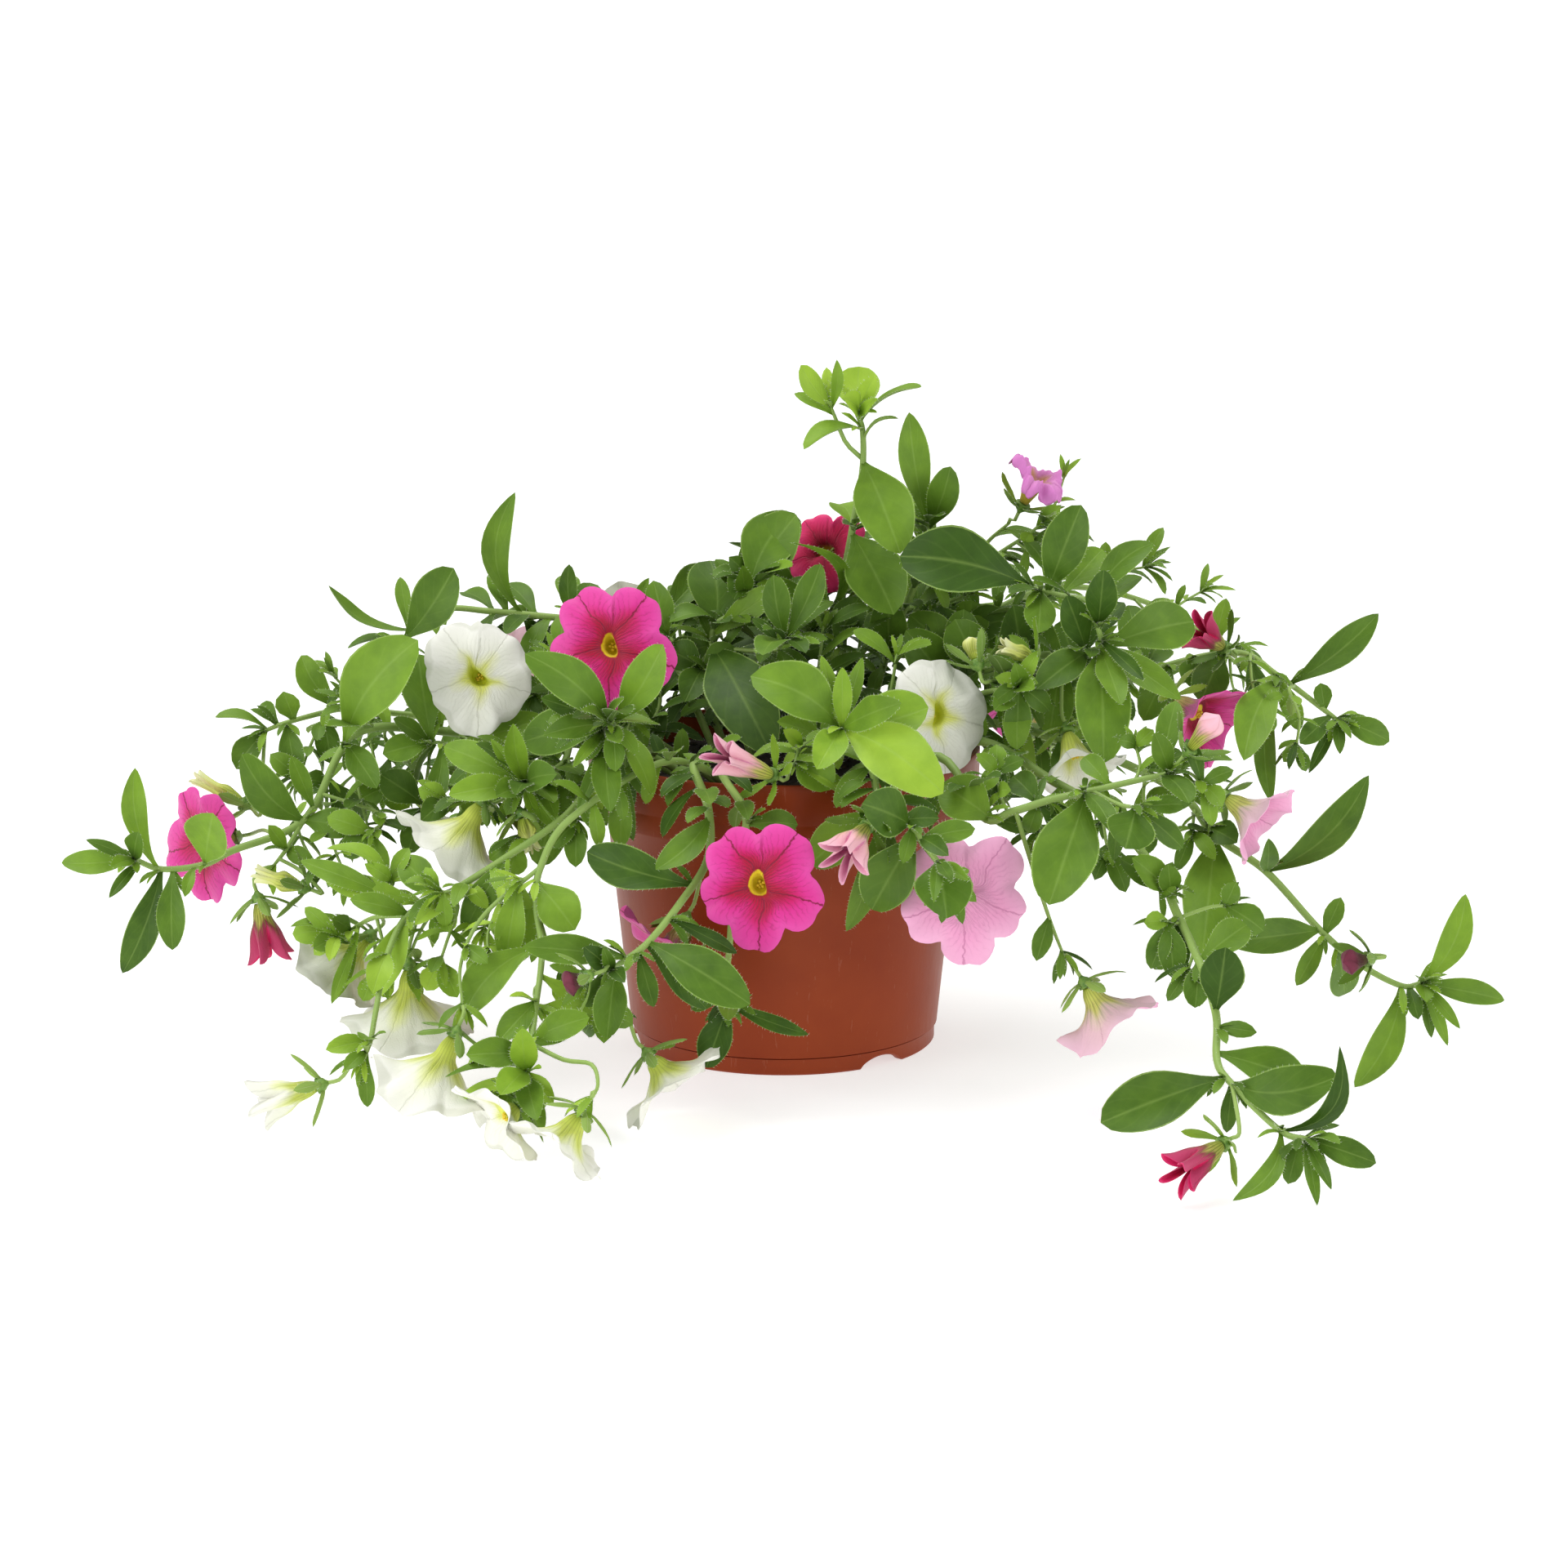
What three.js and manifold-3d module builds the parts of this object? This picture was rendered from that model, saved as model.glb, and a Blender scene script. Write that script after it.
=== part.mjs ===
// A trailing calibrachoa in a plastic pot. Millimetres, +Z up, the origin under the middle of the plant on the
// surface that the pot stands on, the plant's best side towards -Y.
// Soil fills the pot, each leafy stem stands in a hole of its own in the soil, and each corolla sits on its calyx.
import * as THREE from "three";
import { mergeVertices } from "three/addons/utils/BufferGeometryUtils.js";
import Module from "manifold-3d";

const wasm = await Module();
wasm.setup();

// Pot: a 12 cm trade pot, measured from its axis and from the surface that it stands on.
const RIM_RADIUS = 60;
const POT_HEIGHT = 92;
const RIM_BAND = 19;
const NECK_RADIUS = 54.4;
const BASE_RADIUS = 47.4;
const FOOT_RADIUS = 46.6;
const FOOT_HEIGHT = 5;
const WALL = 1.4;
const FLOOR_HEIGHT = 4;
const NOTCH_WIDTH = 16;
const NOTCH_HEIGHT = 3.2;
const NOTCH_BEARINGS = [40, 160, 280];
const DRAIN_RADIUS = 4;
const DRAIN_CIRCLE = 34;
const DRAIN_COUNT = 6;
const POT_SIDES = 30;

// Soil: its surface, and the clearances around it.
const SOIL_TOP = 84;
const SOIL_DOME = 1.5;
const SEAT_GAP = 0.3;

// Blades and flowers.
const PETIOLE_HALF = 0.42;
const BLADE_HALF_THICKNESS = 0.4;
const BLADE_CUP = 0.22;
const BROAD_BLADE = 12.5;
const SMALL_BLADE = 5.5;
const PEDICEL_RADIUS = 0.65;
const CUP_LENGTH = 3;
const SEPAL_LENGTH = 11;
const STEM_SIDES = 5;
const SHOOT_SIDES = 4;
const PEDICEL_SIDES = 3;
const RING_SPACING = 15;

// Room that pieces leave each other.
const SAMPLE_STEP = 2.6;
const NODE_ROOM = 3;
const OWN_ROOM = 1.6;
const FILL_ROOM = 3.4;
const FILL_SPACING = 29;

// Which way the upper side of a blade looks.
const FACES = { front: [0, -0.9, 0.44], up: [0, -0.25, 0.97], side: [1, 0, 0.1] };

// Each stem's own line of points from the soil, and side shoots that leave it. A leaf is
// [place along the stem from 0 to 1, tip x, y, z, width, face, rise of the arch, bend to one side].
const STEMS = [
  { name: "stem_top", shoot: 0, radius: 1.25,
    route: [
      [13, 16, 80], [18, 18, 116], [18, 19, 136], [21, 20, 155], [24, 20, 173], [24, 18, 186],
      [22, 16, 192],
    ],
    leaves: [
      [0.7, 35, -4, 152, 18, "front", 4, 0], [0.51, 17, 34, 161, 10, "up", 2, 0],
      [0.49, 33, -4, 134, 19, "front", 3, 0], [0.84, 6, 4, 183, 9, "up", 3, 0],
      [0.99, 23, 32, 204, 14, "front", -3, 0], [0.9, 42, 6, 200, 10, "up", 3, 0],
      [0.78, 35, 12, 190, 5, "up", 3, 0], [0.98, 18, 4, 198, 8, "front", 2, 0],
      [0.97, 25, 6, 201, 6, "front", 1, 0], [0.91, 27, 0, 198, 4, "front", 1, 0],
      [0.5, 18, 2, 160, 4, "front", 1, 0],
    ] },
  { name: "stem_top", shoot: 1, radius: 0.75,
    route: [[24, 20, 177], [19, 19, 182], [16, 18, 189], [14, 18, 194]],
    leaves: [
      [0.93, 5, 18, 206, 7, "front", 1, -1], [0.93, 16, 14, 208, 4, "front", 1, 1],
      [0.79, 3, 20, 197, 4, "front", 2, 0], [0.98, 13, 24, 205, 4, "front", 0, 0],
      [0.96, 5, 26, 200, 4, "front", 0, 0],
    ] },
  { name: "stem_top_right", shoot: 0, radius: 1.2,
    route: [[22, 14, 80], [32, 22, 116], [42, 20, 142], [44, 18, 154], [44, 17, 158]],
    leaves: [
      [0.87, 38, 16, 192, 10, "front", 2, -1], [0.81, 52, 14, 177, 10, "front", 2, 1],
      [0.44, 50, 34, 151, 8, "front", 2, 0], [0.37, 25, 0, 128, 8, "up", 2, 0],
    ] },
  { name: "stem_top_right", shoot: 1, radius: 0.8,
    route: [[37, 22, 130], [48, 34, 129], [62, 36, 147], [70, 34, 155]],
    leaves: [] },
  { name: "stem_top_right", shoot: 2, radius: 0.7,
    route: [[42, 20, 142], [56, 30, 139], [68, 30, 147], [76, 26, 153], [81, 24, 158]],
    leaves: [
      [0.85, 85, 22, 162, 6, "front", 1, 0], [0.76, 74, 24, 150, 5, "front", 1, 0],
    ] },
  { name: "stem_top_left", shoot: 0, radius: 1.2,
    route: [[-8, 14, 80], [-22, 10, 121], [-15, 11, 131], [-11, 12, 138], [-8, 13, 140]],
    leaves: [
      [0.53, -5, 28, 153, 11, "front", 3, 0], [0.28, 0, 2, 141, 9, "front", 2, 0],
      [0.25, -34, 14, 114, 11, "front", 2, 0], [0.79, 3, 16, 161, 17, "front", 3, -2],
      [0.57, -5, 30, 153, 15, "front", 3, 2], [0.79, -21, -2, 144, 5, "up", 2, 0],
      [0.67, -13, 0, 150, 6, "front", 1, 0], [0.26, -23, 26, 144, 18, "front", 4, 2],
      [0.36, -35, 4, 129, 10, "up", 3, 0], [0.41, -22, 20, 133, 9, "front", 2, 0],
      [0.24, -5, -34, 99, 21, "front", 5, 0],
    ] },
  { name: "stem_top_left", shoot: 1, radius: 0.8,
    route: [[-22, 10, 120], [-4, -2, 121], [-1, -8, 124], [1, -10, 127]],
    leaves: [
      [0.93, -3, -12, 146, 9, "front", 2, -1], [0.98, 11, -8, 149, 9, "front", 2, 1],
      [0.75, 11, -20, 126, 5, "up", 1, 0], [0.4, 4, 2, 128, 7, "front", 1, 0],
    ] },
  { name: "stem_top_back", shoot: 0, radius: 1.1,
    route: [[2, 27, 80], [6, 46, 112], [4, 50, 125], [8, 50, 134], [10, 50, 137]],
    leaves: [
      [0.27, 20, 36, 124, 12, "front", 2, 0], [0.35, -14, 40, 123, 11, "front", 2, 0],
      [0.27, 1, 24, 153, 5, "side", 2, 9], [0.41, -9, 50, 140, 14, "front", 2, 0],
      [0.44, 26, 56, 149, 14, "front", 2, 0],
    ] },
  { name: "stem_high_left", shoot: 0, radius: 1.15,
    route: [
      [-18, 10, 80], [-40, 16, 126], [-56, 16, 127], [-73, 14, 129], [-90, 12, 131], [-104, 10, 132],
      [-114, 6, 126], [-118, 2, 121],
    ],
    leaves: [
      [0.14, -22, 34, 142, 11, "front", 3, 0], [0.13, -15, 30, 132, 9, "front", 2, 0],
      [0.35, -69, 40, 139, 8, "front", 2, 0], [0.49, -74, 24, 116, 9, "front", 2, 0],
      [0.49, -82, 12, 168, 9, "front", 2, -7], [0.93, -100, -4, 147, 15, "front", 3, 2],
      [0.85, -139, 6, 140, 8, "up", -4, -2], [0.87, -118, 16, 141, 5, "front", 1, 0],
      [0.43, -94, 30, 122, 10, "up", 3, 0], [0.36, -66, 16, 145, 6, "front", 1, -1],
      [0.33, -60, 26, 138, 9, "front", 1, 0], [0.2, -41, 10, 142, 4, "front", 1, 0],
      [0.32, -70, 2, 134, 5, "up", 1, 0], [0.75, -103, 4, 128, 4, "front", 1, 0],
    ] },
  { name: "stem_left_rosette", shoot: 0, radius: 1.15,
    route: [[-24, -12, 80], [-51, -32, 100], [-50, -56, 110], [-51, -60, 110]],
    leaves: [
      [1, -74, -70, 133, 13, "front", 4, 2], [0.66, -35, -66, 135, 12, "front", 3, 2],
      [0.54, -50, -78, 88, 9, "front", 2, 1], [0.66, -44, -66, 78, 6, "front", 3, 1],
      [0.59, -68, -74, 111, 8, "front", 2, 0], [0.6, -71, -60, 118, 8, "front", 2, 0],
      [0.59, -60, -68, 87, 5, "front", 2, -1], [0.67, -77, -44, 102, 14, "front", 2, 0],
      [0.54, -47, -80, 108, 5, "front", 1, 0], [0.54, -60, -78, 117, 4, "front", 1, 0],
      [0.54, -57, -80, 110, 4, "front", 1, 0], [0.54, -52, -78, 122, 4, "front", 1, 0],
      [0.66, -32, -26, 114, 10, "front", 2, 0],
    ] },
  { name: "stem_left_long", shoot: 0, radius: 1.45,
    route: [
      [-28, 2, 80], [-60, 2, 100], [-80, 4, 93], [-105, 0, 96], [-125, -10, 99], [-134, -16, 93],
      [-145, -22, 73], [-166, -28, 65], [-175, -30, 61], [-187, -31, 60], [-195, -31, 63],
    ],
    leaves: [
      [1, -217, -31, 62, 8, "front", 2, -1], [0.91, -194, -31, 91, 8, "front", 2, -3],
      [0.9, -199, -36, 29, 10, "front", 3, -2], [0.87, -183, -42, 38, 9, "front", 3, 0],
      [0.79, -168, -50, 82, 15, "front", 1, 0], [1, -191, -44, 75, 7, "front", 1, 0],
      [1, -209, -30, 68, 4, "front", 1, 0], [0.98, -201, -44, 54, 4, "front", 1, 0],
      [1, -200, -46, 64, 5, "front", 1, 0], [0.82, -179, -40, 54, 4, "front", 1, 0],
      [0.6, -162, -30, 95, 12, "front", 3, -3], [0.49, -109, -26, 129, 20, "front", 4, -3],
      [0.48, -122, -28, 84, 9, "front", 2, 0], [0.6, -128, -26, 71, 10, "front", 2, 0],
      [0.54, -130, -8, 68, 11, "front", 2, 0], [0.58, -147, -34, 96, 6, "front", 1, 0],
      [0.4, -135, -30, 108, 7, "up", 1, 0],
    ] },
  { name: "stem_left_long", shoot: 1, radius: 0.75,
    route: [[-145, -22, 73], [-150, -27, 65], [-154, -28, 60]],
    leaves: [
      [0.49, -154, -34, 74, 5, "front", 1, 0],
    ] },
  { name: "stem_left_upper", shoot: 0, radius: 1.1,
    route: [
      [-24, 12, 80], [-60, 18, 101], [-82, 26, 95], [-112, 28, 95], [-135, 24, 98], [-143, 18, 98],
      [-154, 12, 96], [-160, 10, 94],
    ],
    leaves: [
      [0.33, -94, 10, 80, 11, "front", 2, 0], [0.2, -67, 40, 113, 12, "front", 2, 0],
      [0.43, -103, 40, 110, 10, "front", 2, 0], [0.98, -175, 8, 99, 7, "up", 2, 0],
      [0.82, -154, 10, 106, 8, "front", 1, 0], [0.85, -150, 2, 82, 8, "front", 1, 0],
      [0.61, -150, 24, 115, 9, "front", 2, -2], [0.99, -169, 6, 83, 9, "front", 2, 0],
      [0.71, -140, 10, 84, 8, "front", 2, 0], [0.9, -162, 18, 101, 6, "front", 1, 0],
      [0.57, -131, 34, 106, 10, "front", 2, 0],
    ] },
  { name: "stem_left_mid", shoot: 0, radius: 1.15,
    route: [[-22, -4, 80], [-59, -14, 98], [-66, -34, 93], [-74, -44, 90], [-77, -48, 89]],
    leaves: [
      [0.96, -99, -52, 86, 9, "front", 3, 0], [0.88, -101, -40, 100, 10, "front", 3, 0],
      [0.88, -62, -58, 93, 10, "front", 2, 0], [0.96, -86, -58, 86, 8, "front", 1, 0],
      [0.91, -80, -46, 110, 7, "front", 1, -1], [0.87, -74, -56, 105, 7, "front", 1, 0],
      [0.96, -84, -54, 103, 4, "front", 1, 0], [0.49, -52, -52, 78, 9, "front", 3, 0],
      [0.96, -66, -56, 78, 6, "front", 1, 0], [0.96, -82, -50, 81, 5, "front", 1, 0],
      [0.45, -73, -40, 63, 14, "front", 3, 0],
    ] },
  { name: "stem_left_mid", shoot: 1, radius: 0.8,
    route: [[-66, -33, 93], [-89, -18, 91], [-103, -14, 95], [-107, -14, 95]],
    leaves: [
      [0.98, -111, -6, 121, 13, "front", 3, 0], [0.54, -83, -26, 105, 10, "front", 2, 0],
      [0.98, -121, -20, 93, 9, "front", 2, 0], [0.7, -108, -24, 76, 7, "front", 2, -2],
      [0.43, -91, -24, 72, 12, "front", 2, 0], [0.98, -117, -30, 106, 6, "front", 1, 0],
    ] },
  { name: "stem_low_outer", shoot: 0, radius: 1.1,
    route: [
      [-20, -18, 80], [-46, -41, 98], [-64, -60, 83], [-81, -66, 72], [-100, -66, 60], [-110, -68, 55],
      [-115, -80, 46], [-117, -94, 34], [-118, -102, 27], [-120, -106, 22],
    ],
    leaves: [
      [0.66, -118, -92, 39, 8, "front", 2, 0], [0.55, -118, -84, 37, 10, "front", 2, 0],
      [0.49, -135, -60, 64, 8, "front", 2, 0], [0.45, -111, -56, 67, 10, "front", 2, 0],
      [0.45, -97, -80, 54, 7, "front", 1, 0], [0.41, -106, -84, 57, 6, "front", 1, 0],
      [0.33, -94, -54, 67, 9, "front", 2, 0], [0.36, -79, -76, 63, 6, "front", 1, 0],
      [0.55, -126, -72, 61, 7, "front", 2, 0], [0.89, -130, -108, 26, 6, "front", 1, 0],
      [0.95, -119, -112, 13, 5, "front", 1, 0], [0.95, -124, -114, 22, 5, "front", 1, 0],
      [0.89, -119, -116, 31, 6, "front", 1, 0],
    ] },
  { name: "stem_low_outer", shoot: 1, radius: 0.75,
    route: [[-110, -68, 55], [-120, -58, 52], [-126, -52, 48], [-130, -50, 45]],
    leaves: [
      [0.9, -146, -50, 45, 8, "front", 1, 0], [0.87, -139, -54, 40, 7, "front", 1, 0],
      [0.66, -133, -56, 26, 5, "front", 1, -1], [0.87, -133, -60, 52, 6, "front", 1, 0],
    ] },
  { name: "stem_low_inner", shoot: 0, radius: 1.1,
    route: [
      [-14, -26, 80], [-33, -53, 98], [-61, -74, 86], [-70, -82, 73], [-71, -88, 63], [-69, -98, 52],
      [-70, -112, 40], [-71, -126, 30], [-72, -132, 25],
    ],
    leaves: [
      [0.41, -79, -84, 45, 11, "front", 2, -1], [0.42, -60, -90, 56, 13, "front", 2, 0],
      [0.61, -91, -106, 37, 12, "front", 3, 3], [0.68, -54, -114, 41, 9, "front", 2, 0],
      [0.74, -80, -124, 33, 8, "front", 1, 0], [0.83, -55, -128, 41, 9, "front", 2, 0],
      [0.88, -88, -134, 32, 9, "front", 2, 0], [0.98, -72, -144, 41, 8, "front", 1, 0],
      [0.96, -80, -148, 19, 9, "front", 1, 0], [1, -67, -150, 15, 8, "front", 1, 0],
      [0.98, -64, -140, 20, 6, "front", 1, 0], [0.62, -61, -88, 46, 6, "front", 1, 0],
    ] },
  { name: "stem_low_inner", shoot: 1, radius: 0.7,
    route: [[-71, -123, 32], [-61, -136, 31], [-53, -144, 32], [-51, -150, 28], [-53, -152, 24]],
    leaves: [] },
  { name: "stem_low_inner", shoot: 2, radius: 0.65,
    route: [[-70, -82, 73], [-86, -92, 61], [-92, -100, 49], [-91, -108, 38]],
    leaves: [
      [0.54, -84, -104, 50, 5, "front", 1, 0],
    ] },
  { name: "stem_front_left", shoot: 0, radius: 1.3,
    route: [
      [-10, -32, 80], [-26, -58, 98], [-22, -68, 87], [-22, -76, 74], [-30, -86, 63], [-39, -96, 54],
      [-46, -102, 50], [-49, -104, 48],
    ],
    leaves: [
      [0.51, -57, -76, 76, 13, "front", 4, -2], [0.31, -35, -90, 77, 9, "front", 2, -2],
      [0.82, -74, -100, 52, 9, "front", 3, 0], [0.92, -50, -114, 31, 10, "front", 2, 0],
      [0.71, -10, -112, 41, 14, "front", 3, 0], [0.72, -22, -98, 35, 8, "front", 2, 0],
      [0.62, -13, -90, 50, 5, "front", 2, 0], [1, -56, -112, 57, 7, "front", 1, 0],
      [0.98, -55, -112, 42, 6, "front", 1, 0], [1, -52, -108, 58, 4, "front", 1, 0],
      [0.76, -37, -106, 38, 6, "front", 1, 0], [0.54, -23, -92, 76, 8, "front", 1, 0],
      [0.98, -45, -118, 49, 5, "front", 1, 0],
    ] },
  { name: "stem_front_foot", shoot: 0, radius: 1.2,
    route: [
      [-4, -32, 80], [-18, -60, 96], [-11, -69, 85], [-14, -71, 71], [-15, -73, 59], [-16, -76, 46],
      [-17, -82, 37], [-16, -86, 33],
    ],
    leaves: [
      [1, 7, -96, 27, 5, "front", -3, 0], [1, -22, -96, 20, 10, "front", 1, 0],
      [1, -16, -102, 23, 6, "front", 1, 0], [0.94, -28, -80, 32, 7, "front", 1, 0],
      [0.31, 4, -70, 83, 8, "front", 2, 0], [0.41, -22, -80, 63, 6, "front", 1, 0],
    ] },
  { name: "stem_front_centre", shoot: 0, radius: 1.25,
    route: [[5, -16, 80], [12, -34, 101], [16, -46, 105], [17, -54, 108]],
    leaves: [
      [0.86, -9, -56, 124, 17, "front", 5, 2], [0.96, 42, -58, 115, 17, "front", 4, 2],
      [1, 45, -78, 95, 18, "front", 4, -1], [1, 10, -76, 102, 10, "front", 1, 0],
      [1, 32, -76, 120, 10, "front", 1, 0], [1, 11, -50, 129, 5, "front", 1, 0],
      [1, 23, -48, 128, 5, "front", 1, 0], [1, 17, -56, 126, 6, "front", 1, 0],
      [0.33, -1, -44, 108, 7, "front", 1, 0],
    ] },
  { name: "stem_front_centre", shoot: 1, radius: 0.8,
    route: [[11, -32, 100], [5, -48, 101], [3, -56, 97]],
    leaves: [
      [0.48, 0, -52, 107, 5, "front", 1, 0], [0.72, 14, -58, 89, 12, "front", 2, 0],
    ] },
  { name: "stem_front_right", shoot: 0, radius: 1.2,
    route: [[10, -30, 80], [24, -59, 98], [28, -72, 89], [36, -80, 85], [41, -88, 80], [44, -93, 77]],
    leaves: [
      [0.99, 46, -106, 64, 17, "front", 2, 0], [0.6, 20, -86, 92, 15, "front", 2, 0],
      [0.67, 28, -76, 62, 16, "front", 2, 0], [0.43, 7, -70, 71, 13, "front", 3, 0],
      [0.72, 54, -82, 83, 7, "front", 2, 0], [0.99, 52, -112, 76, 4, "front", 1, 0],
      [0.99, 42, -116, 72, 4, "front", 1, 0], [0.99, 48, -118, 72, 4, "front", 1, 0],
      [0.71, 46, -98, 81, 6, "front", 1, 0], [0.63, 34, -90, 76, 5, "front", 1, 0],
      [0.55, 44, -84, 88, 7, "front", 1, 0], [0.43, 18, -72, 51, 8, "front", 2, -2],
      [0.46, 31, -68, 58, 8, "front", 2, 0],
    ] },
  { name: "stem_right_front", shoot: 0, radius: 1.3,
    route: [
      [22, -24, 80], [45, -46, 98], [58, -66, 84], [66, -68, 86], [77, -70, 90], [88, -72, 93],
      [103, -74, 97], [111, -75, 99],
    ],
    leaves: [
      [0.71, 76, -92, 65, 19, "front", 4, 0], [0.33, 46, -62, 93, 15, "front", 2, 0],
      [0.28, 72, -64, 80, 6, "front", 1, 0], [0.57, 81, -60, 80, 7, "front", 1, 0],
      [1, 129, -74, 104, 9, "up", 2, 0], [1, 106, -80, 112, 7, "front", 1, 0],
      [0.99, 127, -76, 88, 6, "front", 1, 0], [0.77, 87, -64, 102, 7, "front", 1, 0],
      [0.28, 63, -62, 98, 8, "front", 1, 0],
    ] },
  { name: "stem_right_front", shoot: 1, radius: 0.8,
    route: [[89, -72, 93], [96, -80, 91], [101, -84, 91]],
    leaves: [
      [0.98, 97, -96, 82, 15, "front", 1, 0], [0.51, 95, -80, 74, 5, "front", 1, 0],
      [0.96, 115, -84, 79, 7, "front", 1, 0], [0.98, 115, -84, 92, 6, "front", 1, 0],
    ] },
  { name: "stem_right_front", shoot: 2, radius: 0.7,
    route: [[67, -68, 87], [72, -72, 71], [77, -76, 56], [81, -80, 46]],
    leaves: [
      [0.33, 78, -80, 73, 5, "front", 1, 0], [0.66, 73, -84, 46, 6, "front", 1, 0],
    ] },
  { name: "stem_right_crown", shoot: 0, radius: 1.3,
    route: [[26, 2, 80], [48, 8, 106], [72, -4, 119], [90, -14, 123], [95, -18, 126], [94, -19, 132]],
    leaves: [
      [1, 95, -26, 150, 10, "front", 1, 0], [0.73, 124, -6, 131, 16, "front", 4, 0],
      [0.62, 84, -22, 142, 10, "front", 1, 0], [0.64, 76, -34, 117, 11, "front", 2, 0],
      [0.74, 94, -40, 91, 17, "front", 4, 0], [0.77, 99, -48, 113, 9, "front", 1, 0],
      [0.8, 118, -34, 112, 9, "front", 2, 0], [0.52, 80, -22, 100, 12, "front", 2, 0],
      [0.85, 106, -44, 120, 5, "front", 1, 0], [0.4, 69, -14, 137, 14, "front", 2, 0],
      [0.29, 52, 4, 130, 14, "front", 3, 0], [0.22, 37, 2, 127, 14, "front", 3, 0],
    ] },
  { name: "stem_right_crown", shoot: 1, radius: 0.95,
    route: [[94, -19, 132], [91, -16, 139], [84, -12, 140], [74, -8, 142]],
    leaves: [
      [0.97, 35, -10, 152, 21, "front", 5, 1], [0.83, 89, -14, 168, 14, "front", 3, 0],
      [0.69, 97, 4, 152, 10, "front", 1, 0], [0.23, 111, -10, 156, 9, "front", 2, -3],
      [0.89, 76, -22, 130, 10, "front", 1, 0],
    ] },
  { name: "stem_right_rosette", shoot: 0, radius: 1.1,
    route: [[24, -8, 80], [40, -12, 100], [59, -18, 111], [70, -26, 114]],
    leaves: [
      [0.98, 66, -30, 124, 6, "front", 1, 0], [0.98, 69, -42, 100, 9, "front", 1, 0],
      [0.98, 78, -36, 109, 6, "front", 1, 0], [0.95, 76, -32, 90, 6, "front", 1, 1],
      [0.97, 74, -26, 125, 6, "front", 1, 0], [0.98, 61, -36, 107, 7, "front", 1, 0],
      [0.66, 58, -30, 94, 8, "front", 1, 0],
    ] },
  { name: "stem_right_long", shoot: 0, radius: 1.35,
    route: [
      [30, -2, 80], [59, -6, 99], [82, -12, 96], [103, -26, 91], [119, -38, 84], [128, -42, 73],
      [143, -46, 63], [159, -50, 46], [171, -52, 36], [183, -54, 30], [189, -55, 31],
    ],
    leaves: [
      [0.6, 172, -50, 93, 11, "front", 3, 5], [0.7, 129, -66, 47, 11, "front", 3, -1],
      [0.71, 165, -50, 56, 6, "front", 1, 0], [0.71, 152, -54, 30, 6, "front", 1, 0],
      [1, 201, -55, 58, 9, "front", 2, 3], [0.9, 169, -62, 1, 10, "front", 2, -3],
      [1, 214, -55, 26, 8, "front", 1, 0], [1, 189, -64, 28, 6, "front", 1, 0],
      [0.93, 187, -58, 20, 5, "front", 1, 0], [1, 192, -58, 15, 4, "front", 1, 0],
      [1, 196, -56, 13, 4, "front", 1, 0], [1, 199, -62, 18, 4, "front", 1, 0],
      [0.6, 141, -52, 78, 6, "front", 1, 0], [0.5, 119, -50, 77, 6, "up", 1, 0],
      [0.5, 123, -62, 41, 17, "front", 4, 0], [0.48, 133, -54, 74, 9, "front", 1, 0],
      [0.74, 169, -36, 22, 10, "front", 1, 0], [0.4, 108, -30, 80, 8, "front", 1, 0],
      [0.32, 120, -26, 94, 8, "front", 1, 0],
    ] },
  { name: "stem_right_low", shoot: 0, radius: 1.4,
    route: [
      [28, -14, 80], [56, -24, 98], [80, -46, 90], [96, -58, 82], [109, -74, 68], [113, -86, 60],
      [118, -104, 50], [121, -122, 40], [120, -136, 31], [123, -145, 27], [135, -160, 18],
      [142, -165, 17],
    ],
    leaves: [
      [0.63, 123, -124, 60, 13, "front", 2, 0], [0.8, 87, -152, 18, 16, "front", 4, 0],
      [0.71, 145, -134, 24, 12, "front", 3, 0], [0.82, 150, -158, 33, 14, "front", 3, 4],
      [0.91, 150, -164, 43, 6, "front", 2, 8], [1, 160, -170, 12, 8, "front", 1, 0],
      [0.99, 143, -180, 3, 4, "front", 1, 0], [0.99, 147, -178, 5, 4, "front", 1, 0],
      [0.91, 120, -180, 4, 6, "front", 2, -4], [0.97, 137, -172, 9, 6, "front", 1, 0],
      [1, 149, -176, 20, 5, "up", 1, 0], [0.66, 131, -132, 38, 5, "front", 1, 0],
      [0.46, 111, -96, 44, 9, "front", 2, 0], [0.4, 99, -80, 75, 9, "front", 2, 0],
      [0.41, 110, -86, 75, 7, "front", 1, 0], [0.46, 107, -84, 43, 8, "front", 1, 0],
      [0.54, 116, -112, 39, 8, "front", 1, 0], [0.54, 133, -92, 59, 10, "front", 2, 0],
      [0.82, 122, -146, 13, 5, "front", 1, 0],
    ] },
  { name: "stem_right_upper", shoot: 0, radius: 1.2,
    route: [
      [25, 13, 80], [60, 20, 103], [87, 30, 96], [112, 26, 109], [139, 18, 117], [152, 12, 111],
      [166, 8, 101], [170, 7, 98],
    ],
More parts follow.
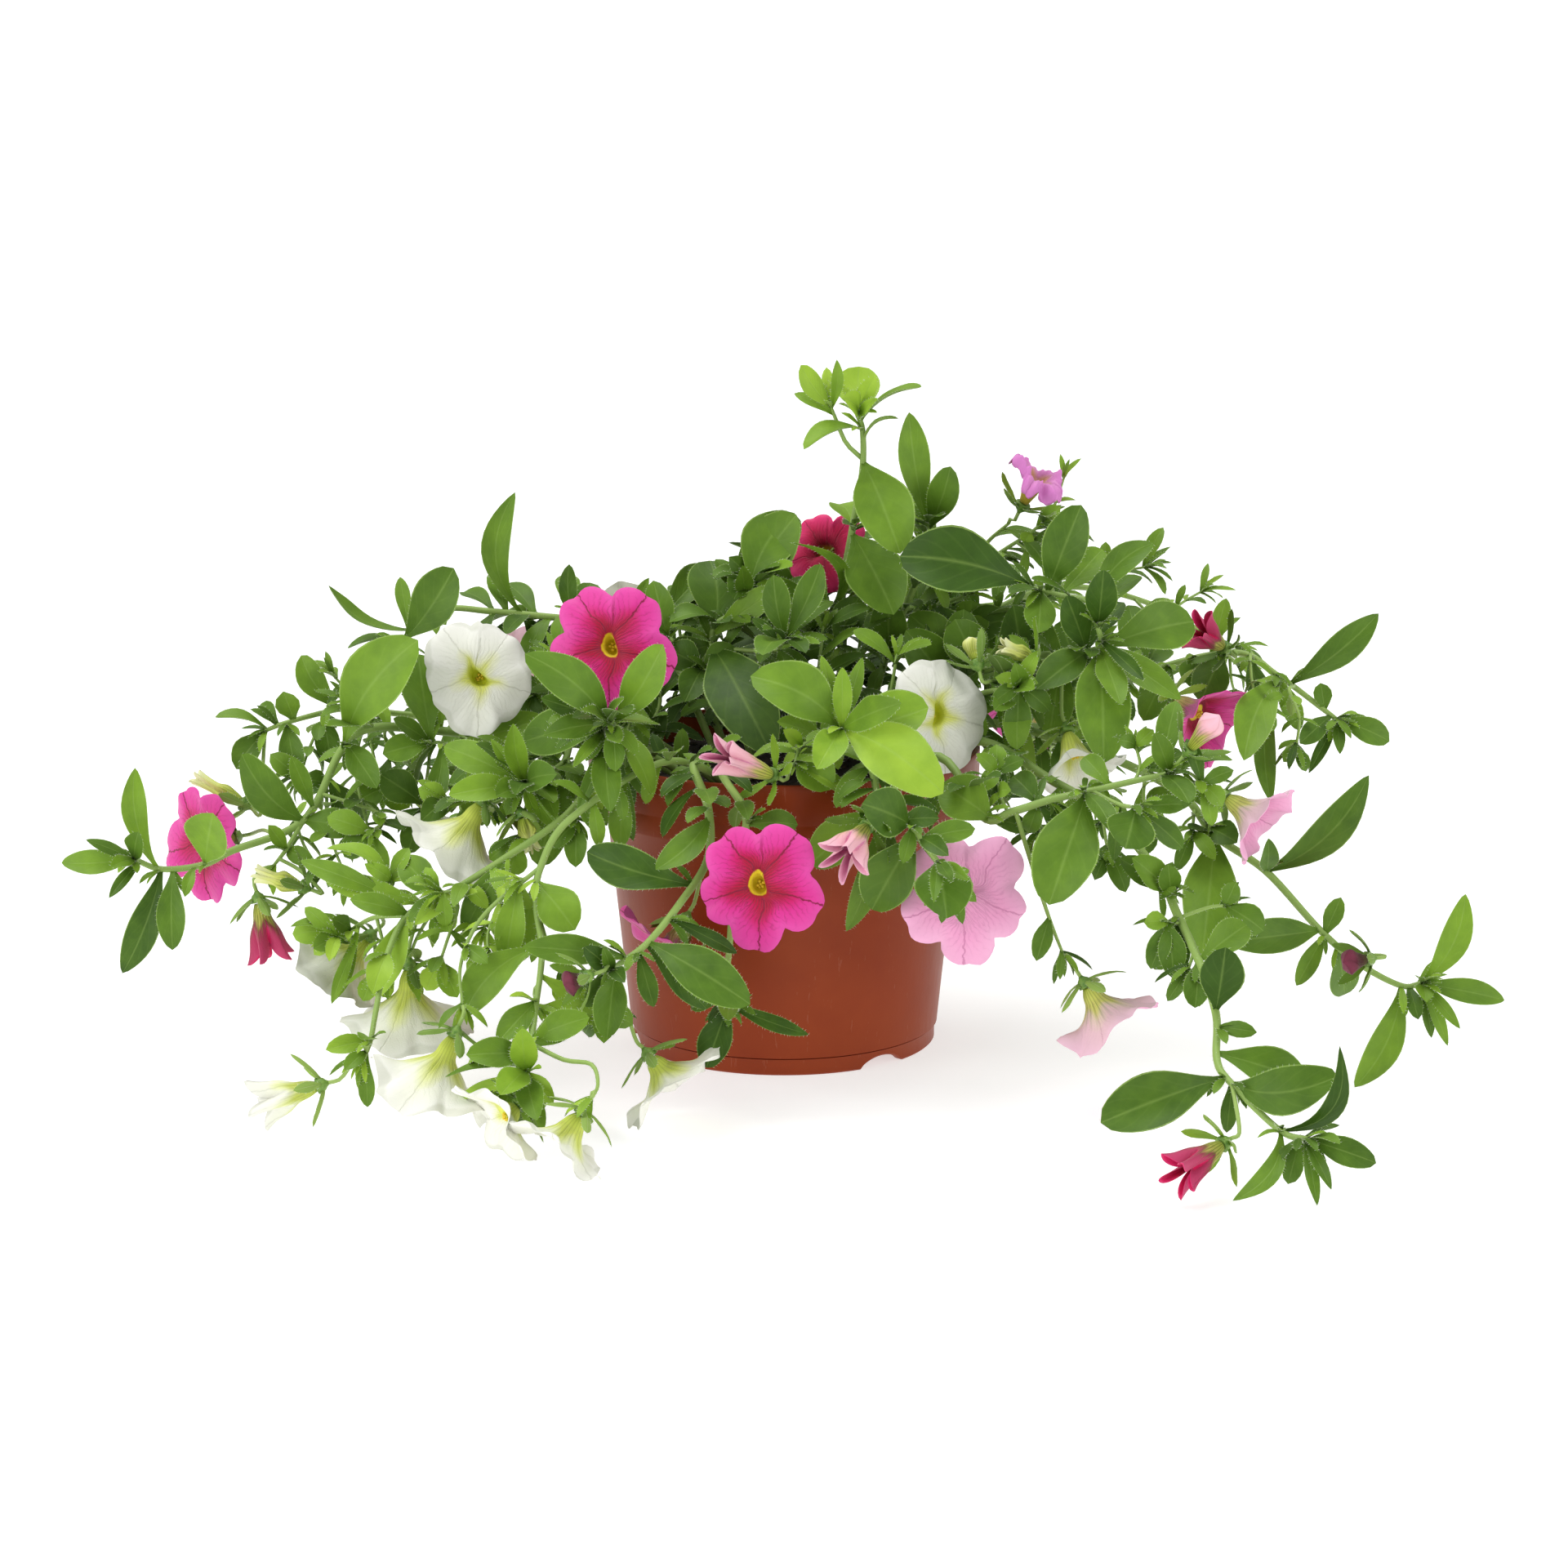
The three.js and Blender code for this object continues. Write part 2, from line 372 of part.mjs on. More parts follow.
    leaves: [
      [0.29, 73, 40, 128, 14, "front", 3, 0], [0.33, 87, 44, 122, 12, "front", 3, 0],
      [0.43, 108, 40, 128, 11, "front", 2, 0], [0.75, 182, 8, 131, 10, "front", 3, 2],
      [0.73, 136, -12, 81, 13, "front", 4, 3], [0.98, 186, 4, 92, 9, "front", 2, 0],
      [0.71, 158, 2, 96, 7, "front", 1, 0], [0.86, 165, 10, 109, 6, "front", 1, 0],
      [0.91, 156, -2, 90, 7, "front", 1, 0], [1, 161, 0, 83, 4, "front", 1, 0],
      [1, 170, -2, 89, 4, "front", 1, 0], [1, 181, 10, 97, 4, "front", 1, 0],
      [0.61, 146, 4, 107, 7, "front", 1, 0], [0.53, 137, 24, 133, 6, "front", 1, 0],
      [0.51, 125, 14, 107, 10, "front", 1, 0], [0.55, 129, 8, 106, 12, "front", 2, 0],
      [0.43, 118, 36, 119, 12, "front", 2, 0], [0.71, 149, -4, 74, 7, "front", 2, 3],
      [0.47, 111, 12, 97, 11, "front", 2, 0],
    ] },
  { name: "stem_back_left", shoot: 0, radius: 1.2,
    route: [
      [-16, 24, 80], [-30, 34, 108], [-58, 58, 122], [-84, 84, 104], [-100, 104, 74], [-108, 116, 48],
    ],
    leaves: [] },
  { name: "stem_back_mid", shoot: 0, radius: 1.25,
    route: [[-6, 32, 80], [-10, 46, 112], [-12, 68, 126], [-10, 94, 120], [-6, 114, 98], [-4, 130, 72]],
    leaves: [] },
  { name: "stem_back_right", shoot: 0, radius: 1.2,
    route: [[14, 30, 80], [24, 42, 112], [50, 66, 124], [78, 92, 106], [96, 112, 76], [104, 122, 46]],
    leaves: [] },
  { name: "stem_back_side", shoot: 0, radius: 1.1,
    route: [[30, 20, 80], [46, 30, 112], [82, 46, 132], [120, 58, 124], [146, 66, 104]],
    leaves: [] },
];

const FLOWERS = [
  ["bloom_magenta_left", "magenta", "open", "stem_high_left", 0, 0.14, [-49, -26, 125], [-51, -44, 131], 19],
  ["bloom_white_left", "white", "open", "stem_high_left", 0, 0.57, [-92, 0, 112], [-92, -16, 116], 16.5],
  ["bloom_magenta_front", "magenta", "open", "stem_front_foot", 0, 0.43, [-6, -74, 66], [-7, -91, 70], 19],
  ["bloom_white_centre", "white", "open", "stem_right_rosette", 0, 0.33, [39, -22, 104], [46, -34, 108], 17],
  ["bloom_pink_front", "pink", "open", "stem_front_right", 0, 0.6, [51, -66, 63], [52, -82, 64], 19],
  ["bloom_white_mid", "white", "trumpet", "stem_left_mid", 0, 0.49, [-88, -46, 86], [-99, -45, 68], 16],
  ["bloom_white_low", "white", "trumpet", "stem_low_outer", 0, 0.49, [-110, -64, 41], [-111, -62, 18], 18],
  ["bloom_white_far_left", "white", "trumpet", "stem_low_outer", 1, 0.34, [-122, -44, 44], [-135, -40, 32], 15],
  ["bloom_white_floor_left", "white", "trumpet", "stem_low_inner", 2, 1, [-92, -113, 34], [-101, -114, 14], 16],
  ["bloom_white_floor_mid", "white", "trumpet", "stem_low_inner", 0, 1, [-72, -134, 19], [-78, -144, 12], 11],
  ["bloom_white_floor_right", "white", "trumpet", "stem_low_inner", 1, 0.97, [-54, -153, 23], [-62, -155, 9], 11],
  ["bloom_white_small", "white", "half", "stem_low_outer", 0, 1, [-130, -108, 16], [-147, -108, 11], 7],
  ["bloom_white_foot", "white", "trumpet", "stem_front_left", 0, 1, [-40, -101, 24], [-29, -108, 17], 16],
  ["bloom_pink_low_right", "pink", "trumpet", "stem_right_front", 2, 1, [86, -82, 40], [95, -86, 26], 14],
  ["bloom_pink_right", "pink", "trumpet", "stem_right_long", 0, 0.4, [128, -50, 88], [142, -56, 80], 12],
  ["bloom_crimson_top", "crimson", "open", "stem_top_back", 0, 1, [14, 50, 140], [13, 36, 146], 13],
  ["bloom_magenta_right", "magenta", "trumpet", "stem_right_upper", 0, 0.43, [118, 6, 106], [131, -6, 100], 12],
  ["bloom_white_hanging", "white", "trumpet", "stem_right_crown", 0, 0.52, [84, -28, 104], [87, -36, 93], 12],
  ["bloom_pink_faded", "faded", "half", "stem_top_right", 1, 0.99, [73, 32, 159], [83, 28, 170], 8],
  ["bloom_magenta_far_left", "magenta", "open", "stem_left_long", 0, 0.64, [-167, 0, 63], [-177, -10, 63], 19],
  ["bloom_crimson_left", "crimson", "half", "stem_left_long", 1, 1, [-159, -28, 52], [-155, -31, 34], 9],
  ["bloom_pink_folded", "folded", "half", "stem_front_centre", 1, 1, [-2, -62, 95], [-18, -78, 105], 7],
  ["bloom_pink_star", "folded", "half", "stem_front_right", 0, 0.4, [25, -80, 86], [17, -94, 79], 9],
  ["bloom_crimson_right", "crimson", "half", "stem_right_upper", 0, 0.57, [137, 14, 118], [127, 8, 126], 8],
  ["bloom_pink_bud", "folded", "bud", "stem_right_front", 0, 1, [115, -78, 105], [124, -84, 118], 4],
  ["bloom_maroon_right", "maroon", "bud", "stem_right_long", 0, 0.8, [174, -60, 40], [162, -66, 40], 5],
  ["bloom_crimson_low", "crimson", "half", "stem_right_low", 0, 0.82, [121, -162, 16], [107, -173, 10], 8],
  ["bloom_magenta_low", "magenta", "open", "stem_front_left", 0, 0.43, [-28, -61, 54], [-33, -71, 51], 18],
  ["bloom_maroon_left", "maroon", "bud", "stem_front_left", 0, 1, [-54, -112, 49], [-62, -116, 47], 4],
  ["bloom_white_back", "white", "open", "stem_back_mid", 0, 0.6, [-46, 102, 102], [-55, 116, 108], 17],
  ["bloom_magenta_back", "magenta", "open", "stem_back_right", 0, 0.8, [82, 118, 70], [85, 133, 77], 18],
  ["bloom_pink_back", "pink", "open", "stem_back_left", 0, 0.66, [-86, 112, 86], [-91, 127, 92], 17],
  ["bloom_crimson_back", "crimson", "half", "stem_back_mid", 0, 1, [-4, 138, 62], [-4, 150, 48], 8],
];
// A corolla's outline as [fixed radius, share of the mouth radius, share of the length, fixed height]:
// from the calyx up the outside, the rim, and down inside to the bottom of the throat.
const PROFILES = {
  open: {
    outside: [[1.5, 0, 0, 0], [2.1, 0, 0.5, 0], [3.6, 0, 1, -2.2], [0, 0.6, 1, 0.2]],
    inside: [[2.7, 0, 1, -1.6], [0, 0.6, 1, 1.1]],
    edge: [0, 1, 1, 0.3],
    pit: [0, 0, 0.55, 0],
    sepalSpread: 0.85,
  },
  trumpet: {
    outside: [[1.5, 0, 0, 0], [2.4, 0, 0.35, 0], [1.6, 0.2, 0.6, 0], [0, 0.6, 0.84, 0]],
    inside: [[0.8, 0.2, 0.62, 0.3], [-0.5, 0.6, 0.86, 0.4]],
    edge: [0, 1, 1, 0],
    pit: [0, 0, 0.45, 0],
    sepalSpread: 1.2,
  },
  half: {
    outside: [[1.5, 0, 0, 0], [2.2, 0, 0.35, 0], [0.6, 0.4, 0.6, 0], [0, 0.78, 0.82, 0]],
    inside: [[-0.1, 0.4, 0.63, 0.3], [-0.6, 0.78, 0.85, 0.3]],
    edge: [0, 1, 1, 0],
    pit: [0, 0, 0.5, 0],
    sepalSpread: 1,
  },
  bud: {
    outside: [[1.4, 0, 0, 0], [0.6, 0.5, 0.4, 0], [0, 1, 0.75, 0]],
    edge: [0, 0, 1, 0],
    sepalSpread: 0.8,
  },
};
const LOBES = 5;
const NOTCH_DEPTH = 0.8;
const LOBE_LEFT = 0.3;
const LOBE_RIGHT = 0.7;

const HUES = {
  white: 0xf1f0ea,
  magenta: 0xd81b82,
  pink: 0xeba3cb,
  folded: 0xe7a9bd,
  faded: 0xd873c4,
  crimson: 0xb3123f,
  maroon: 0x6e2238,
};
const LEAF_GREEN = 0x55802a;

// ---------------------------------------------------------------------------------------------- vectors
const plus = (a, b) => [a[0] + b[0], a[1] + b[1], a[2] + b[2]];
const minus = (a, b) => [a[0] - b[0], a[1] - b[1], a[2] - b[2]];
const times = (a, k) => [a[0] * k, a[1] * k, a[2] * k];
const along = (a, d, k) => [a[0] + d[0] * k, a[1] + d[1] * k, a[2] + d[2] * k];
const dot = (a, b) => a[0] * b[0] + a[1] * b[1] + a[2] * b[2];
const cross = (a, b) => [a[1] * b[2] - a[2] * b[1], a[2] * b[0] - a[0] * b[2], a[0] * b[1] - a[1] * b[0]];
const size = (a) => Math.sqrt(dot(a, a));
const unit = (a) => times(a, 1 / size(a));
const square = (a, d) => unit(along(a, d, -dot(a, d)));

// One repeatable series of numbers from 0 to 1.
function seeded(seed) {
  let a = seed >>> 0;
  return () => {
    a = (a + 0x6d2b79f5) >>> 0;
    let t = a;
    t = Math.imul(t ^ (t >>> 15), t | 1);
    t ^= t + Math.imul(t ^ (t >>> 7), t | 61);
    return ((t ^ (t >>> 14)) >>> 0) / 4294967296;
  };
}

// A point of the uniform Catmull-Rom curve through a list of points, t from 0 to 1.
function onCurve(points, t) {
  const last = points.length - 1;
  const place = last * t;
  const i = Math.min(Math.floor(place), last - 1);
  const w = place - i;
  const p1 = points[i];
  const p2 = points[i + 1];
  const p0 = i > 0 ? points[i - 1] : minus(times(p1, 2), p2);
  const p3 = i + 2 <= last ? points[i + 2] : minus(times(p2, 2), p1);
  return p1.map((b, k) => {
    const c = p2[k];
    const v0 = (c - p0[k]) / 2;
    const v1 = (p3[k] - b) / 2;
    return (2 * b - 2 * c + v0 + v1) * w * w * w + (-3 * b + 3 * c - 2 * v0 - v1) * w * w + v0 * w + b;
  });
}

function curveLength(points) {
  let sum = 0;
  for (let k = 0; k < 40; k++) sum += size(minus(onCurve(points, (k + 1) / 40), onCurve(points, k / 40)));
  return sum;
}

// ------------------------------------------------------------------------------------------------ solids
function volumeOf(points, faces) {
  let sum = 0;
  for (let k = 0; k < faces.length; k += 3) {
    const corner = [0, 1, 2].map((j) => points.subarray(faces[k + j] * 3, faces[k + j] * 3 + 3));
    sum += dot(corner[0], cross(corner[1], corner[2]));
  }
  return sum / 6;
}

// A closed geometry as a solid that can be joined and cut, its faces turned outwards.
function solid(geometry) {
  const bare = geometry.clone();
  bare.deleteAttribute("normal");
  bare.deleteAttribute("uv");
  const welded = mergeVertices(bare, 1e-4);
  const points = Float32Array.from(welded.getAttribute("position").array);
  const faces = Uint32Array.from(welded.index.array);
  if (volumeOf(points, faces) < 0) {
    for (let k = 0; k < faces.length; k += 3) [faces[k], faces[k + 1]] = [faces[k + 1], faces[k]];
  }
  return new wasm.Manifold(new wasm.Mesh({ numProp: 3, vertProperties: points, triVerts: faces }));
}

function geometryOf(body) {
  const mesh = body.getMesh();
  const geometry = new THREE.BufferGeometry();
  geometry.setAttribute("position", new THREE.BufferAttribute(Float32Array.from(mesh.vertProperties), 3));
  geometry.setIndex(Array.from(mesh.triVerts));
  return geometry;
}

// A closed skin that grows from point to point: rings of points, and triangles that face outwards.
function newSkin() {
  return { points: [], triangles: [] };
}

function put(skin, p) {
  skin.points.push(p);
  return skin.points.length - 1;
}

function skinGeometry(skin) {
  const geometry = new THREE.BufferGeometry();
  geometry.setAttribute("position", new THREE.BufferAttribute(Float32Array.from(skin.points.flat()), 3));
  geometry.setIndex(skin.triangles.flat());
  return geometry;
}

// Joins two rings that run the same way round, each point at its own share of the turn.
function joinRings(skin, low, lowShares, high, highShares, inwards = false) {
  let a = 0;
  let b = 0;
  while (a < low.length || b < high.length) {
    const nextLow = a + 1 < low.length ? lowShares[a + 1] : 1 + lowShares[0];
    const nextHigh = b + 1 < high.length ? highShares[b + 1] : 1 + highShares[0];
    const stepLow = b >= high.length || (a < low.length && nextLow <= nextHigh);
    const la = low[a % low.length];
    const hb = high[b % high.length];
    const third = stepLow ? low[(a + 1) % low.length] : high[(b + 1) % high.length];
    skin.triangles.push(inwards ? [la, hb, third] : [la, third, hb]);
    if (stepLow) a += 1;
    else b += 1;
  }
}

const evenShares = (count, first = 0) => Array.from({ length: count }, (_, k) => (k + first) / count);

function closeRing(skin, ring, atEnd) {
  for (let k = 1; k + 1 < ring.length; k++) {
    skin.triangles.push(atEnd ? [ring[0], ring[k], ring[k + 1]] : [ring[0], ring[k + 1], ring[k]]);
  }
}

function closeOnPoint(skin, ring, tip) {
  ring.forEach((corner, k) => skin.triangles.push([corner, ring[(k + 1) % ring.length], tip]));
}

function turned(profile, sides) {
  const lathe = new THREE.LatheGeometry(profile.map(([r, z]) => new THREE.Vector2(r, z)), sides);
  lathe.rotateX(Math.PI / 2);
  return lathe;
}

// --------------------------------------------------------------------------------------------- pot, soil
// The outer radius of the pot at a height.
function potRadius(z) {
  if (z > POT_HEIGHT - RIM_BAND) return RIM_RADIUS;
  return BASE_RADIUS + ((NECK_RADIUS - BASE_RADIUS) * (z - FOOT_HEIGHT)) / (POT_HEIGHT - RIM_BAND - FOOT_HEIGHT);
}

function makePot() {
  const bandFoot = POT_HEIGHT - RIM_BAND;
  const profile = [
    [0, FLOOR_HEIGHT],
    [FOOT_RADIUS - 2 * WALL, FLOOR_HEIGHT],
    [FOOT_RADIUS - 2 * WALL, 0],
    [FOOT_RADIUS, 0],
    [FOOT_RADIUS, FOOT_HEIGHT],
    [BASE_RADIUS, FOOT_HEIGHT],
    [NECK_RADIUS, bandFoot - 1],
    [RIM_RADIUS - 0.7, bandFoot],
    [RIM_RADIUS, POT_HEIGHT - 1],
    [RIM_RADIUS - 0.5, POT_HEIGHT],
    [RIM_RADIUS - WALL, POT_HEIGHT],
    [RIM_RADIUS - 0.7 - WALL, bandFoot + WALL],
    [NECK_RADIUS - WALL, bandFoot],
    [BASE_RADIUS - WALL, FLOOR_HEIGHT + WALL],
    [0, FLOOR_HEIGHT + WALL],
  ];
  let pot = solid(turned(profile, POT_SIDES));
  for (const bearing of NOTCH_BEARINGS) {
    const arch = new THREE.Shape();
    arch.moveTo(-NOTCH_WIDTH / 2, -1);
    arch.lineTo(NOTCH_WIDTH / 2, -1);
    arch.quadraticCurveTo(NOTCH_WIDTH / 4, NOTCH_HEIGHT, 0, NOTCH_HEIGHT);
    arch.quadraticCurveTo(-NOTCH_WIDTH / 4, NOTCH_HEIGHT, -NOTCH_WIDTH / 2, -1);
    const cutter = new THREE.ExtrudeGeometry(arch, { depth: 10, bevelEnabled: false, curveSegments: 3 });
    cutter.rotateX(Math.PI / 2);
    cutter.translate(0, -FOOT_RADIUS + 5, 0);
    cutter.rotateZ(THREE.MathUtils.degToRad(bearing));
    pot = pot.subtract(solid(cutter));
  }
  for (let k = 0; k < DRAIN_COUNT; k++) {
    const drill = new THREE.CylinderGeometry(DRAIN_RADIUS, DRAIN_RADIUS, 8, 10);
    drill.rotateX(Math.PI / 2);
    drill.translate(DRAIN_CIRCLE, 0, FLOOR_HEIGHT);
    drill.rotateZ((2 * Math.PI * k) / DRAIN_COUNT);
    pot = pot.subtract(solid(drill));
  }
  return pot;
}

function makeSoil() {
  const bandFoot = POT_HEIGHT - RIM_BAND;
  const gap = SEAT_GAP + 0.2;
  const profile = [
    [0, FLOOR_HEIGHT + WALL + SEAT_GAP],
    [BASE_RADIUS - WALL - gap, FLOOR_HEIGHT + WALL + SEAT_GAP],
    [NECK_RADIUS - WALL - gap, bandFoot],
    [RIM_RADIUS - 0.7 - WALL - gap, bandFoot + WALL + 1],
    [RIM_RADIUS - 0.7 - WALL - gap, SOIL_TOP],
    [NECK_RADIUS / 2, SOIL_TOP + SOIL_DOME],
    [0, SOIL_TOP + SOIL_DOME],
  ];
  let soil = solid(turned(profile, 24));
  for (const stem of STEMS.filter((one) => one.shoot === 0)) {
    const [foot, above] = stemStations(stem.route).slice(0, 2).map((t) => onCurve(stem.route, t));
    const ahead = unit(minus(above, foot));
    const radius = (stem.radius + SEAT_GAP) / Math.cos(Math.PI / 6);
    const ends = [along(foot, ahead, -SEAT_GAP), along(above, ahead, 2)].map((p) => new THREE.Vector3(...p));
    const section = new THREE.Shape(tubeCorners(6).map(([x, y]) => new THREE.Vector2(radius * x, radius * y)));
    const path = new THREE.LineCurve3(...ends);
    const hole = new THREE.ExtrudeGeometry(section, { steps: 1, bevelEnabled: false, extrudePath: path });
    soil = soil.subtract(solid(hole));
  }
  return soil;
}

// ------------------------------------------------------------------------------------------------ leaves
// Everything that settles a blade: where it starts, its own three directions and its measures.
function makeBlade(start, tip, width, face, arch, sway) {
  const run = minus(tip, start);
  const ahead = unit(run);
  const up = square(face, ahead);
  const across = cross(ahead, up);
  return { root: start, length: size(run), ahead, up, across, width, arch, sway };
}

function halfWidth(blade, s) {
  const belly = Math.pow(Math.max(Math.sin(Math.PI * Math.pow(s, 1.5)), 0), 0.8);
  return 0.6 * (1 - s) + (blade.width / 2 - 0.3) * belly;
}

// A point of the blade: s runs from root to tip, side from -1 at one margin to 1 at the other.
function onBlade(blade, s, side) {
  const lift = 4 * s * (1 - s);
  const half = halfWidth(blade, s);
  let p = along(blade.root, blade.ahead, blade.length * s);
  p = along(p, blade.up, blade.arch * lift + BLADE_CUP * half * side * side);
  return along(p, blade.across, blade.sway * lift + side * half);
}

// Where the corners of a blade's or a stalk's root lie, as [share of up, share of across].
const BROAD_ROOT = [[0, -1], [0.8, 0], [0, 1], [-0.8, 0]];
const PLAIN_ROOT = [[0, -1], [0, 1], [-0.9, 0]];

const isBroad = (blade) => blade.width >= BROAD_BLADE;

// Grows a blade out of its root ring: a few rings of points, and the tip.
function growBlade(skin, root, blade) {
  const { width, up } = blade;
  const broad = isBroad(blade);
  const stations = broad ? [0.28, 0.55, 0.82] : width >= SMALL_BLADE ? [0.3, 0.72] : [0.55];
  let low = root;
  for (const s of stations) {
    const middle = onBlade(blade, s, 0);
    const corners = [onBlade(blade, s, -1), onBlade(blade, s, 1), along(middle, up, -BLADE_HALF_THICKNESS)];
    if (broad) corners.splice(1, 0, along(middle, up, BLADE_HALF_THICKNESS));
    const ring = corners.map((p) => put(skin, p));
    joinRings(skin, low, evenShares(low.length), ring, evenShares(ring.length));
    low = ring;
  }
  closeOnPoint(skin, low, put(skin, onBlade(blade, 1, 0)));
}

// ------------------------------------------------------------------------------------------------- stems
// The places along a route, from 0 to 1, where its tube has a ring.
function stemStations(route) {
  const places = [0];
  const segments = route.length - 1;
  for (let i = 0; i < segments; i++) {
    const parts = Math.max(1, Math.round(size(minus(route[i + 1], route[i])) / RING_SPACING));
    for (let k = 1; k <= parts; k++) places.push((i + k / parts) / segments);
  }
  return places;
}

function nearestPlace(route, p) {
  let best = 0;
  for (let k = 1; k <= 100; k++) {
    if (size(minus(onCurve(route, k / 100), p)) < size(minus(onCurve(route, best), p))) best = k / 100;
  }
  return best;
}

const ringAngle = (k, sides) => (2 * Math.PI * k) / sides;

function tubeCorners(sides) {
  return Array.from({ length: sides }, (_, k) => [Math.cos(ringAngle(k, sides)), Math.sin(ringAngle(k, sides))]);
}

// Opens a small ring in one face of a tube, on the side that a sprout leaves from, clear of the others there.
function openSocket(skin, faces, sprout) {
  let best = null;
  for (const face of faces) {
    const [a, b, c, d] = face.corners.map((i) => skin.points[i]);
    const span = size(minus(d, a));
    for (const shift of [0, 1.4, -1.4, 2.8, -2.8, 4.2, -4.2, 5.6, -5.6]) {
      const v = (sprout.place - face.from) / (face.to - face.from) + shift / span;
      const margin = 0.75 / span;
      if (v < -0.6 || v > 1.6) continue;
      const w = Math.min(Math.max(v, margin), 1 - margin);
      const middle = plus(times(plus(a, b), (1 - w) / 2), times(plus(d, c), w / 2));
      if (face.sockets.some((one) => size(minus(one.middle, middle)) < 1.35)) continue;
      const cost = size(minus(middle, sprout.from)) * 0.4 - 2.5 * dot(face.normal, sprout.ahead);
      if (best === null || cost < best.cost) best = { face, middle, cost };
    }
  }
  const { face, middle } = best;
  const [a, b] = face.corners.map((i) => skin.points[i]);
  const reach = Math.min(PETIOLE_HALF, size(minus(b, a)) * 0.3);
  const flat = along(sprout.up, face.normal, -dot(sprout.up, face.normal));
  const usable = size(flat) > 0.25;
  const e1 = usable ? unit(flat) : cross(unit(square(sprout.across, face.normal)), face.normal);
  const e2 = cross(face.normal, e1);
  const ring = sprout.root.map(([up, across]) =>
    put(skin, along(along(middle, e1, reach * up), e2, reach * across)),
  );
  face.sockets.push({ middle, ring });
  return ring;
}

// Lays triangles over one face of a tube around the sockets in it.
function coverFace(skin, face) {
  if (face.sockets.length === 0) {
    closeRing(skin, face.corners, true);
    return;
  }
  const [a, b, , d] = face.corners.map((i) => skin.points[i]);
  const right = unit(minus(b, a));
  const ahead = square(minus(d, a), right);
  const flat = (i) => {
    const p = minus(skin.points[i], a);
    return new THREE.Vector2(dot(p, right), dot(p, ahead));
  };
  const all = [...face.corners, ...face.sockets.flatMap((one) => one.ring)];
  const holes = face.sockets.map((one) => one.ring.map(flat));
  for (const corners of THREE.ShapeUtils.triangulateShape(face.corners.map(flat), holes)) {
    const [i, j, k] = corners.map((n) => all[n]);
    const [p, q, r] = [i, j, k].map(flat);
    const turn = (q.x - p.x) * (r.y - p.y) - (q.y - p.y) * (r.x - p.x);
    skin.triangles.push(turn > 0 ? [i, j, k] : [i, k, j]);
  }
}

// Grows a tube along a route, from a ring that is there already or from a capped end. Each sprout gets a
// socket in the tube's side and grows on from it. Returns the last ring, left open.
function growTube(skin, start, route, radius, sides, sprouts, normal) {
  const places = stemStations(route);
  const faces = [];
  let low = start;
  let frame = normal;
  for (let i = 0; i < places.length; i++) {
    const t = places[i];
    const ahead = unit(minus(onCurve(route, Math.min(t + 0.01, 1)), onCurve(route, Math.max(t - 0.01, 0))));
    frame = square(frame, ahead);
    const other = cross(ahead, frame);
    if (i === 0 && start) continue;
    const centre = onCurve(route, t);
    const ring = tubeCorners(sides).map(([n, m]) =>
      put(skin, along(along(centre, frame, radius * n), other, radius * m)),
    );
    if (!low) closeRing(skin, ring, false);
    for (let k = 0; low && k < sides; k++) {
      const next = (k + 1) % sides;
      const corners = [low[k], low[next], ring[next], ring[k]];
      const middle = ringAngle(k + 0.5, sides);
      const out = along(times(frame, Math.cos(middle)), other, Math.sin(middle));
      faces.push({ corners, from: places[i - 1], to: t, normal: out, sockets: [] });
    }
    low = ring;
  }
  // A tube that starts in a socket has its first faces left whole: they are too narrow to open.
  const open = start ? faces.slice(sides) : faces;
  for (const sprout of sprouts) sprout.grow(openSocket(skin, open, sprout));
  for (const face of faces) coverFace(skin, face);
  return low;
}

// ----------------------------------------------------------------------------------------------- flowers
// A flower's axis, its calyx and the size of its corolla, from its calyx point and the middle of its mouth.
function makeFlower([name, hue, kind, stem, shoot, place, calyx, mouth, radius]) {
  const axis = unit(minus(mouth, calyx));
  const side = square(Math.abs(axis[2]) > 0.8 ? [1, 0, 0] : [0, 0, 1], axis);
  const other = cross(axis, side);
  const seat = along(calyx, axis, CUP_LENGTH + SEAT_GAP);
  const length = size(minus(mouth, calyx)) - CUP_LENGTH - SEAT_GAP;
  return { name, hue, kind, stem, shoot, place, calyx, axis, side, other, seat, length, radius };
}

function aroundAxis(flower, from, radius, angle, height) {
  let p = along(from, flower.axis, height);
  p = along(p, flower.side, radius * Math.cos(angle));
  return along(p, flower.other, radius * Math.sin(angle));
}

function measured(flower, [fixed, share, part, rise]) {
  return [fixed + share * flower.radius, part * flower.length + rise];
}

// One ring of a corolla: for each lobe, points at the given shares of its part of the turn.
function flowerRing(skin, flower, from, [radius, height], shares, notches = false) {
  const ring = [];
  for (let k = 0; k < LOBES; k++) {
    for (const share of shares) {
      const notch = notches && share === 0;
      const r = notch ? radius * NOTCH_DEPTH : radius;
      const z = notch ? height - 0.02 * flower.radius : height;
      ring.push(put(skin, aroundAxis(flower, from, r, ringAngle(k + share, LOBES), z)));
    }
  }
  return ring;
}

const turnShares = (shares) => {
  return Array.from({ length: LOBES }, (_, k) => shares.map((share) => (k + share) / LOBES)).flat();
};

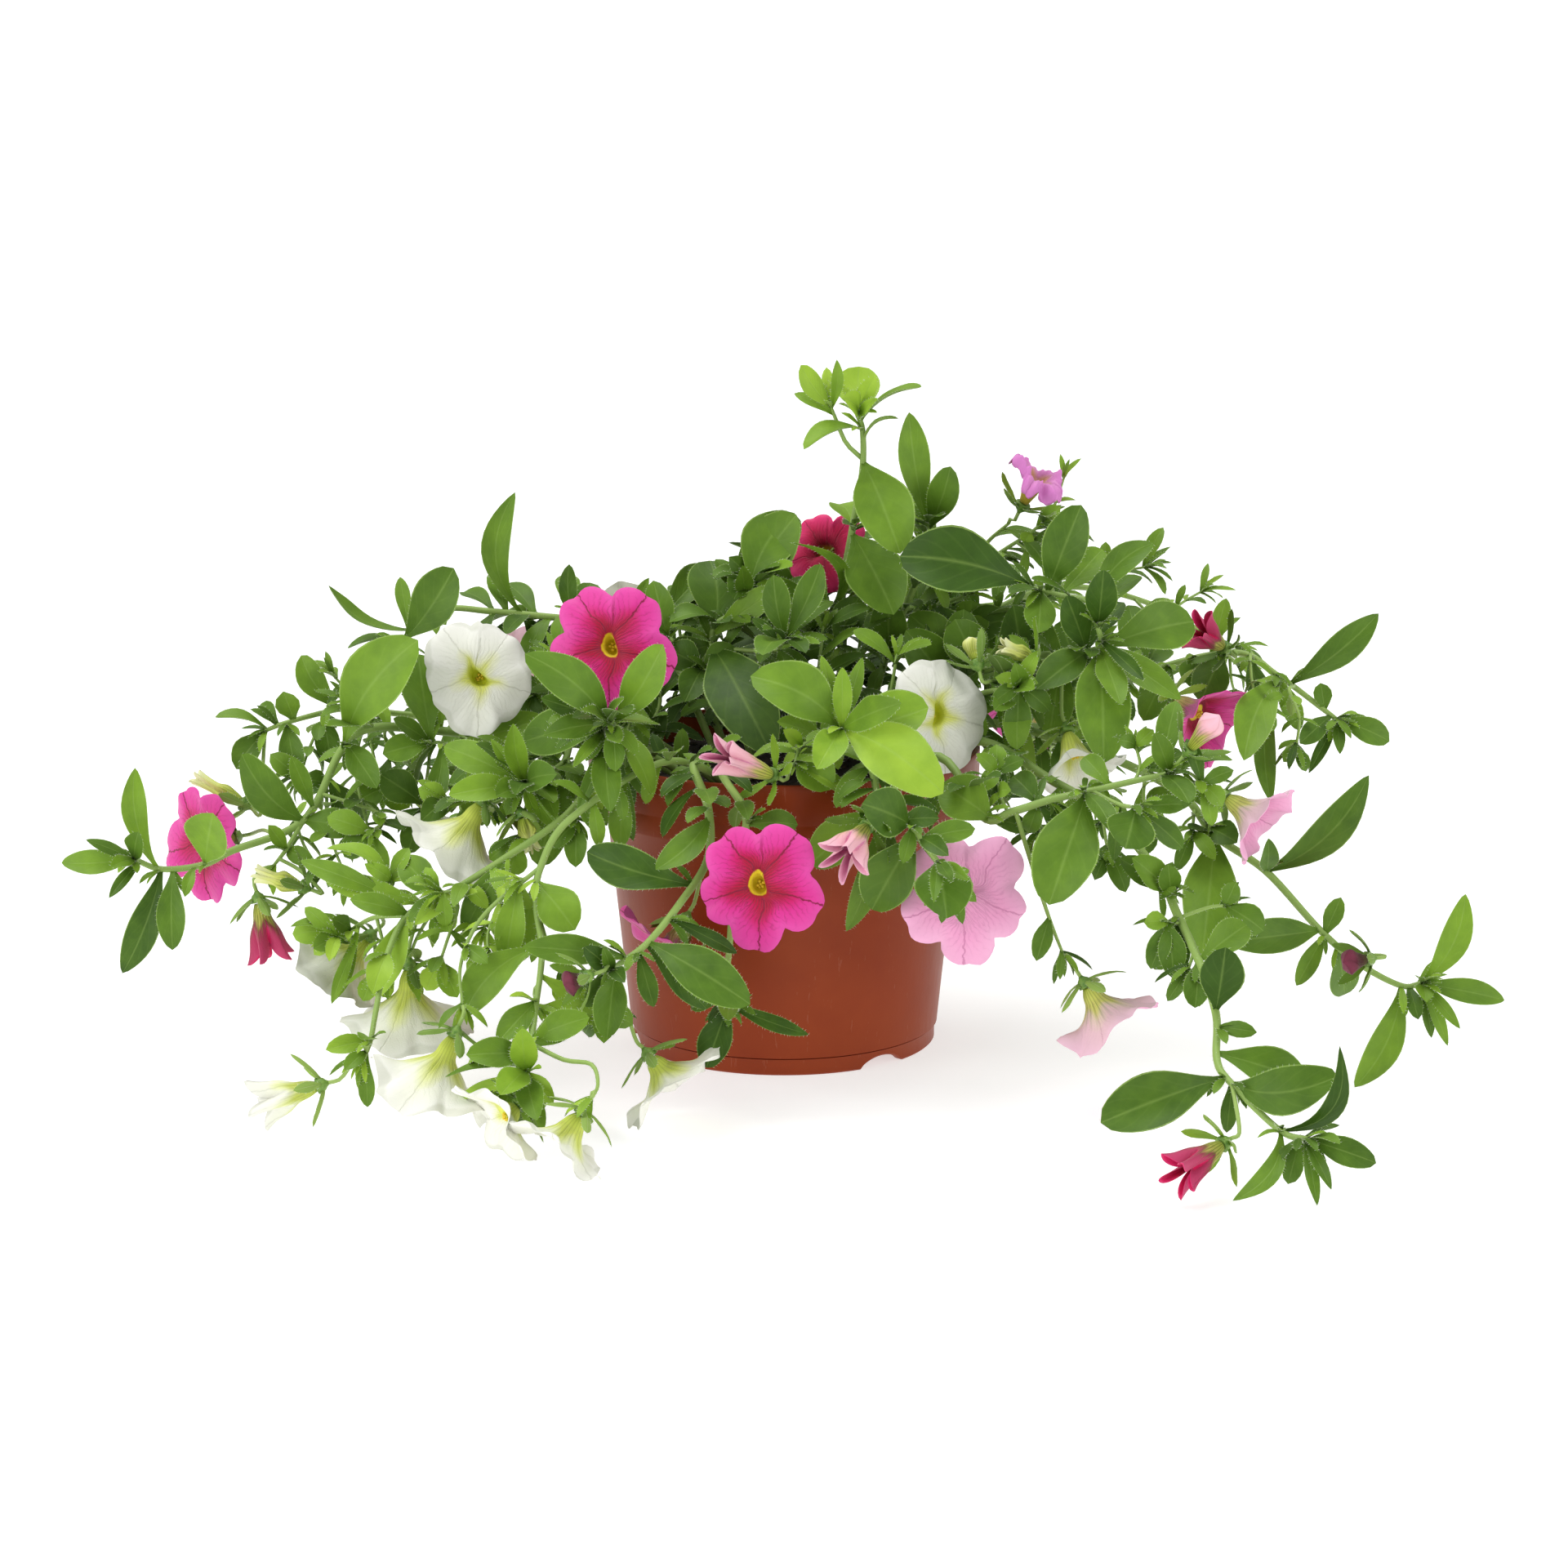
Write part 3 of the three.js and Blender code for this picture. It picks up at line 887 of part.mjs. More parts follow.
function corollaGeometry(flower) {
  const shape = PROFILES[flower.kind];
  const skin = newSkin();
  const single = [0.5];
  const pair = [0, 0.5];
  const edgeShares = [0, LOBE_LEFT, LOBE_RIGHT];
  const ring = (row, shares, notches) =>
    flowerRing(skin, flower, flower.seat, measured(flower, row), shares, notches);
  const join = (low, lowShares, high, highShares, inwards) =>
    joinRings(skin, low, turnShares(lowShares), high, turnShares(highShares), inwards);
  let low = ring(shape.outside[0], single);
  closeRing(skin, low, false);
  for (const row of shape.outside.slice(1, 3)) {
    const next = ring(row, single);
    join(low, single, next, single, false);
    low = next;
  }
  if (flower.kind === "bud") {
    const tip = aroundAxis(flower, flower.seat, 0, 0, flower.length);
    closeOnPoint(skin, low, put(skin, tip));
    return skinGeometry(skin);
  }
  const edge = ring(shape.edge, edgeShares, true);
  const limb = ring(shape.outside[3], pair);
  join(low, single, limb, pair, false);
  join(limb, pair, edge, edgeShares, false);
  const throat = ring(shape.inside[0], single);
  const upper = ring(shape.inside[1], pair);
  join(upper, pair, edge, edgeShares, true);
  join(throat, single, upper, pair, true);
  const pit = put(skin, aroundAxis(flower, flower.seat, 0, 0, measured(flower, shape.pit)[1]));
  closeOnPoint(skin, throat, pit);
  return skinGeometry(skin);
}

function pedicelRoute(flower, start) {
  const back = along(flower.calyx, flower.axis, -4);
  const middle = times(plus(start, back), 0.5);
  return [start, plus(middle, [0, 0, 1.5]), back, along(flower.calyx, flower.axis, -0.5)];
}

function sepalTip(flower, k) {
  const spread = PROFILES[flower.kind].sepalSpread;
  const reach = SEPAL_LENGTH * Math.sin(spread);
  const height = CUP_LENGTH / 2 + SEPAL_LENGTH * Math.cos(spread);
  return aroundAxis(flower, flower.calyx, 2 + reach, ringAngle(k + 1, LOBES), height);
}

// Grows the cup on the end of a flower stalk: five sepals stand out from its side, and its top is the seat.
function growCalyx(skin, stalk, flower) {
  const waist = flowerRing(skin, flower, flower.calyx, [1.9, 1.1], [0.5]);
  const rim = flowerRing(skin, flower, flower.calyx, [2.3, CUP_LENGTH], [0.5]);
  joinRings(skin, stalk, evenShares(stalk.length), waist, evenShares(LOBES, 0.5));
  for (let k = 0; k < LOBES; k++) {
    const next = (k + 1) % LOBES;
    closeOnPoint(skin, [waist[k], waist[next], rim[next], rim[k]], put(skin, sepalTip(flower, k)));
  }
  closeRing(skin, rim, true);
}

// --------------------------------------------------------------------------------------------- placement
// Points of everything placed so far, in a grid of cells, for finding what a new blade would touch.
const CELL = 5;
const cells = new Map();

function mark(p, owner, room, only) {
  const key = p.map((c) => Math.floor(c / CELL)).join();
  if (!cells.has(key)) cells.set(key, []);
  cells.get(key).push([p, owner, room, only]);
}

// True if a point is at least its room from every point of other pieces. Points kept free only for filling
// leaves count for those alone.
function isFree(p, owner, ownRoom, otherRoom, filling) {
  const [x, y, z] = p.map((c) => Math.floor(c / CELL));
  for (let i = x - 1; i <= x + 1; i++) {
    for (let j = y - 1; j <= y + 1; j++) {
      for (let k = z - 1; k <= z + 1; k++) {
        for (const [q, holder, extra, only] of cells.get(`${i},${j},${k}`) ?? []) {
          if (only && !filling) continue;
          const room = (holder === owner ? ownRoom : otherRoom) + (holder === owner ? 0 : extra);
          if (size(minus(p, q)) < room) return false;
        }
      }
    }
  }
  return true;
}

// Room to the pot, the soil and the surface that the pot stands on.
function clearOfPot(p) {
  const r = Math.hypot(p[0], p[1]);
  if (p[2] < 1) return false;
  if (p[2] > POT_HEIGHT + 2) return true;
  if (r < RIM_RADIUS - WALL - 2) return p[2] > SOIL_TOP + SOIL_DOME + 2;
  return r > potRadius(p[2]) + 2;
}

function bladeSamples(blade) {
  const samples = [];
  const steps = Math.ceil(blade.length / SAMPLE_STEP);
  for (let k = 1; k <= steps; k++) {
    const s = k / steps;
    const half = halfWidth(blade, Math.min(s, 0.97));
    const sides = half > SAMPLE_STEP * 1.3 ? [-1, -0.5, 0, 0.5, 1] : [-1, 0, 1];
    for (const side of sides) samples.push([s, onBlade(blade, Math.min(s, 0.99), side)]);
  }
  return samples;
}

function fits(blade, owner, room, filling) {
  return bladeSamples(blade).every(([s, p]) => {
    if (!clearOfPot(p)) return false;
    const ownRoom = s > 0.55 ? OWN_ROOM : 0;
    return isFree(p, owner, ownRoom, s > 0.2 ? room : room * 0.6, filling);
  });
}

function settle(blade, owner) {
  for (const [s, p] of bladeSamples(blade)) if (s > 0.15) mark(p, owner, 0, false);
}

function markLine(points, radius, owner) {
  const steps = Math.ceil(curveLength(points) / SAMPLE_STEP);
  for (let k = 0; k <= steps; k++) mark(onCurve(points, k / steps), owner, radius - 0.9, false);
}

// Marks a corolla's wall, and the free space that an open mouth looks into.
function markCorolla(flower) {
  const shape = PROFILES[flower.kind];
  const rows = [...shape.outside, shape.edge].map((row) => measured(flower, row));
  for (let k = 0; k + 1 < rows.length; k++) {
    const [r0, z0] = rows[k];
    const [r1, z1] = rows[k + 1];
    const steps = Math.ceil(Math.hypot(r1 - r0, z1 - z0) / SAMPLE_STEP);
    for (let j = 0; j <= steps; j++) {
      const r = r0 + ((r1 - r0) * j) / steps;
      const z = z0 + ((z1 - z0) * j) / steps;
      const turns = Math.max(3, Math.ceil((2 * Math.PI * r) / SAMPLE_STEP));
      for (let a = 0; a < turns; a++) {
        mark(aroundAxis(flower, flower.seat, r, (2 * Math.PI * a) / turns, z), flower.name, 0, false);
      }
    }
  }
  if (flower.kind !== "open" && flower.kind !== "trumpet") return;
  for (const ahead of [6, 11, 16, 21]) {
    for (const share of [0, 0.35, 0.7]) {
      for (let a = 0; a < 8; a++) {
        const p = aroundAxis(flower, flower.seat, share * flower.radius, (Math.PI * a) / 4, flower.length + ahead);
        mark(p, "open air", 1.5, true);
      }
    }
  }
}

// What grows from each stem or side shoot, by name and number.
const grown = new Map(STEMS.map((stem) => [stem, []]));
const dropped = [];

for (const stem of STEMS) markLine(stem.route, stem.radius, stem.name);

function addBlade(stem, place, blade) {
  const { ahead, up, across } = blade;
  const root = isBroad(blade) ? BROAD_ROOT : PLAIN_ROOT;
  const grow = (skin, ring) => growBlade(skin, ring, blade);
  grown.get(stem).push({ place, from: blade.root, ahead, up, across, root, grow });
}

const flowers = FLOWERS.map(makeFlower);
for (const flower of flowers) {
  const carrier = STEMS.find((stem) => stem.name === flower.stem && stem.shoot === flower.shoot);
  const start = onCurve(carrier.route, flower.place);
  const route = pedicelRoute(flower, start);
  const ahead = unit(minus(onCurve(route, 0.2), start));
  const up = square(flower.side, ahead);
  const grow = (skin, ring) => {
    const stalk = growTube(skin, ring, route, PEDICEL_RADIUS, PEDICEL_SIDES, [], up);
    growCalyx(skin, stalk, flower);
  };
  const root = tubeCorners(PEDICEL_SIDES);
  grown.get(carrier).push({ place: flower.place, from: start, ahead, up, across: cross(ahead, up), root, grow });
  markLine(route, PEDICEL_RADIUS, flower.stem);
  for (let k = 0; k < LOBES; k++) {
    for (const share of [0.3, 0.55, 0.8, 1]) {
      mark(plus(times(flower.calyx, 1 - share), times(sepalTip(flower, k), share)), flower.stem, 0, false);
    }
  }
  markCorolla(flower);
}

// Leaves with a settled tip. Where one would touch a neighbour, its tip swings up or down a little.
const SWINGS = [0, 5, -5, 9, -9, 13, -13, 17, -17, 21];
for (const stem of STEMS) {
  for (const [place, x, y, z, width, face, arch, sway] of stem.leaves) {
    const start = onCurve(stem.route, place);
    const first = makeBlade(start, [x, y, z], width, FACES[face], arch, sway);
    const trials = SWINGS.map((swing) =>
      makeBlade(start, along([x, y, z], first.up, swing), width, FACES[face], arch, sway),
    );
    const blade = trials.find((trial) => fits(trial, stem.name, NODE_ROOM, false));
    if (!blade) {
      dropped.push([stem.name, place, x, y, z]);
      continue;
    }
    settle(blade, stem.name);
    addBlade(stem, place, blade);
  }
}

// Leaves that fill the crown and the back, in pairs along each stem.
const random = seeded(41);
let fillCount = 0;
for (const stem of STEMS) {
  const length = curveLength(stem.route);
  const pairs = Math.floor(length / FILL_SPACING);
  for (let k = 0; k < pairs * 2; k++) {
    const place = (Math.floor(k / 2) + 0.8) / pairs;
    const turn = random() * 2 * Math.PI;
    const reach = 15 + 10 * random();
    const width = reach * (0.34 + 0.12 * random());
    const start = onCurve(stem.route, Math.min(place, 1));
    const ahead = unit(minus(start, onCurve(stem.route, Math.min(place, 1) - 0.03)));
    const inCrown = start[2] > 92 && start[2] < 128 && Math.abs(start[0]) < 120;
    if (!inCrown && start[1] < 30) continue;
    const side = square([0.31, 0.2, 0.93], ahead);
    const other = cross(ahead, side);
    for (let trial = 0; trial < 7; trial++) {
      const angle = turn + Math.PI * (k % 2) + trial * 0.9;
      let aim = along(times(ahead, 0.4), side, Math.cos(angle));
      aim = unit(along(aim, other, Math.sin(angle)));
      const tip = along(start, aim, reach);
      const face = unit([0.5 * aim[0], 0.5 * aim[1] - 0.2, 1]);
      if (Math.abs(dot(aim, face)) > 0.93 || tip[2] > 140 || (tip[2] > 128 && tip[1] > 70)) continue;
      const blade = makeBlade(start, tip, width, face, 2, 0);
      if (!fits(blade, stem.name, FILL_ROOM, true)) continue;
      settle(blade, stem.name);
      addBlade(stem, Math.min(place, 1), blade);
      fillCount += 1;
      break;
    }
  }
}

// --------------------------------------------------------------------------------------------- the plant
function stemGeometry(name) {
  const skin = newSkin();
  const routes = STEMS.filter((stem) => stem.name === name);
  const bind = (stem) => grown.get(stem).map((one) => ({ ...one, grow: (ring) => one.grow(skin, ring) }));
  const [main, ...shoots] = routes;
  const sprouts = bind(main);
  for (const shoot of shoots) {
    const place = nearestPlace(main.route, shoot.route[0]);
    const ahead = unit(minus(onCurve(shoot.route, 0.15), shoot.route[0]));
    const up = square([0.31, 0.2, 0.93], ahead);
    const grow = (ring) => {
      const end = growTube(skin, ring, shoot.route, shoot.radius, SHOOT_SIDES, bind(shoot), up);
      closeRing(skin, end, true);
    };
    const root = tubeCorners(SHOOT_SIDES);
    sprouts.push({ place, from: shoot.route[0], ahead, up, across: cross(ahead, up), root, grow });
  }
  const end = growTube(skin, null, main.route, main.radius, STEM_SIDES, sprouts, [0, 1, 0.01]);
  closeRing(skin, end, true);
  return skinGeometry(skin);
}

const plant = new THREE.Group();

function addNode(name, geometry, color, roughness) {
  geometry.computeVertexNormals();
  const mesh = new THREE.Mesh(geometry, new THREE.MeshStandardMaterial({ color, roughness, metalness: 0 }));
  mesh.name = name;
  plant.add(mesh);
}

addNode("pot", geometryOf(makePot()), 0x873723, 0.5);
addNode("soil", geometryOf(makeSoil()), 0x2a211b, 0.95);
for (const stem of STEMS) if (stem.shoot === 0) addNode(stem.name, stemGeometry(stem.name), LEAF_GREEN, 0.55);
for (const flower of flowers) addNode(flower.name, corollaGeometry(flower), HUES[flower.hue], 0.5);

// The origin lies under the middle of the plant's own box.
const box = new THREE.Box3().setFromObject(plant);
plant.position.set(-(box.min.x + box.max.x) / 2, -(box.min.y + box.max.y) / 2, -box.min.z);

export default plant;
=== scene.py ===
# A trailing calibrachoa in a plastic pot: the finished surfaces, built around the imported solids.
import math

import bmesh
import bpy
import numpy as np
from mathutils.geometry import tessellate_polygon
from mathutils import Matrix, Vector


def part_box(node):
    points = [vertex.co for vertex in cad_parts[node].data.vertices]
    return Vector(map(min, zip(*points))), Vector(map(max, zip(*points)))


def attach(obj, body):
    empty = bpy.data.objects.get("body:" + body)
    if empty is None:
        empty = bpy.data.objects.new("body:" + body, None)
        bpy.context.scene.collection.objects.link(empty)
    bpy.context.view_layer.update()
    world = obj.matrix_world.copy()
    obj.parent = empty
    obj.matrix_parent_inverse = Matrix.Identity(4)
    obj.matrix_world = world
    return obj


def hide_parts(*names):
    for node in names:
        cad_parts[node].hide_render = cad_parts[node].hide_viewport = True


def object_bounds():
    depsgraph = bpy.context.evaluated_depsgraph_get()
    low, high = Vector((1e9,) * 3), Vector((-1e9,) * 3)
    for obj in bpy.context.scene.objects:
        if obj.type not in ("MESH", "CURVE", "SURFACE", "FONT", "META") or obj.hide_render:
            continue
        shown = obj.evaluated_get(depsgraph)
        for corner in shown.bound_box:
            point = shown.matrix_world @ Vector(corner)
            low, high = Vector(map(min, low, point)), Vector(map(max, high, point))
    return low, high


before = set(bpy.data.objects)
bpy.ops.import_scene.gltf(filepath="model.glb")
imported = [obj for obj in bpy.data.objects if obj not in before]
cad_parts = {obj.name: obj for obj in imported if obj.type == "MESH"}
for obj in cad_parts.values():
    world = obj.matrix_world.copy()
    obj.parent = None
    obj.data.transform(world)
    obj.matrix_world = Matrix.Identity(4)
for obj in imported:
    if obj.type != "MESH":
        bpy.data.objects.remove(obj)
solid_box = [list(corner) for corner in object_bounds()]


# ------------------------------------------------------------------------------------------------- pot
# A round tapered trade pot, injection moulded in one piece from terracotta-coloured polypropylene: a rolled
# rim band, a thin wall, a stepped foot ring with three shallow arches and a floor with six drain holes.
# It stands on its foot ring. Sizes are in millimetres from the pot's own axis and from the surface under it.
RIM_RADIUS = 60
POT_HEIGHT = 92
RIM_BAND = 19
NECK_RADIUS = 54.4
BASE_RADIUS = 47.4
FOOT_RADIUS = 46.6
FOOT_HEIGHT = 5
WALL = 1.4
FLOOR_HEIGHT = 4
ARCH_BEARINGS = [40, 160, 280]
ARCH_HALF_WIDTH = 8
ARCH_HEIGHT = 3.2
DRAIN_RADIUS = 4
DRAIN_CIRCLE = 34
DRAIN_COUNT = 6
POT_SEGMENTS = 240
TURN = 2 * math.pi

pot_low, pot_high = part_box("pot")
AXIS_X = (pot_low[0] + pot_high[0]) / 2
AXIS_Y = (pot_low[1] + pot_high[1]) / 2


def metres(p):
    return (AXIS_X + p[0] / 1000, AXIS_Y + p[1] / 1000, p[2] / 1000)


def linear(colour):
    """An sRGB colour such as 0xA0522D as linear red, green, blue and full alpha."""
    parts = [((colour >> shift) & 255) / 255 for shift in (16, 8, 0)]
    return [c / 12.92 if c <= 0.04045 else ((c + 0.055) / 1.055) ** 2.4 for c in parts] + [1.0]


def feed(socket, source):
    """Links a socket to the source, or sets its value."""
    if isinstance(source, bpy.types.NodeSocket):
        socket.id_data.links.new(source, socket)
    else:
        socket.default_value = source


def add(tree, kind, *sources, stops=(), out=0, **settings):
    """Adds a node to a material and gives one of its outputs. Capitals name an operation of a Math node. The
    sources feed its inputs in turn, settings are inputs or properties by name, and stops are the places and
    sRGB colours of a Color Ramp."""
    node = tree.nodes.new("ShaderNodeMath" if kind.isupper() else "ShaderNode" + kind)
    if kind.isupper():
        node.operation = kind
    for name, value in settings.items():
        if name in node.inputs:
            feed(node.inputs[name], value)
        else:
            setattr(node, name, value)
    for place, _ in stops[2:]:
        node.color_ramp.elements.new(place)
    if stops:
        in_order = sorted(node.color_ramp.elements, key=lambda element: element.position)
        for element, (position, colour) in zip(in_order, stops):
            element.position = position
            element.color = linear(colour)
    for socket, source in zip([socket for socket in node.inputs if socket.enabled], sources):
        feed(socket, source)
    return [socket for socket in node.outputs if socket.enabled][out]


def new_material(name):
    """A material, its nodes, and its place on the object in metres."""
    material = bpy.data.materials.new(name)
    material.use_nodes = True
    tree = material.node_tree
    return material, tree, add(tree, "TexCoord", out=3)


def finish_with(tree, **inputs):
    """Feeds inputs of the material's shader, named with _ for a space."""
    for name, source in inputs.items():
        feed(tree.nodes["Principled BSDF"].inputs[name.replace("_", " ")], source)


class Piece:
    """The points and faces of one piece while it is made, in millimetres, with what its materials need."""

    def __init__(self):
        self.points, self.faces, self.slots = [], [], []
        self.uv, self.tone, self.sharp = [], [], []

    def put(self, p, u=0.0, v=0.0, tone=0.0, sharp=False):
        self.points.append(p)
        self.uv.append((u, v))
        self.tone.append(tone)
        self.sharp.append(sharp)
        return len(self.points) - 1

    def add_face(self, corners, slot=0):
        self.faces.append(tuple(corners))
        self.slots.append(slot)

    def join(self, low, high, slots=0):
        """Faces between two rings of points, or from a ring to a tip. slots is one for all or one each."""
        for k in range(len(low)):
            n = (k + 1) % len(low)
            ends = (high,) if isinstance(high, int) else (high[n], high[k])
            self.add_face((low[k], low[n], *ends), slots[k] if isinstance(slots, list) else slots)

    def close(self, rings, end, slots=0):
        """A closed skin from ring to ring, up to an end: a tip, or a ring that gets a face of its own."""
        self.add_face(reversed(rings[0]), slots[0] if isinstance(slots, list) else slots)
        for low, high in zip(rings, rings[1:]):
            self.join(low, high, slots)
        if isinstance(end, int):
            self.join(rings[-1], end, slots)
        else:
            self.add_face(end, slots)

    def finish(self, name, materials, node=None, crease=None):
        """Makes the smooth-shaded piece. Edges between sharp points, or past the crease angle, stay sharp."""
        mesh = bpy.data.meshes.new(name)
        mesh.from_pydata([metres(p) for p in self.points], [], self.faces)
        for material in materials:
            mesh.materials.append(material)
        mesh.polygons.foreach_set("use_smooth", [True] * len(self.faces))
        mesh.polygons.foreach_set("material_index", self.slots)
        if any(u or v for u, v in self.uv):
            corners = np.empty(len(mesh.loops), dtype=np.int32)
            mesh.loops.foreach_get("vertex_index", corners)
            layer = mesh.uv_layers.new(name="surface")
            layer.data.foreach_set("uv", np.array(self.uv, dtype=np.float32)[corners].ravel())
        if any(self.tone):
            mesh.attributes.new("tone", "FLOAT", "POINT").data.foreach_set("value", self.tone)
        if any(self.sharp):
            ends = np.empty(len(mesh.edges) * 2, dtype=np.int32)
            mesh.edges.foreach_get("vertices", ends)
            marked = np.array(self.sharp, dtype=bool)[ends.reshape(-1, 2)].all(axis=1)
            mesh.attributes.new("sharp_edge", "BOOLEAN", "EDGE").data.foreach_set("value", marked)
        mesh.update()
        if crease:
            mesh.set_sharp_from_angle(angle=math.radians(crease))
        piece = bpy.data.objects.new(name, mesh)
        bpy.context.scene.collection.objects.link(piece)
        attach(piece, "root")
        if node:
            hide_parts(node)


def foot_height(turn, height):
    """Where an arch is, the foot's lowest points are raised."""
    for bearing in ARCH_BEARINGS:
        away = (turn - math.radians(bearing - 90) + math.pi) % TURN - math.pi
        reach = abs(away) * FOOT_RADIUS / ARCH_HALF_WIDTH
        if height < 1 and reach < 1:
            return height + ARCH_HEIGHT * math.cos(reach * math.pi / 2) ** 0.6
    return height


# The closed profile turned round the axis: the outside with a groove above the foot, the rim band with its
# bead, and the inside down to the floor. The last two rows are the foot's inside, under the floor.
neck = POT_HEIGHT - RIM_BAND
inner_foot = FOOT_RADIUS - 2 * WALL
profile = [(inner_foot + 0.5, 0), (FOOT_RADIUS - 0.5, 0), (FOOT_RADIUS, 0.5),
           (FOOT_RADIUS, FOOT_HEIGHT - 0.3), (FOOT_RADIUS + 0.2, FOOT_HEIGHT),
           (BASE_RADIUS - 1.1, FOOT_HEIGHT + 0.1),
           (BASE_RADIUS - 1.1, FOOT_HEIGHT + 0.4), (BASE_RADIUS, FOOT_HEIGHT + 0.5)]
profile += [(BASE_RADIUS + (NECK_RADIUS - BASE_RADIUS) * share,
             FOOT_HEIGHT + 1 + (neck - FOOT_HEIGHT - 2) * share) for share in (k / 6 for k in range(1, 7))]
profile += [(NECK_RADIUS + out, neck + up) for out, up in ((0.3, -0.6), (1.2, -0.2))]
profile += [(RIM_RADIUS - inset, neck + up) for inset, up in (
    (1.6, -0.2), (0.9, 0), (0.65, 0.6), (0.35, 5.6), (0.45, 6.2), (0.45, 6.7), (0.3, 7.1))]
profile += [(RIM_RADIUS - inset, POT_HEIGHT - down) for inset, down in (
    (0.05, 2.2), (0.05, 0.7), (0.25, 0.2), (0.7, 0.02), (WALL - 0.1, 0.1), (WALL + 0.15, 0.6))]
profile += [(RIM_RADIUS - 0.7 - WALL, neck + WALL + 1), (RIM_RADIUS - 1.3 - WALL, neck + WALL),
            (NECK_RADIUS - WALL, neck - 0.6), (BASE_RADIUS - WALL, FLOOR_HEIGHT + WALL + 2),
            (BASE_RADIUS - WALL - 2, FLOOR_HEIGHT + WALL), (inner_foot, FLOOR_HEIGHT), (inner_foot, 0.5)]
pot = Piece()
turns = [TURN * k / POT_SEGMENTS for k in range(POT_SEGMENTS)]
rings = [[pot.put((radius * math.cos(turn), radius * math.sin(turn), foot_height(turn, height)))
          for turn in turns] for radius, height in profile]
*wall_rings, under_edge, last_ring = rings
for low, high in [*zip(wall_rings, wall_rings[1:]), (under_edge, last_ring), (last_ring, wall_rings[0])]:
    pot.join(low, high)

# The floor's two sides are filled round the same drain holes.
holes = []
for height, edge, upward in ((FLOOR_HEIGHT + WALL, wall_rings[-1], True), (FLOOR_HEIGHT, under_edge, False)):
    holes.append([])
    for middle in (TURN * k / DRAIN_COUNT for k in range(DRAIN_COUNT)):
        holes[-1].append([pot.put((DRAIN_CIRCLE * math.cos(middle) + DRAIN_RADIUS * math.cos(TURN * j / 24),
                                   DRAIN_CIRCLE * math.sin(middle) + DRAIN_RADIUS * math.sin(TURN * j / 24),
                                   height)) for j in range(24)])
    loops = [edge] + holes[-1]
    numbers = [i for loop in loops for i in loop]
    for corners in tessellate_polygon([[(*pot.points[i][:2], 0.0) for i in loop] for loop in loops]):
        face = [numbers[i] for i in corners]
        p, q, r = (pot.points[i] for i in face)
        area = (q[0] - p[0]) * (r[1] - p[1]) - (q[1] - p[1]) * (r[0] - p[0])
        pot.add_face(face if (area > 0) == upward else reversed(face))
for high, low in zip(*holes):
    pot.join(high, low)

# Polypropylene, moulded: smooth and satin, with fine rubs down the wall and a faint orange-peel, which is
# drawn 0.9 mm wide, coarser than it is, so that it shows.
pot_plastic, tree, place = new_material("terracotta_polypropylene")
stretched = add(tree, "Mapping", place, Scale=(1, 1, 0.12))
rubs = add(tree, "TexNoise", stretched, Scale=1000 / 1.6, Detail=4, Roughness=0.7)
cloud = add(tree, "TexNoise", place, Scale=1000 / 28, Detail=4, Roughness=0.55)
peel = add(tree, "TexNoise", place, Scale=1000 / 0.9, Detail=2, Roughness=0.55)
body = add(tree, "ValToRGB", cloud, stops=[(0.3, 0x8A3412), (0.7, 0x963D16)])
rubbed = add(tree, "MULTIPLY", add(tree, "GREATER_THAN", rubs, 0.66), 0.16)
grain = add(tree, "MULTIPLY_ADD", rubs, 0.6, peel)
finish_with(tree, Base_Color=add(tree, "Mix", rubbed, body, linear(0xC07B66), data_type="RGBA"),
            Roughness=add(tree, "MULTIPLY_ADD", rubs, 0.22, 0.3), IOR=1.49, Specular_IOR_Level=0.2,
            Normal=add(tree, "Bump", Height=grain, Strength=0.35, Distance=0.05 / 1000))
pot.finish("pot_moulding", [pot_plastic], "pot", crease=40)

# ------------------------------------------------------------------------------------------------- soil
# Dark peat potting soil that fills the pot to a few millimetres under the rim: a lumpy plug with loose crumbs
# of bark and peat pressed into its top, and dry, pale brown root fibres where it meets the rim on the left.
SOIL_TOP = 84
SOIL_DOME = 1.5
SEAT_GAP = 0.3
CRUMB_COUNT = 420
WISP_COUNT = 34


def seeded(seed):
    """One repeatable series of numbers from 0 to 1."""
    state = seed & 0xFFFFFFFF

    def draw():
        nonlocal state
        state = (state + 0x6D2B79F5) & 0xFFFFFFFF
        t = state
        t = ((t ^ (t >> 15)) * (t | 1)) & 0xFFFFFFFF
        t ^= (t + (((t ^ (t >> 7)) * (t | 61)) & 0xFFFFFFFF)) & 0xFFFFFFFF
        return ((t ^ (t >> 14)) & 0xFFFFFFFF) / 4294967296

    return draw


def soil_surface(x, y):
    """Height of the soil: a low dome with lumps of about 1 mm that fade out at the wall."""
    coarse = math.sin(x * 0.31 + 1.7) * math.sin(y * 0.27 - 0.6) + 0.6 * math.sin(x * 0.63 - y * 0.51)
    fine = math.sin(x * 1.7 + y * 0.9) * math.sin(y * 1.9 - x * 0.7)
    fine += 0.7 * math.sin(x * 2.9 - 1) * math.sin(y * 3.1)
    share = math.hypot(x, y) / (RIM_RADIUS - WALL)
    lumps = (0.35 * coarse + 0.28 * fine) * (1 - share ** 8)
    return SOIL_TOP - 0.9 + SOIL_DOME * (1 - share * share) + lumps


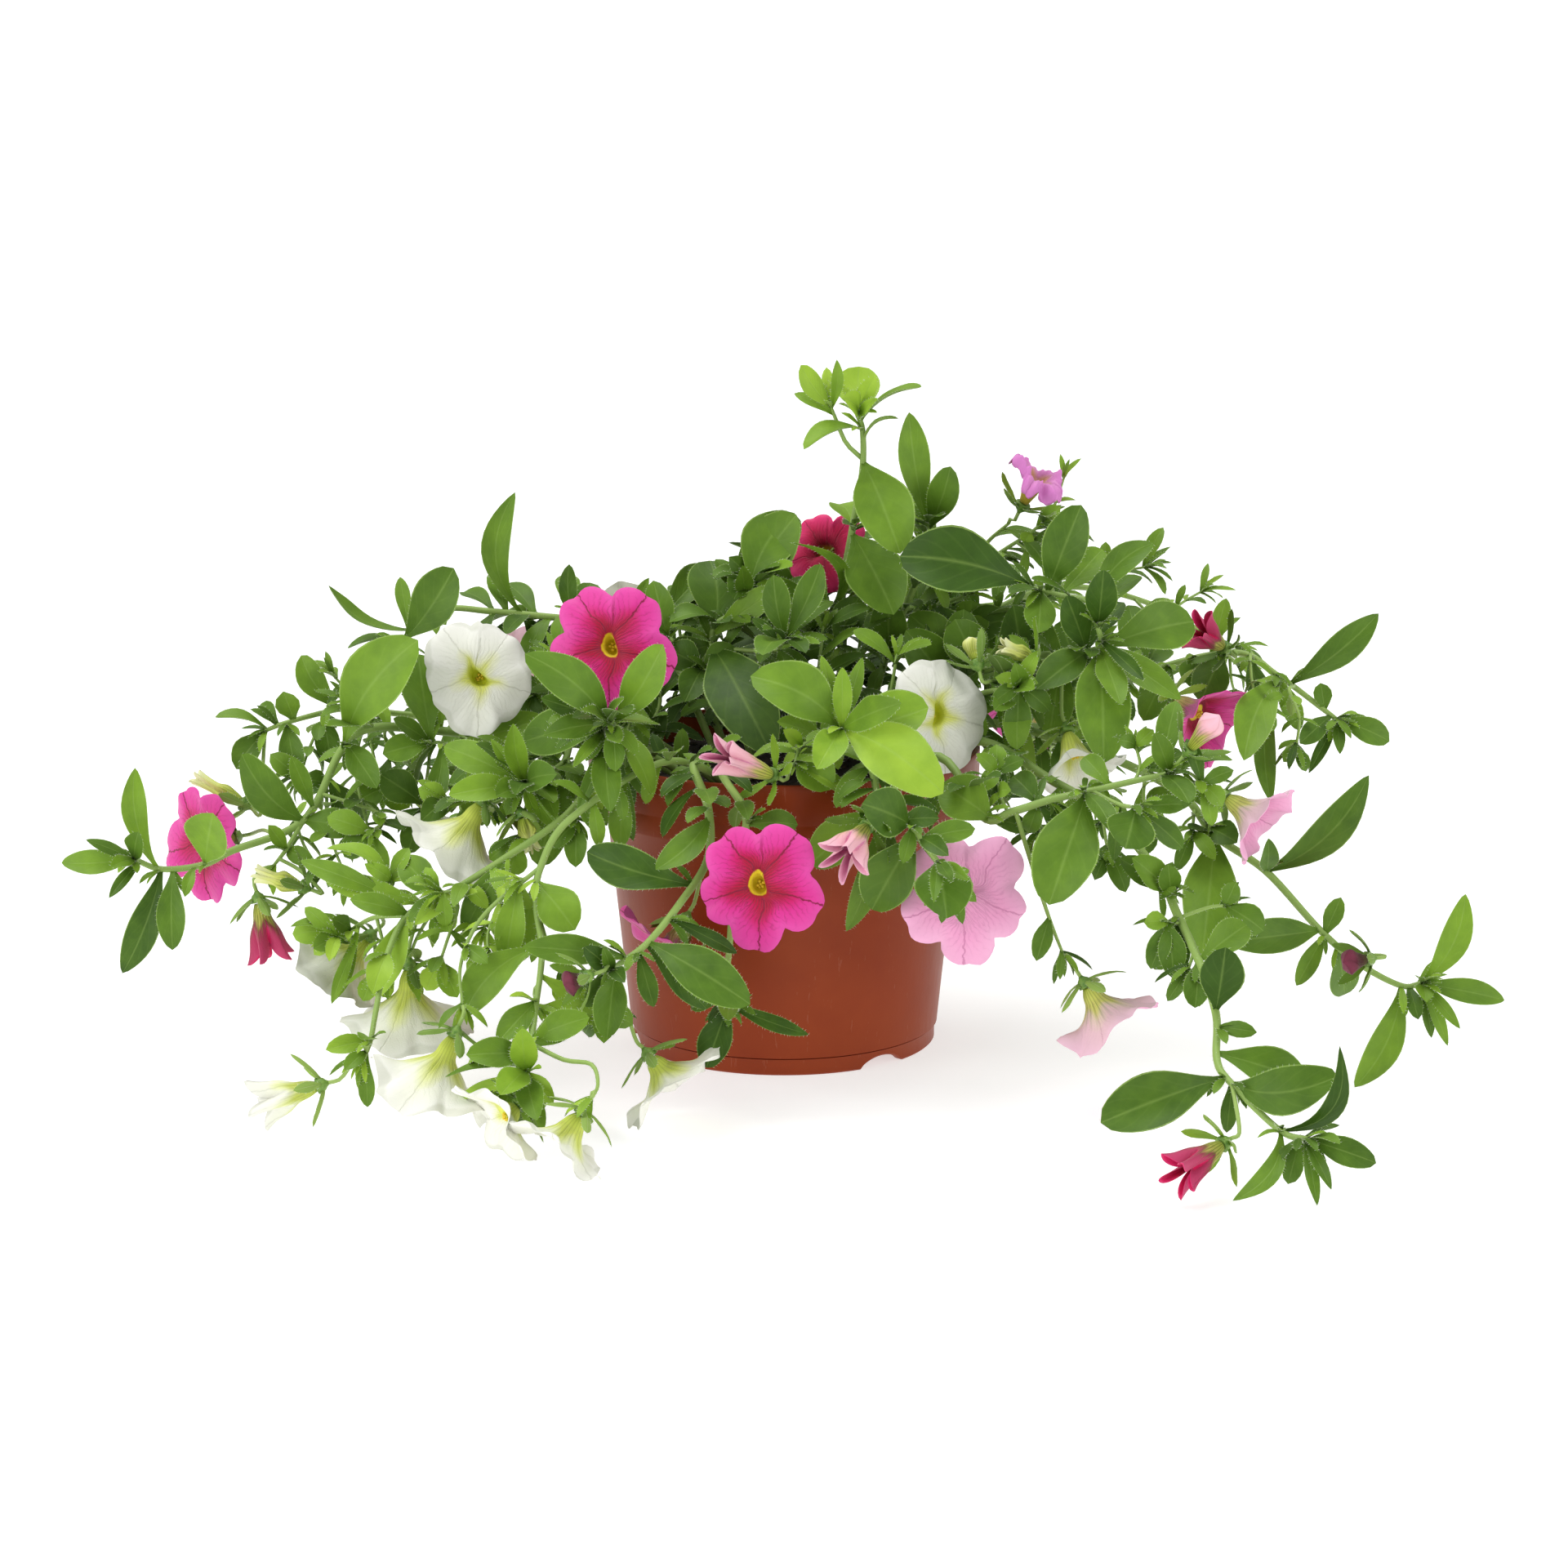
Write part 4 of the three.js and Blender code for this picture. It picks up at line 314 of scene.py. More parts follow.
def grained(name, stops, colour_mm, detail, roughness, bumps=None, lumpy=0.55):
    """A material whose colour follows a grain. bumps are their own grain, detail, depth and strength."""
    material, tree, place = new_material(name)
    grain = add(tree, "TexNoise", place, Scale=1000 / colour_mm, Detail=detail, Roughness=lumpy)
    finish_with(tree, Base_Color=add(tree, "ValToRGB", grain, stops=stops), Roughness=roughness)
    if bumps:
        bump_mm, bump_detail, depth_mm, strength = bumps
        relief = add(tree, "TexNoise", place, Scale=1000 / bump_mm, Detail=bump_detail, Roughness=lumpy)
        depth = depth_mm / 1000
        finish_with(tree, Normal=add(tree, "Bump", Height=relief, Strength=strength, Distance=depth))
    return material


gap = SEAT_GAP + 0.2
edge = RIM_RADIUS - 0.9 - WALL - gap
rows = [(BASE_RADIUS - WALL - gap, FLOOR_HEIGHT + WALL + SEAT_GAP), (NECK_RADIUS - WALL - gap, neck - 1),
        (edge, neck + WALL + 2), (edge, SOIL_TOP - 1.6)]
rows += [(edge * (1 - k / 46), None) for k in range(46)]
soil = Piece()
rings = []
for radius, height in rows:
    places = [(radius * math.cos(TURN * k / 150), radius * math.sin(TURN * k / 150)) for k in range(150)]
    rings.append([soil.put((x, y, soil_surface(x, y) if height is None else height)) for x, y in places])
soil.close(rings, soil.put((0.0, 0.0, soil_surface(0, 0))))
# Moist peat: near black brown, rough, in lumps of about 2 mm with paler fibres.
peat = grained("peat_potting_soil", [(0.32, 0x17110D), (0.55, 0x2E231B), (0.75, 0x4A3A2D)], 2.2, 6, 0.95,
               (2.2, 6, 0.8, 0.9), 0.7)
soil.finish("soil_plug", [peat], "soil")

# Rough eight-sided crumbs, each flattened by its own share and a little lighter or darker than the next.
draw = seeded(7)
crumbs = Piece()
for _ in range(CRUMB_COUNT):
    turn, reach = TURN * draw(), (RIM_RADIUS - 6) * math.sqrt(draw())
    x, y = reach * math.cos(turn), reach * math.sin(turn)
    span = 0.5 + 1.5 * draw() ** 2
    z = soil_surface(x, y) + 0.15 * span
    flat, twist = 0.45 + 0.45 * draw(), draw() * math.pi
    corners = []
    for dx, dy, dz in ((1, 0, 0), (0, 1, 0), (-1, 0, 0), (0, -1, 0), (0, 0, 1), (0, 0, -1)):
        r = span * (0.7 + 0.5 * draw())
        corners.append((x + r * 1.3 * (dx * math.cos(twist) - dy * math.sin(twist)),
                        y + r * 0.8 * (dx * math.sin(twist) + dy * math.cos(twist)), z + dz * r * flat))
    tone = draw()
    *belt, top, bottom = [crumbs.put(p, tone=tone) for p in corners]
    crumbs.join(belt, top)
    crumbs.join(belt[::-1], bottom)
# Composted bark: brown flakes, matt, with spots of 0.8 mm and pits of 0.5 mm.
bark, tree, place = new_material("bark_crumbs")
tone = add(tree, "Attribute", attribute_name="tone", out=2)
flake = add(tree, "ValToRGB", tone, stops=[(0, 0x1C1510), (0.6, 0x3A2B20), (0.93, 0x5B4331), (1, 0x7D654C)])
spots = add(tree, "TexNoise", place, Scale=1000 / 0.8, Detail=3, Roughness=0.55)
spotted = add(tree, "ValToRGB", spots, stops=[(0.3, 0x1A130E), (0.7, 0x54402F)])
pits = add(tree, "TexNoise", place, Scale=1000 / 0.5, Detail=3, Roughness=0.55)
finish_with(tree, Base_Color=add(tree, "Mix", 0.35, flake, spotted, data_type="RGBA"), Roughness=0.9,
            Normal=add(tree, "Bump", Height=pits, Strength=0.8, Distance=0.2 / 1000))
crumbs.finish("soil_crumbs", [bark], crease=30)

# Thin bent fibres that lie on the soil and lean on the rim's inside, in one bunch.
draw = seeded(19)
wisps = Piece()
for _ in range(WISP_COUNT):
    turn = math.radians(222 + 46 * (draw() - 0.5) * (0.4 + draw()))
    start = RIM_RADIUS - 5 - 6 * draw()
    bend, length, lift = 0.9 * (draw() - 0.5), 9 + 12 * draw(), 2.2 * draw()
    rings = []
    for share in (k / 8 for k in range(9)):
        a = turn + bend * share + 0.06 * math.sin(9 * share + 6 * bend)
        r = min(start - 2 + length * 0.35 * share, RIM_RADIUS - WALL - 1.2)
        z = SOIL_TOP - 0.6 + lift * math.sin(math.pi * share) + 4.6 * share * share
        thick = 0.17 * (1 - 0.6 * share)
        x, y = r * math.cos(a + length * share / 60), r * math.sin(a + length * share / 60)
        rings.append([wisps.put((x + thick * math.cos(b) * math.cos(a), y + thick * math.cos(b) * math.sin(a),
                                 z + thick * math.sin(b))) for b in (0, TURN / 4, TURN / 2, 3 * TURN / 4)])
    wisps.close(rings, rings[-1])
# Dry roots: pale brown, matt, with fibres of 0.3 mm.
root_fibre = grained("dry_root_fibre", [(0.3, 0x5E4128), (0.7, 0xA9845A)], 1.2, 3, 0.8, (0.3, 2, 0.05, 0.6))
wisps.finish("root_fibres", [root_fibre])


# ------------------------------------------------------------------------------------------ leafy stems
# Soft green stems about 2 mm thick that rise or trail out of the soil, with their side shoots, leaves, flower
# stalks and calyces: the young growth of a calibrachoa, hairy and a little sticky, with plain-edged leaves in
# loose pairs.

# For each stem its shoots, the stem itself first: radius, [route], then its larger leaves: (place along the
# route, tip x, y, z, width, and where they aren't the usual ones arch, sway and the way the leaf faces).
STEM_SHOOTS = {
    "top": [
        (1.25, [(13, 16, 80), (18, 18, 116), (18, 19, 136), (21, 20, 155), (24, 20, 173), (24, 18, 186),
         (22, 16, 192)], (0.7, 35, -4, 152, 18, 4), (0.51, 17, 34, 161, 10, 2, 0, "up"),
         (0.49, 33, -4, 134, 19, 3), (0.84, 6, 4, 183, 9, 3, 0, "up"), (0.99, 23, 32, 204, 14, -3),
         (0.9, 42, 6, 200, 10, 3, 0, "up"), (0.78, 35, 12, 190, 5, 3, 0, "up"), (0.98, 18, 4, 198, 8, 2),
         (0.97, 25, 6, 201, 6), (0.91, 27, 0, 198, 4), (0.5, 18, 2, 160, 4)),
        (0.75, [(24, 20, 177), (19, 19, 182), (16, 18, 189), (14, 18, 194)], (0.93, 5, 18, 206, 7, 1, -1),
         (0.93, 16, 14, 208, 4, 1, 1), (0.79, 3, 20, 197, 4, 2), (0.98, 13, 24, 205, 4, 0),
         (0.96, 5, 26, 200, 4, 0)),
    ],
    "top_right": [
        (1.2, [(22, 14, 80), (32, 22, 116), (42, 20, 142), (44, 18, 154), (44, 17, 158)],
         (0.87, 38, 16, 192, 10, 2, -1), (0.81, 52, 14, 177, 10, 2, 1), (0.44, 50, 34, 151, 8, 2),
         (0.37, 25, 0, 128, 8, 2, 0, "up")),
        (0.8, [(37, 22, 130), (48, 34, 129), (62, 36, 147), (70, 34, 155)]),
        (0.7, [(42, 20, 142), (56, 30, 139), (68, 30, 147), (76, 26, 153), (81, 24, 158)],
         (0.85, 85, 22, 162, 6), (0.76, 74, 24, 150, 5)),
    ],
    "top_left": [
        (1.2, [(-8, 14, 80), (-22, 10, 121), (-15, 11, 131), (-11, 12, 138), (-8, 13, 140)],
         (0.53, -5, 28, 153, 11, 3), (0.28, 0, 2, 141, 9, 2), (0.25, -34, 14, 114, 11, 2),
         (0.79, 3, 16, 161, 17, 3, -2), (0.57, -5, 30, 153, 15, 3, 2), (0.79, -21, -2, 144, 5, 2, 0, "up"),
         (0.67, -13, 0, 150, 6), (0.26, -23, 26, 144, 18, 4, 2), (0.36, -35, 4, 129, 10, 3, 0, "up"),
         (0.41, -22, 20, 133, 9, 2), (0.24, -5, -34, 99, 21, 5)),
        (0.8, [(-22, 10, 120), (-4, -2, 121), (-1, -8, 124), (1, -10, 127)], (0.93, -3, -12, 146, 9, 2, -1),
         (0.98, 11, -8, 149, 9, 2, 1), (0.75, 11, -20, 126, 5, 1, 0, "up"), (0.4, 4, 2, 128, 7)),
    ],
    "top_back": [
        (1.1, [(2, 27, 80), (6, 46, 112), (4, 50, 125), (8, 50, 134), (10, 50, 137)],
         (0.27, 20, 36, 124, 12, 2), (0.35, -14, 40, 123, 11, 2), (0.27, 1, 24, 153, 5, 2, 9, "side"),
         (0.41, -9, 50, 140, 14, 2), (0.44, 26, 56, 149, 14, 2)),
    ],
    "high_left": [
        (1.15, [(-18, 10, 80), (-40, 16, 126), (-56, 16, 127), (-73, 14, 129), (-90, 12, 131),
         (-104, 10, 132), (-114, 6, 126), (-118, 2, 121)], (0.14, -22, 34, 142, 11, 3),
         (0.13, -15, 30, 132, 9, 2), (0.35, -69, 40, 139, 8, 2), (0.49, -74, 24, 116, 9, 2),
         (0.49, -82, 12, 168, 9, 2, -7), (0.93, -100, -4, 147, 15, 3, 2),
         (0.85, -139, 6, 140, 8, -4, -2, "up"), (0.87, -118, 16, 141, 5),
         (0.43, -94, 30, 122, 10, 3, 0, "up"), (0.36, -66, 16, 145, 6, 1, -1), (0.33, -60, 26, 138, 9),
         (0.2, -41, 10, 142, 4), (0.32, -70, 2, 134, 5, 1, 0, "up"), (0.75, -103, 4, 128, 4)),
    ],
    "left_rosette": [
        (1.15, [(-24, -12, 80), (-51, -32, 100), (-50, -56, 110), (-51, -60, 110)],
         (1, -74, -70, 133, 13, 4, 2), (0.66, -35, -66, 135, 12, 3, 2), (0.54, -50, -78, 88, 9, 2, 1),
         (0.66, -44, -66, 78, 6, 3, 1), (0.59, -68, -74, 111, 8, 2), (0.6, -71, -60, 118, 8, 2),
         (0.59, -60, -68, 87, 5, 2, -1), (0.67, -77, -44, 102, 14, 2), (0.54, -47, -80, 108, 5),
         (0.54, -60, -78, 117, 4), (0.54, -57, -80, 110, 4), (0.54, -52, -78, 122, 4),
         (0.66, -32, -26, 114, 10, 2)),
    ],
    "left_long": [
        (1.45, [(-28, 2, 80), (-60, 2, 100), (-80, 4, 93), (-105, 0, 96), (-125, -10, 99), (-134, -16, 93),
         (-145, -22, 73), (-166, -28, 65), (-175, -30, 61), (-187, -31, 60), (-195, -31, 63)],
         (1, -217, -31, 62, 8, 2, -1), (0.91, -194, -31, 91, 8, 2, -3), (0.9, -199, -36, 29, 10, 3, -2),
         (0.87, -183, -42, 38, 9, 3), (0.79, -168, -50, 82, 15), (1, -191, -44, 75, 7), (1, -209, -30, 68, 4),
         (0.98, -201, -44, 54, 4), (1, -200, -46, 64, 5), (0.82, -179, -40, 54, 4),
         (0.6, -162, -30, 95, 12, 3, -3), (0.49, -109, -26, 129, 20, 4, -3), (0.48, -122, -28, 84, 9, 2),
         (0.6, -128, -26, 71, 10, 2), (0.54, -130, -8, 68, 11, 2), (0.58, -147, -34, 96, 6),
         (0.4, -135, -30, 108, 7, 1, 0, "up")),
        (0.75, [(-145, -22, 73), (-150, -27, 65), (-154, -28, 60)], (0.49, -154, -34, 74, 5)),
    ],
    "left_upper": [
        (1.1, [(-24, 12, 80), (-60, 18, 101), (-82, 26, 95), (-112, 28, 95), (-135, 24, 98), (-143, 18, 98),
         (-154, 12, 96), (-160, 10, 94)], (0.33, -94, 10, 80, 11, 2), (0.2, -67, 40, 113, 12, 2),
         (0.43, -103, 40, 110, 10, 2), (0.98, -175, 8, 99, 7, 2, 0, "up"), (0.82, -154, 10, 106, 8),
         (0.85, -150, 2, 82, 8), (0.61, -150, 24, 115, 9, 2, -2), (0.99, -169, 6, 83, 9, 2),
         (0.71, -140, 10, 84, 8, 2), (0.9, -162, 18, 101, 6), (0.57, -131, 34, 106, 10, 2)),
    ],
    "left_mid": [
        (1.15, [(-22, -4, 80), (-59, -14, 98), (-66, -34, 93), (-74, -44, 90), (-77, -48, 89)],
         (0.96, -99, -52, 86, 9, 3), (0.88, -101, -40, 100, 10, 3), (0.88, -62, -58, 93, 10, 2),
         (0.96, -86, -58, 86, 8), (0.91, -80, -46, 110, 7, 1, -1), (0.87, -74, -56, 105, 7),
         (0.96, -84, -54, 103, 4), (0.49, -52, -52, 78, 9, 3), (0.96, -66, -56, 78, 6),
         (0.96, -82, -50, 81, 5), (0.45, -73, -40, 63, 14, 3)),
        (0.8, [(-66, -33, 93), (-89, -18, 91), (-103, -14, 95), (-107, -14, 95)],
         (0.98, -111, -6, 121, 13, 3), (0.54, -83, -26, 105, 10, 2), (0.98, -121, -20, 93, 9, 2),
         (0.7, -108, -24, 76, 7, 2, -2), (0.43, -91, -24, 72, 12, 2), (0.98, -117, -30, 106, 6)),
    ],
    "low_outer": [
        (1.1, [(-20, -18, 80), (-46, -41, 98), (-64, -60, 83), (-81, -66, 72), (-100, -66, 60),
         (-110, -68, 55), (-115, -80, 46), (-117, -94, 34), (-118, -102, 27), (-120, -106, 22)],
         (0.66, -118, -92, 39, 8, 2), (0.55, -118, -84, 37, 10, 2), (0.49, -135, -60, 64, 8, 2),
         (0.45, -111, -56, 67, 10, 2), (0.45, -97, -80, 54, 7), (0.41, -106, -84, 57, 6),
         (0.33, -94, -54, 67, 9, 2), (0.36, -79, -76, 63, 6), (0.55, -126, -72, 61, 7, 2),
         (0.89, -130, -108, 26, 6), (0.95, -119, -112, 13, 5), (0.95, -124, -114, 22, 5),
         (0.89, -119, -116, 31, 6)),
        (0.75, [(-110, -68, 55), (-120, -58, 52), (-126, -52, 48), (-130, -50, 45)], (0.9, -146, -50, 45, 8),
         (0.87, -139, -54, 40, 7), (0.66, -133, -56, 26, 5, 1, -1), (0.87, -133, -60, 52, 6)),
    ],
    "low_inner": [
        (1.1, [(-14, -26, 80), (-33, -53, 98), (-61, -74, 86), (-70, -82, 73), (-71, -88, 63), (-69, -98, 52),
         (-70, -112, 40), (-71, -126, 30), (-72, -132, 25)], (0.41, -79, -84, 45, 11, 2, -1),
         (0.42, -60, -90, 56, 13, 2), (0.61, -91, -106, 37, 12, 3, 3), (0.68, -54, -114, 41, 9, 2),
         (0.74, -80, -124, 33, 8), (0.83, -55, -128, 41, 9, 2), (0.88, -88, -134, 32, 9, 2),
         (0.98, -72, -144, 41, 8), (0.96, -80, -148, 19, 9), (1, -67, -150, 15, 8), (0.98, -64, -140, 20, 6),
         (0.62, -61, -88, 46, 6)),
        (0.7, [(-71, -123, 32), (-61, -136, 31), (-53, -144, 32), (-51, -150, 28), (-53, -152, 24)]),
        (0.65, [(-70, -82, 73), (-86, -92, 61), (-92, -100, 49), (-91, -108, 38)], (0.54, -84, -104, 50, 5)),
    ],
    "front_left": [
        (1.3, [(-10, -32, 80), (-26, -58, 98), (-22, -68, 87), (-22, -76, 74), (-30, -86, 63), (-39, -96, 54),
         (-46, -102, 50), (-49, -104, 48)], (0.51, -57, -76, 76, 13, 4, -2), (0.31, -35, -90, 77, 9, 2, -2),
         (0.82, -74, -100, 52, 9, 3), (0.92, -50, -114, 31, 10, 2), (0.71, -10, -112, 41, 14, 3),
         (0.72, -22, -98, 35, 8, 2), (0.62, -13, -90, 50, 5, 2), (1, -56, -112, 57, 7),
         (0.98, -55, -112, 42, 6), (1, -52, -108, 58, 4), (0.76, -37, -106, 38, 6), (0.54, -23, -92, 76, 8),
         (0.98, -45, -118, 49, 5)),
    ],
    "front_foot": [
        (1.2, [(-4, -32, 80), (-18, -60, 96), (-11, -69, 85), (-14, -71, 71), (-15, -73, 59), (-16, -76, 46),
         (-17, -82, 37), (-16, -86, 33)], (1, 7, -96, 27, 5, -3), (1, -22, -96, 20, 10),
         (1, -16, -102, 23, 6), (0.94, -28, -80, 32, 7), (0.31, 4, -70, 83, 8, 2), (0.41, -22, -80, 63, 6)),
    ],
    "front_centre": [
        (1.25, [(5, -16, 80), (12, -34, 101), (16, -46, 105), (17, -54, 108)], (0.86, -9, -56, 124, 17, 5, 2),
         (0.96, 42, -58, 115, 17, 4, 2), (1, 45, -78, 95, 18, 4, -1), (1, 10, -76, 102, 10),
         (1, 32, -76, 120, 10), (1, 11, -50, 129, 5), (1, 23, -48, 128, 5), (1, 17, -56, 126, 6),
         (0.33, -1, -44, 108, 7)),
        (0.8, [(11, -32, 100), (5, -48, 101), (3, -56, 97)], (0.48, 0, -52, 107, 5),
         (0.72, 14, -58, 89, 12, 2)),
    ],
    "front_right": [
        (1.2, [(10, -30, 80), (24, -59, 98), (28, -72, 89), (36, -80, 85), (41, -88, 80), (44, -93, 77)],
         (0.99, 46, -106, 64, 17, 2), (0.6, 20, -86, 92, 15, 2), (0.67, 28, -76, 62, 16, 2),
         (0.43, 7, -70, 71, 13, 3), (0.72, 54, -82, 83, 7, 2), (0.99, 52, -112, 76, 4),
         (0.99, 42, -116, 72, 4), (0.99, 48, -118, 72, 4), (0.71, 46, -98, 81, 6), (0.63, 34, -90, 76, 5),
         (0.55, 44, -84, 88, 7), (0.43, 18, -72, 51, 8, 2, -2), (0.46, 31, -68, 58, 8, 2)),
    ],
    "right_front": [
        (1.3, [(22, -24, 80), (45, -46, 98), (58, -66, 84), (66, -68, 86), (77, -70, 90), (88, -72, 93),
         (103, -74, 97), (111, -75, 99)], (0.71, 76, -92, 65, 19, 4), (0.33, 46, -62, 93, 15, 2),
         (0.28, 72, -64, 80, 6), (0.57, 81, -60, 80, 7), (1, 129, -74, 104, 9, 2, 0, "up"),
         (1, 106, -80, 112, 7), (0.99, 127, -76, 88, 6), (0.77, 87, -64, 102, 7), (0.28, 63, -62, 98, 8)),
        (0.8, [(89, -72, 93), (96, -80, 91), (101, -84, 91)], (0.98, 97, -96, 82, 15), (0.51, 95, -80, 74, 5),
         (0.96, 115, -84, 79, 7), (0.98, 115, -84, 92, 6)),
        (0.7, [(67, -68, 87), (72, -72, 71), (77, -76, 56), (81, -80, 46)], (0.33, 78, -80, 73, 5),
         (0.66, 73, -84, 46, 6)),
    ],
    "right_crown": [
        (1.3, [(26, 2, 80), (48, 8, 106), (72, -4, 119), (90, -14, 123), (95, -18, 126), (94, -19, 132)],
         (1, 95, -26, 150, 10), (0.73, 124, -6, 131, 16, 4), (0.62, 84, -22, 142, 10),
         (0.64, 76, -34, 117, 11, 2), (0.74, 94, -40, 91, 17, 4), (0.77, 99, -48, 113, 9),
         (0.8, 118, -34, 112, 9, 2), (0.52, 80, -22, 100, 12, 2), (0.85, 106, -44, 120, 5),
         (0.4, 69, -14, 137, 14, 2), (0.29, 52, 4, 130, 14, 3), (0.22, 37, 2, 127, 14, 3)),
        (0.95, [(94, -19, 132), (91, -16, 139), (84, -12, 140), (74, -8, 142)],
         (0.97, 35, -10, 152, 21, 5, 1), (0.83, 89, -14, 168, 14, 3), (0.69, 97, 4, 152, 10),
         (0.23, 111, -10, 156, 9, 2, -3), (0.89, 76, -22, 130, 10)),
    ],
    "right_rosette": [
        (1.1, [(24, -8, 80), (40, -12, 100), (59, -18, 111), (70, -26, 114)], (0.98, 66, -30, 124, 6),
         (0.98, 69, -42, 100, 9), (0.98, 78, -36, 109, 6), (0.95, 76, -32, 90, 6, 1, 1),
         (0.97, 74, -26, 125, 6), (0.98, 61, -36, 107, 7), (0.66, 58, -30, 94, 8)),
    ],
    "right_long": [
        (1.35, [(30, -2, 80), (59, -6, 99), (82, -12, 96), (103, -26, 91), (119, -38, 84), (128, -42, 73),
         (143, -46, 63), (159, -50, 46), (171, -52, 36), (183, -54, 30), (189, -55, 31)],
         (0.6, 172, -50, 93, 11, 3, 5), (0.7, 129, -66, 47, 11, 3, -1), (0.71, 165, -50, 56, 6),
         (0.71, 152, -54, 30, 6), (1, 201, -55, 58, 9, 2, 3), (0.9, 169, -62, 1, 10, 2, -3),
         (1, 214, -55, 26, 8), (1, 189, -64, 28, 6), (0.93, 187, -58, 20, 5), (1, 192, -58, 15, 4),
         (1, 196, -56, 13, 4), (1, 199, -62, 18, 4), (0.6, 141, -52, 78, 6),
         (0.5, 119, -50, 77, 6, 1, 0, "up"), (0.5, 123, -62, 41, 17, 4), (0.48, 133, -54, 74, 9),
         (0.74, 169, -36, 22, 10), (0.4, 108, -30, 80, 8), (0.32, 120, -26, 94, 8)),
    ],
    "right_low": [
        (1.4, [(28, -14, 80), (56, -24, 98), (80, -46, 90), (96, -58, 82), (109, -74, 68), (113, -86, 60),
         (118, -104, 50), (121, -122, 40), (120, -136, 31), (123, -145, 27), (135, -160, 18),
         (142, -165, 17)], (0.63, 123, -124, 60, 13, 2), (0.8, 87, -152, 18, 16, 4),
         (0.71, 145, -134, 24, 12, 3), (0.82, 150, -158, 33, 14, 3, 4), (0.91, 150, -164, 43, 6, 2, 8),
         (1, 160, -170, 12, 8), (0.99, 143, -180, 3, 4), (0.99, 147, -178, 5, 4),
         (0.91, 120, -180, 4, 6, 2, -4), (0.97, 137, -172, 9, 6), (1, 149, -176, 20, 5, 1, 0, "up"),
         (0.66, 131, -132, 38, 5), (0.46, 111, -96, 44, 9, 2), (0.4, 99, -80, 75, 9, 2),
         (0.41, 110, -86, 75, 7), (0.46, 107, -84, 43, 8), (0.54, 116, -112, 39, 8),
         (0.54, 133, -92, 59, 10, 2), (0.82, 122, -146, 13, 5)),
    ],
    "right_upper": [
        (1.2, [(25, 13, 80), (60, 20, 103), (87, 30, 96), (112, 26, 109), (139, 18, 117), (152, 12, 111),
         (166, 8, 101), (170, 7, 98)], (0.29, 73, 40, 128, 14, 3), (0.33, 87, 44, 122, 12, 3),
         (0.43, 108, 40, 128, 11, 2), (0.75, 182, 8, 131, 10, 3, 2), (0.73, 136, -12, 81, 13, 4, 3),
         (0.98, 186, 4, 92, 9, 2), (0.71, 158, 2, 96, 7), (0.86, 165, 10, 109, 6), (0.91, 156, -2, 90, 7),
         (1, 161, 0, 83, 4), (1, 170, -2, 89, 4), (1, 181, 10, 97, 4), (0.61, 146, 4, 107, 7),
         (0.53, 137, 24, 133, 6), (0.51, 125, 14, 107, 10), (0.55, 129, 8, 106, 12, 2),
         (0.43, 118, 36, 119, 12, 2), (0.71, 149, -4, 74, 7, 2, 3), (0.47, 111, 12, 97, 11, 2)),
    ],
    "back_left": [
        (1.2, [(-16, 24, 80), (-30, 34, 108), (-58, 58, 122), (-84, 84, 104), (-100, 104, 74),
         (-108, 116, 48)]),
    ],
    "back_mid": [
        (1.25, [(-6, 32, 80), (-10, 46, 112), (-12, 68, 126), (-10, 94, 120), (-6, 114, 98), (-4, 130, 72)]),
    ],
    "back_right": [
        (1.2, [(14, 30, 80), (24, 42, 112), (50, 66, 124), (78, 92, 106), (96, 112, 76), (104, 122, 46)]),
    ],
    "back_side": [
        (1.1, [(30, 20, 80), (46, 30, 112), (82, 46, 132), (120, 58, 124), (146, 66, 104)]),
    ],
}

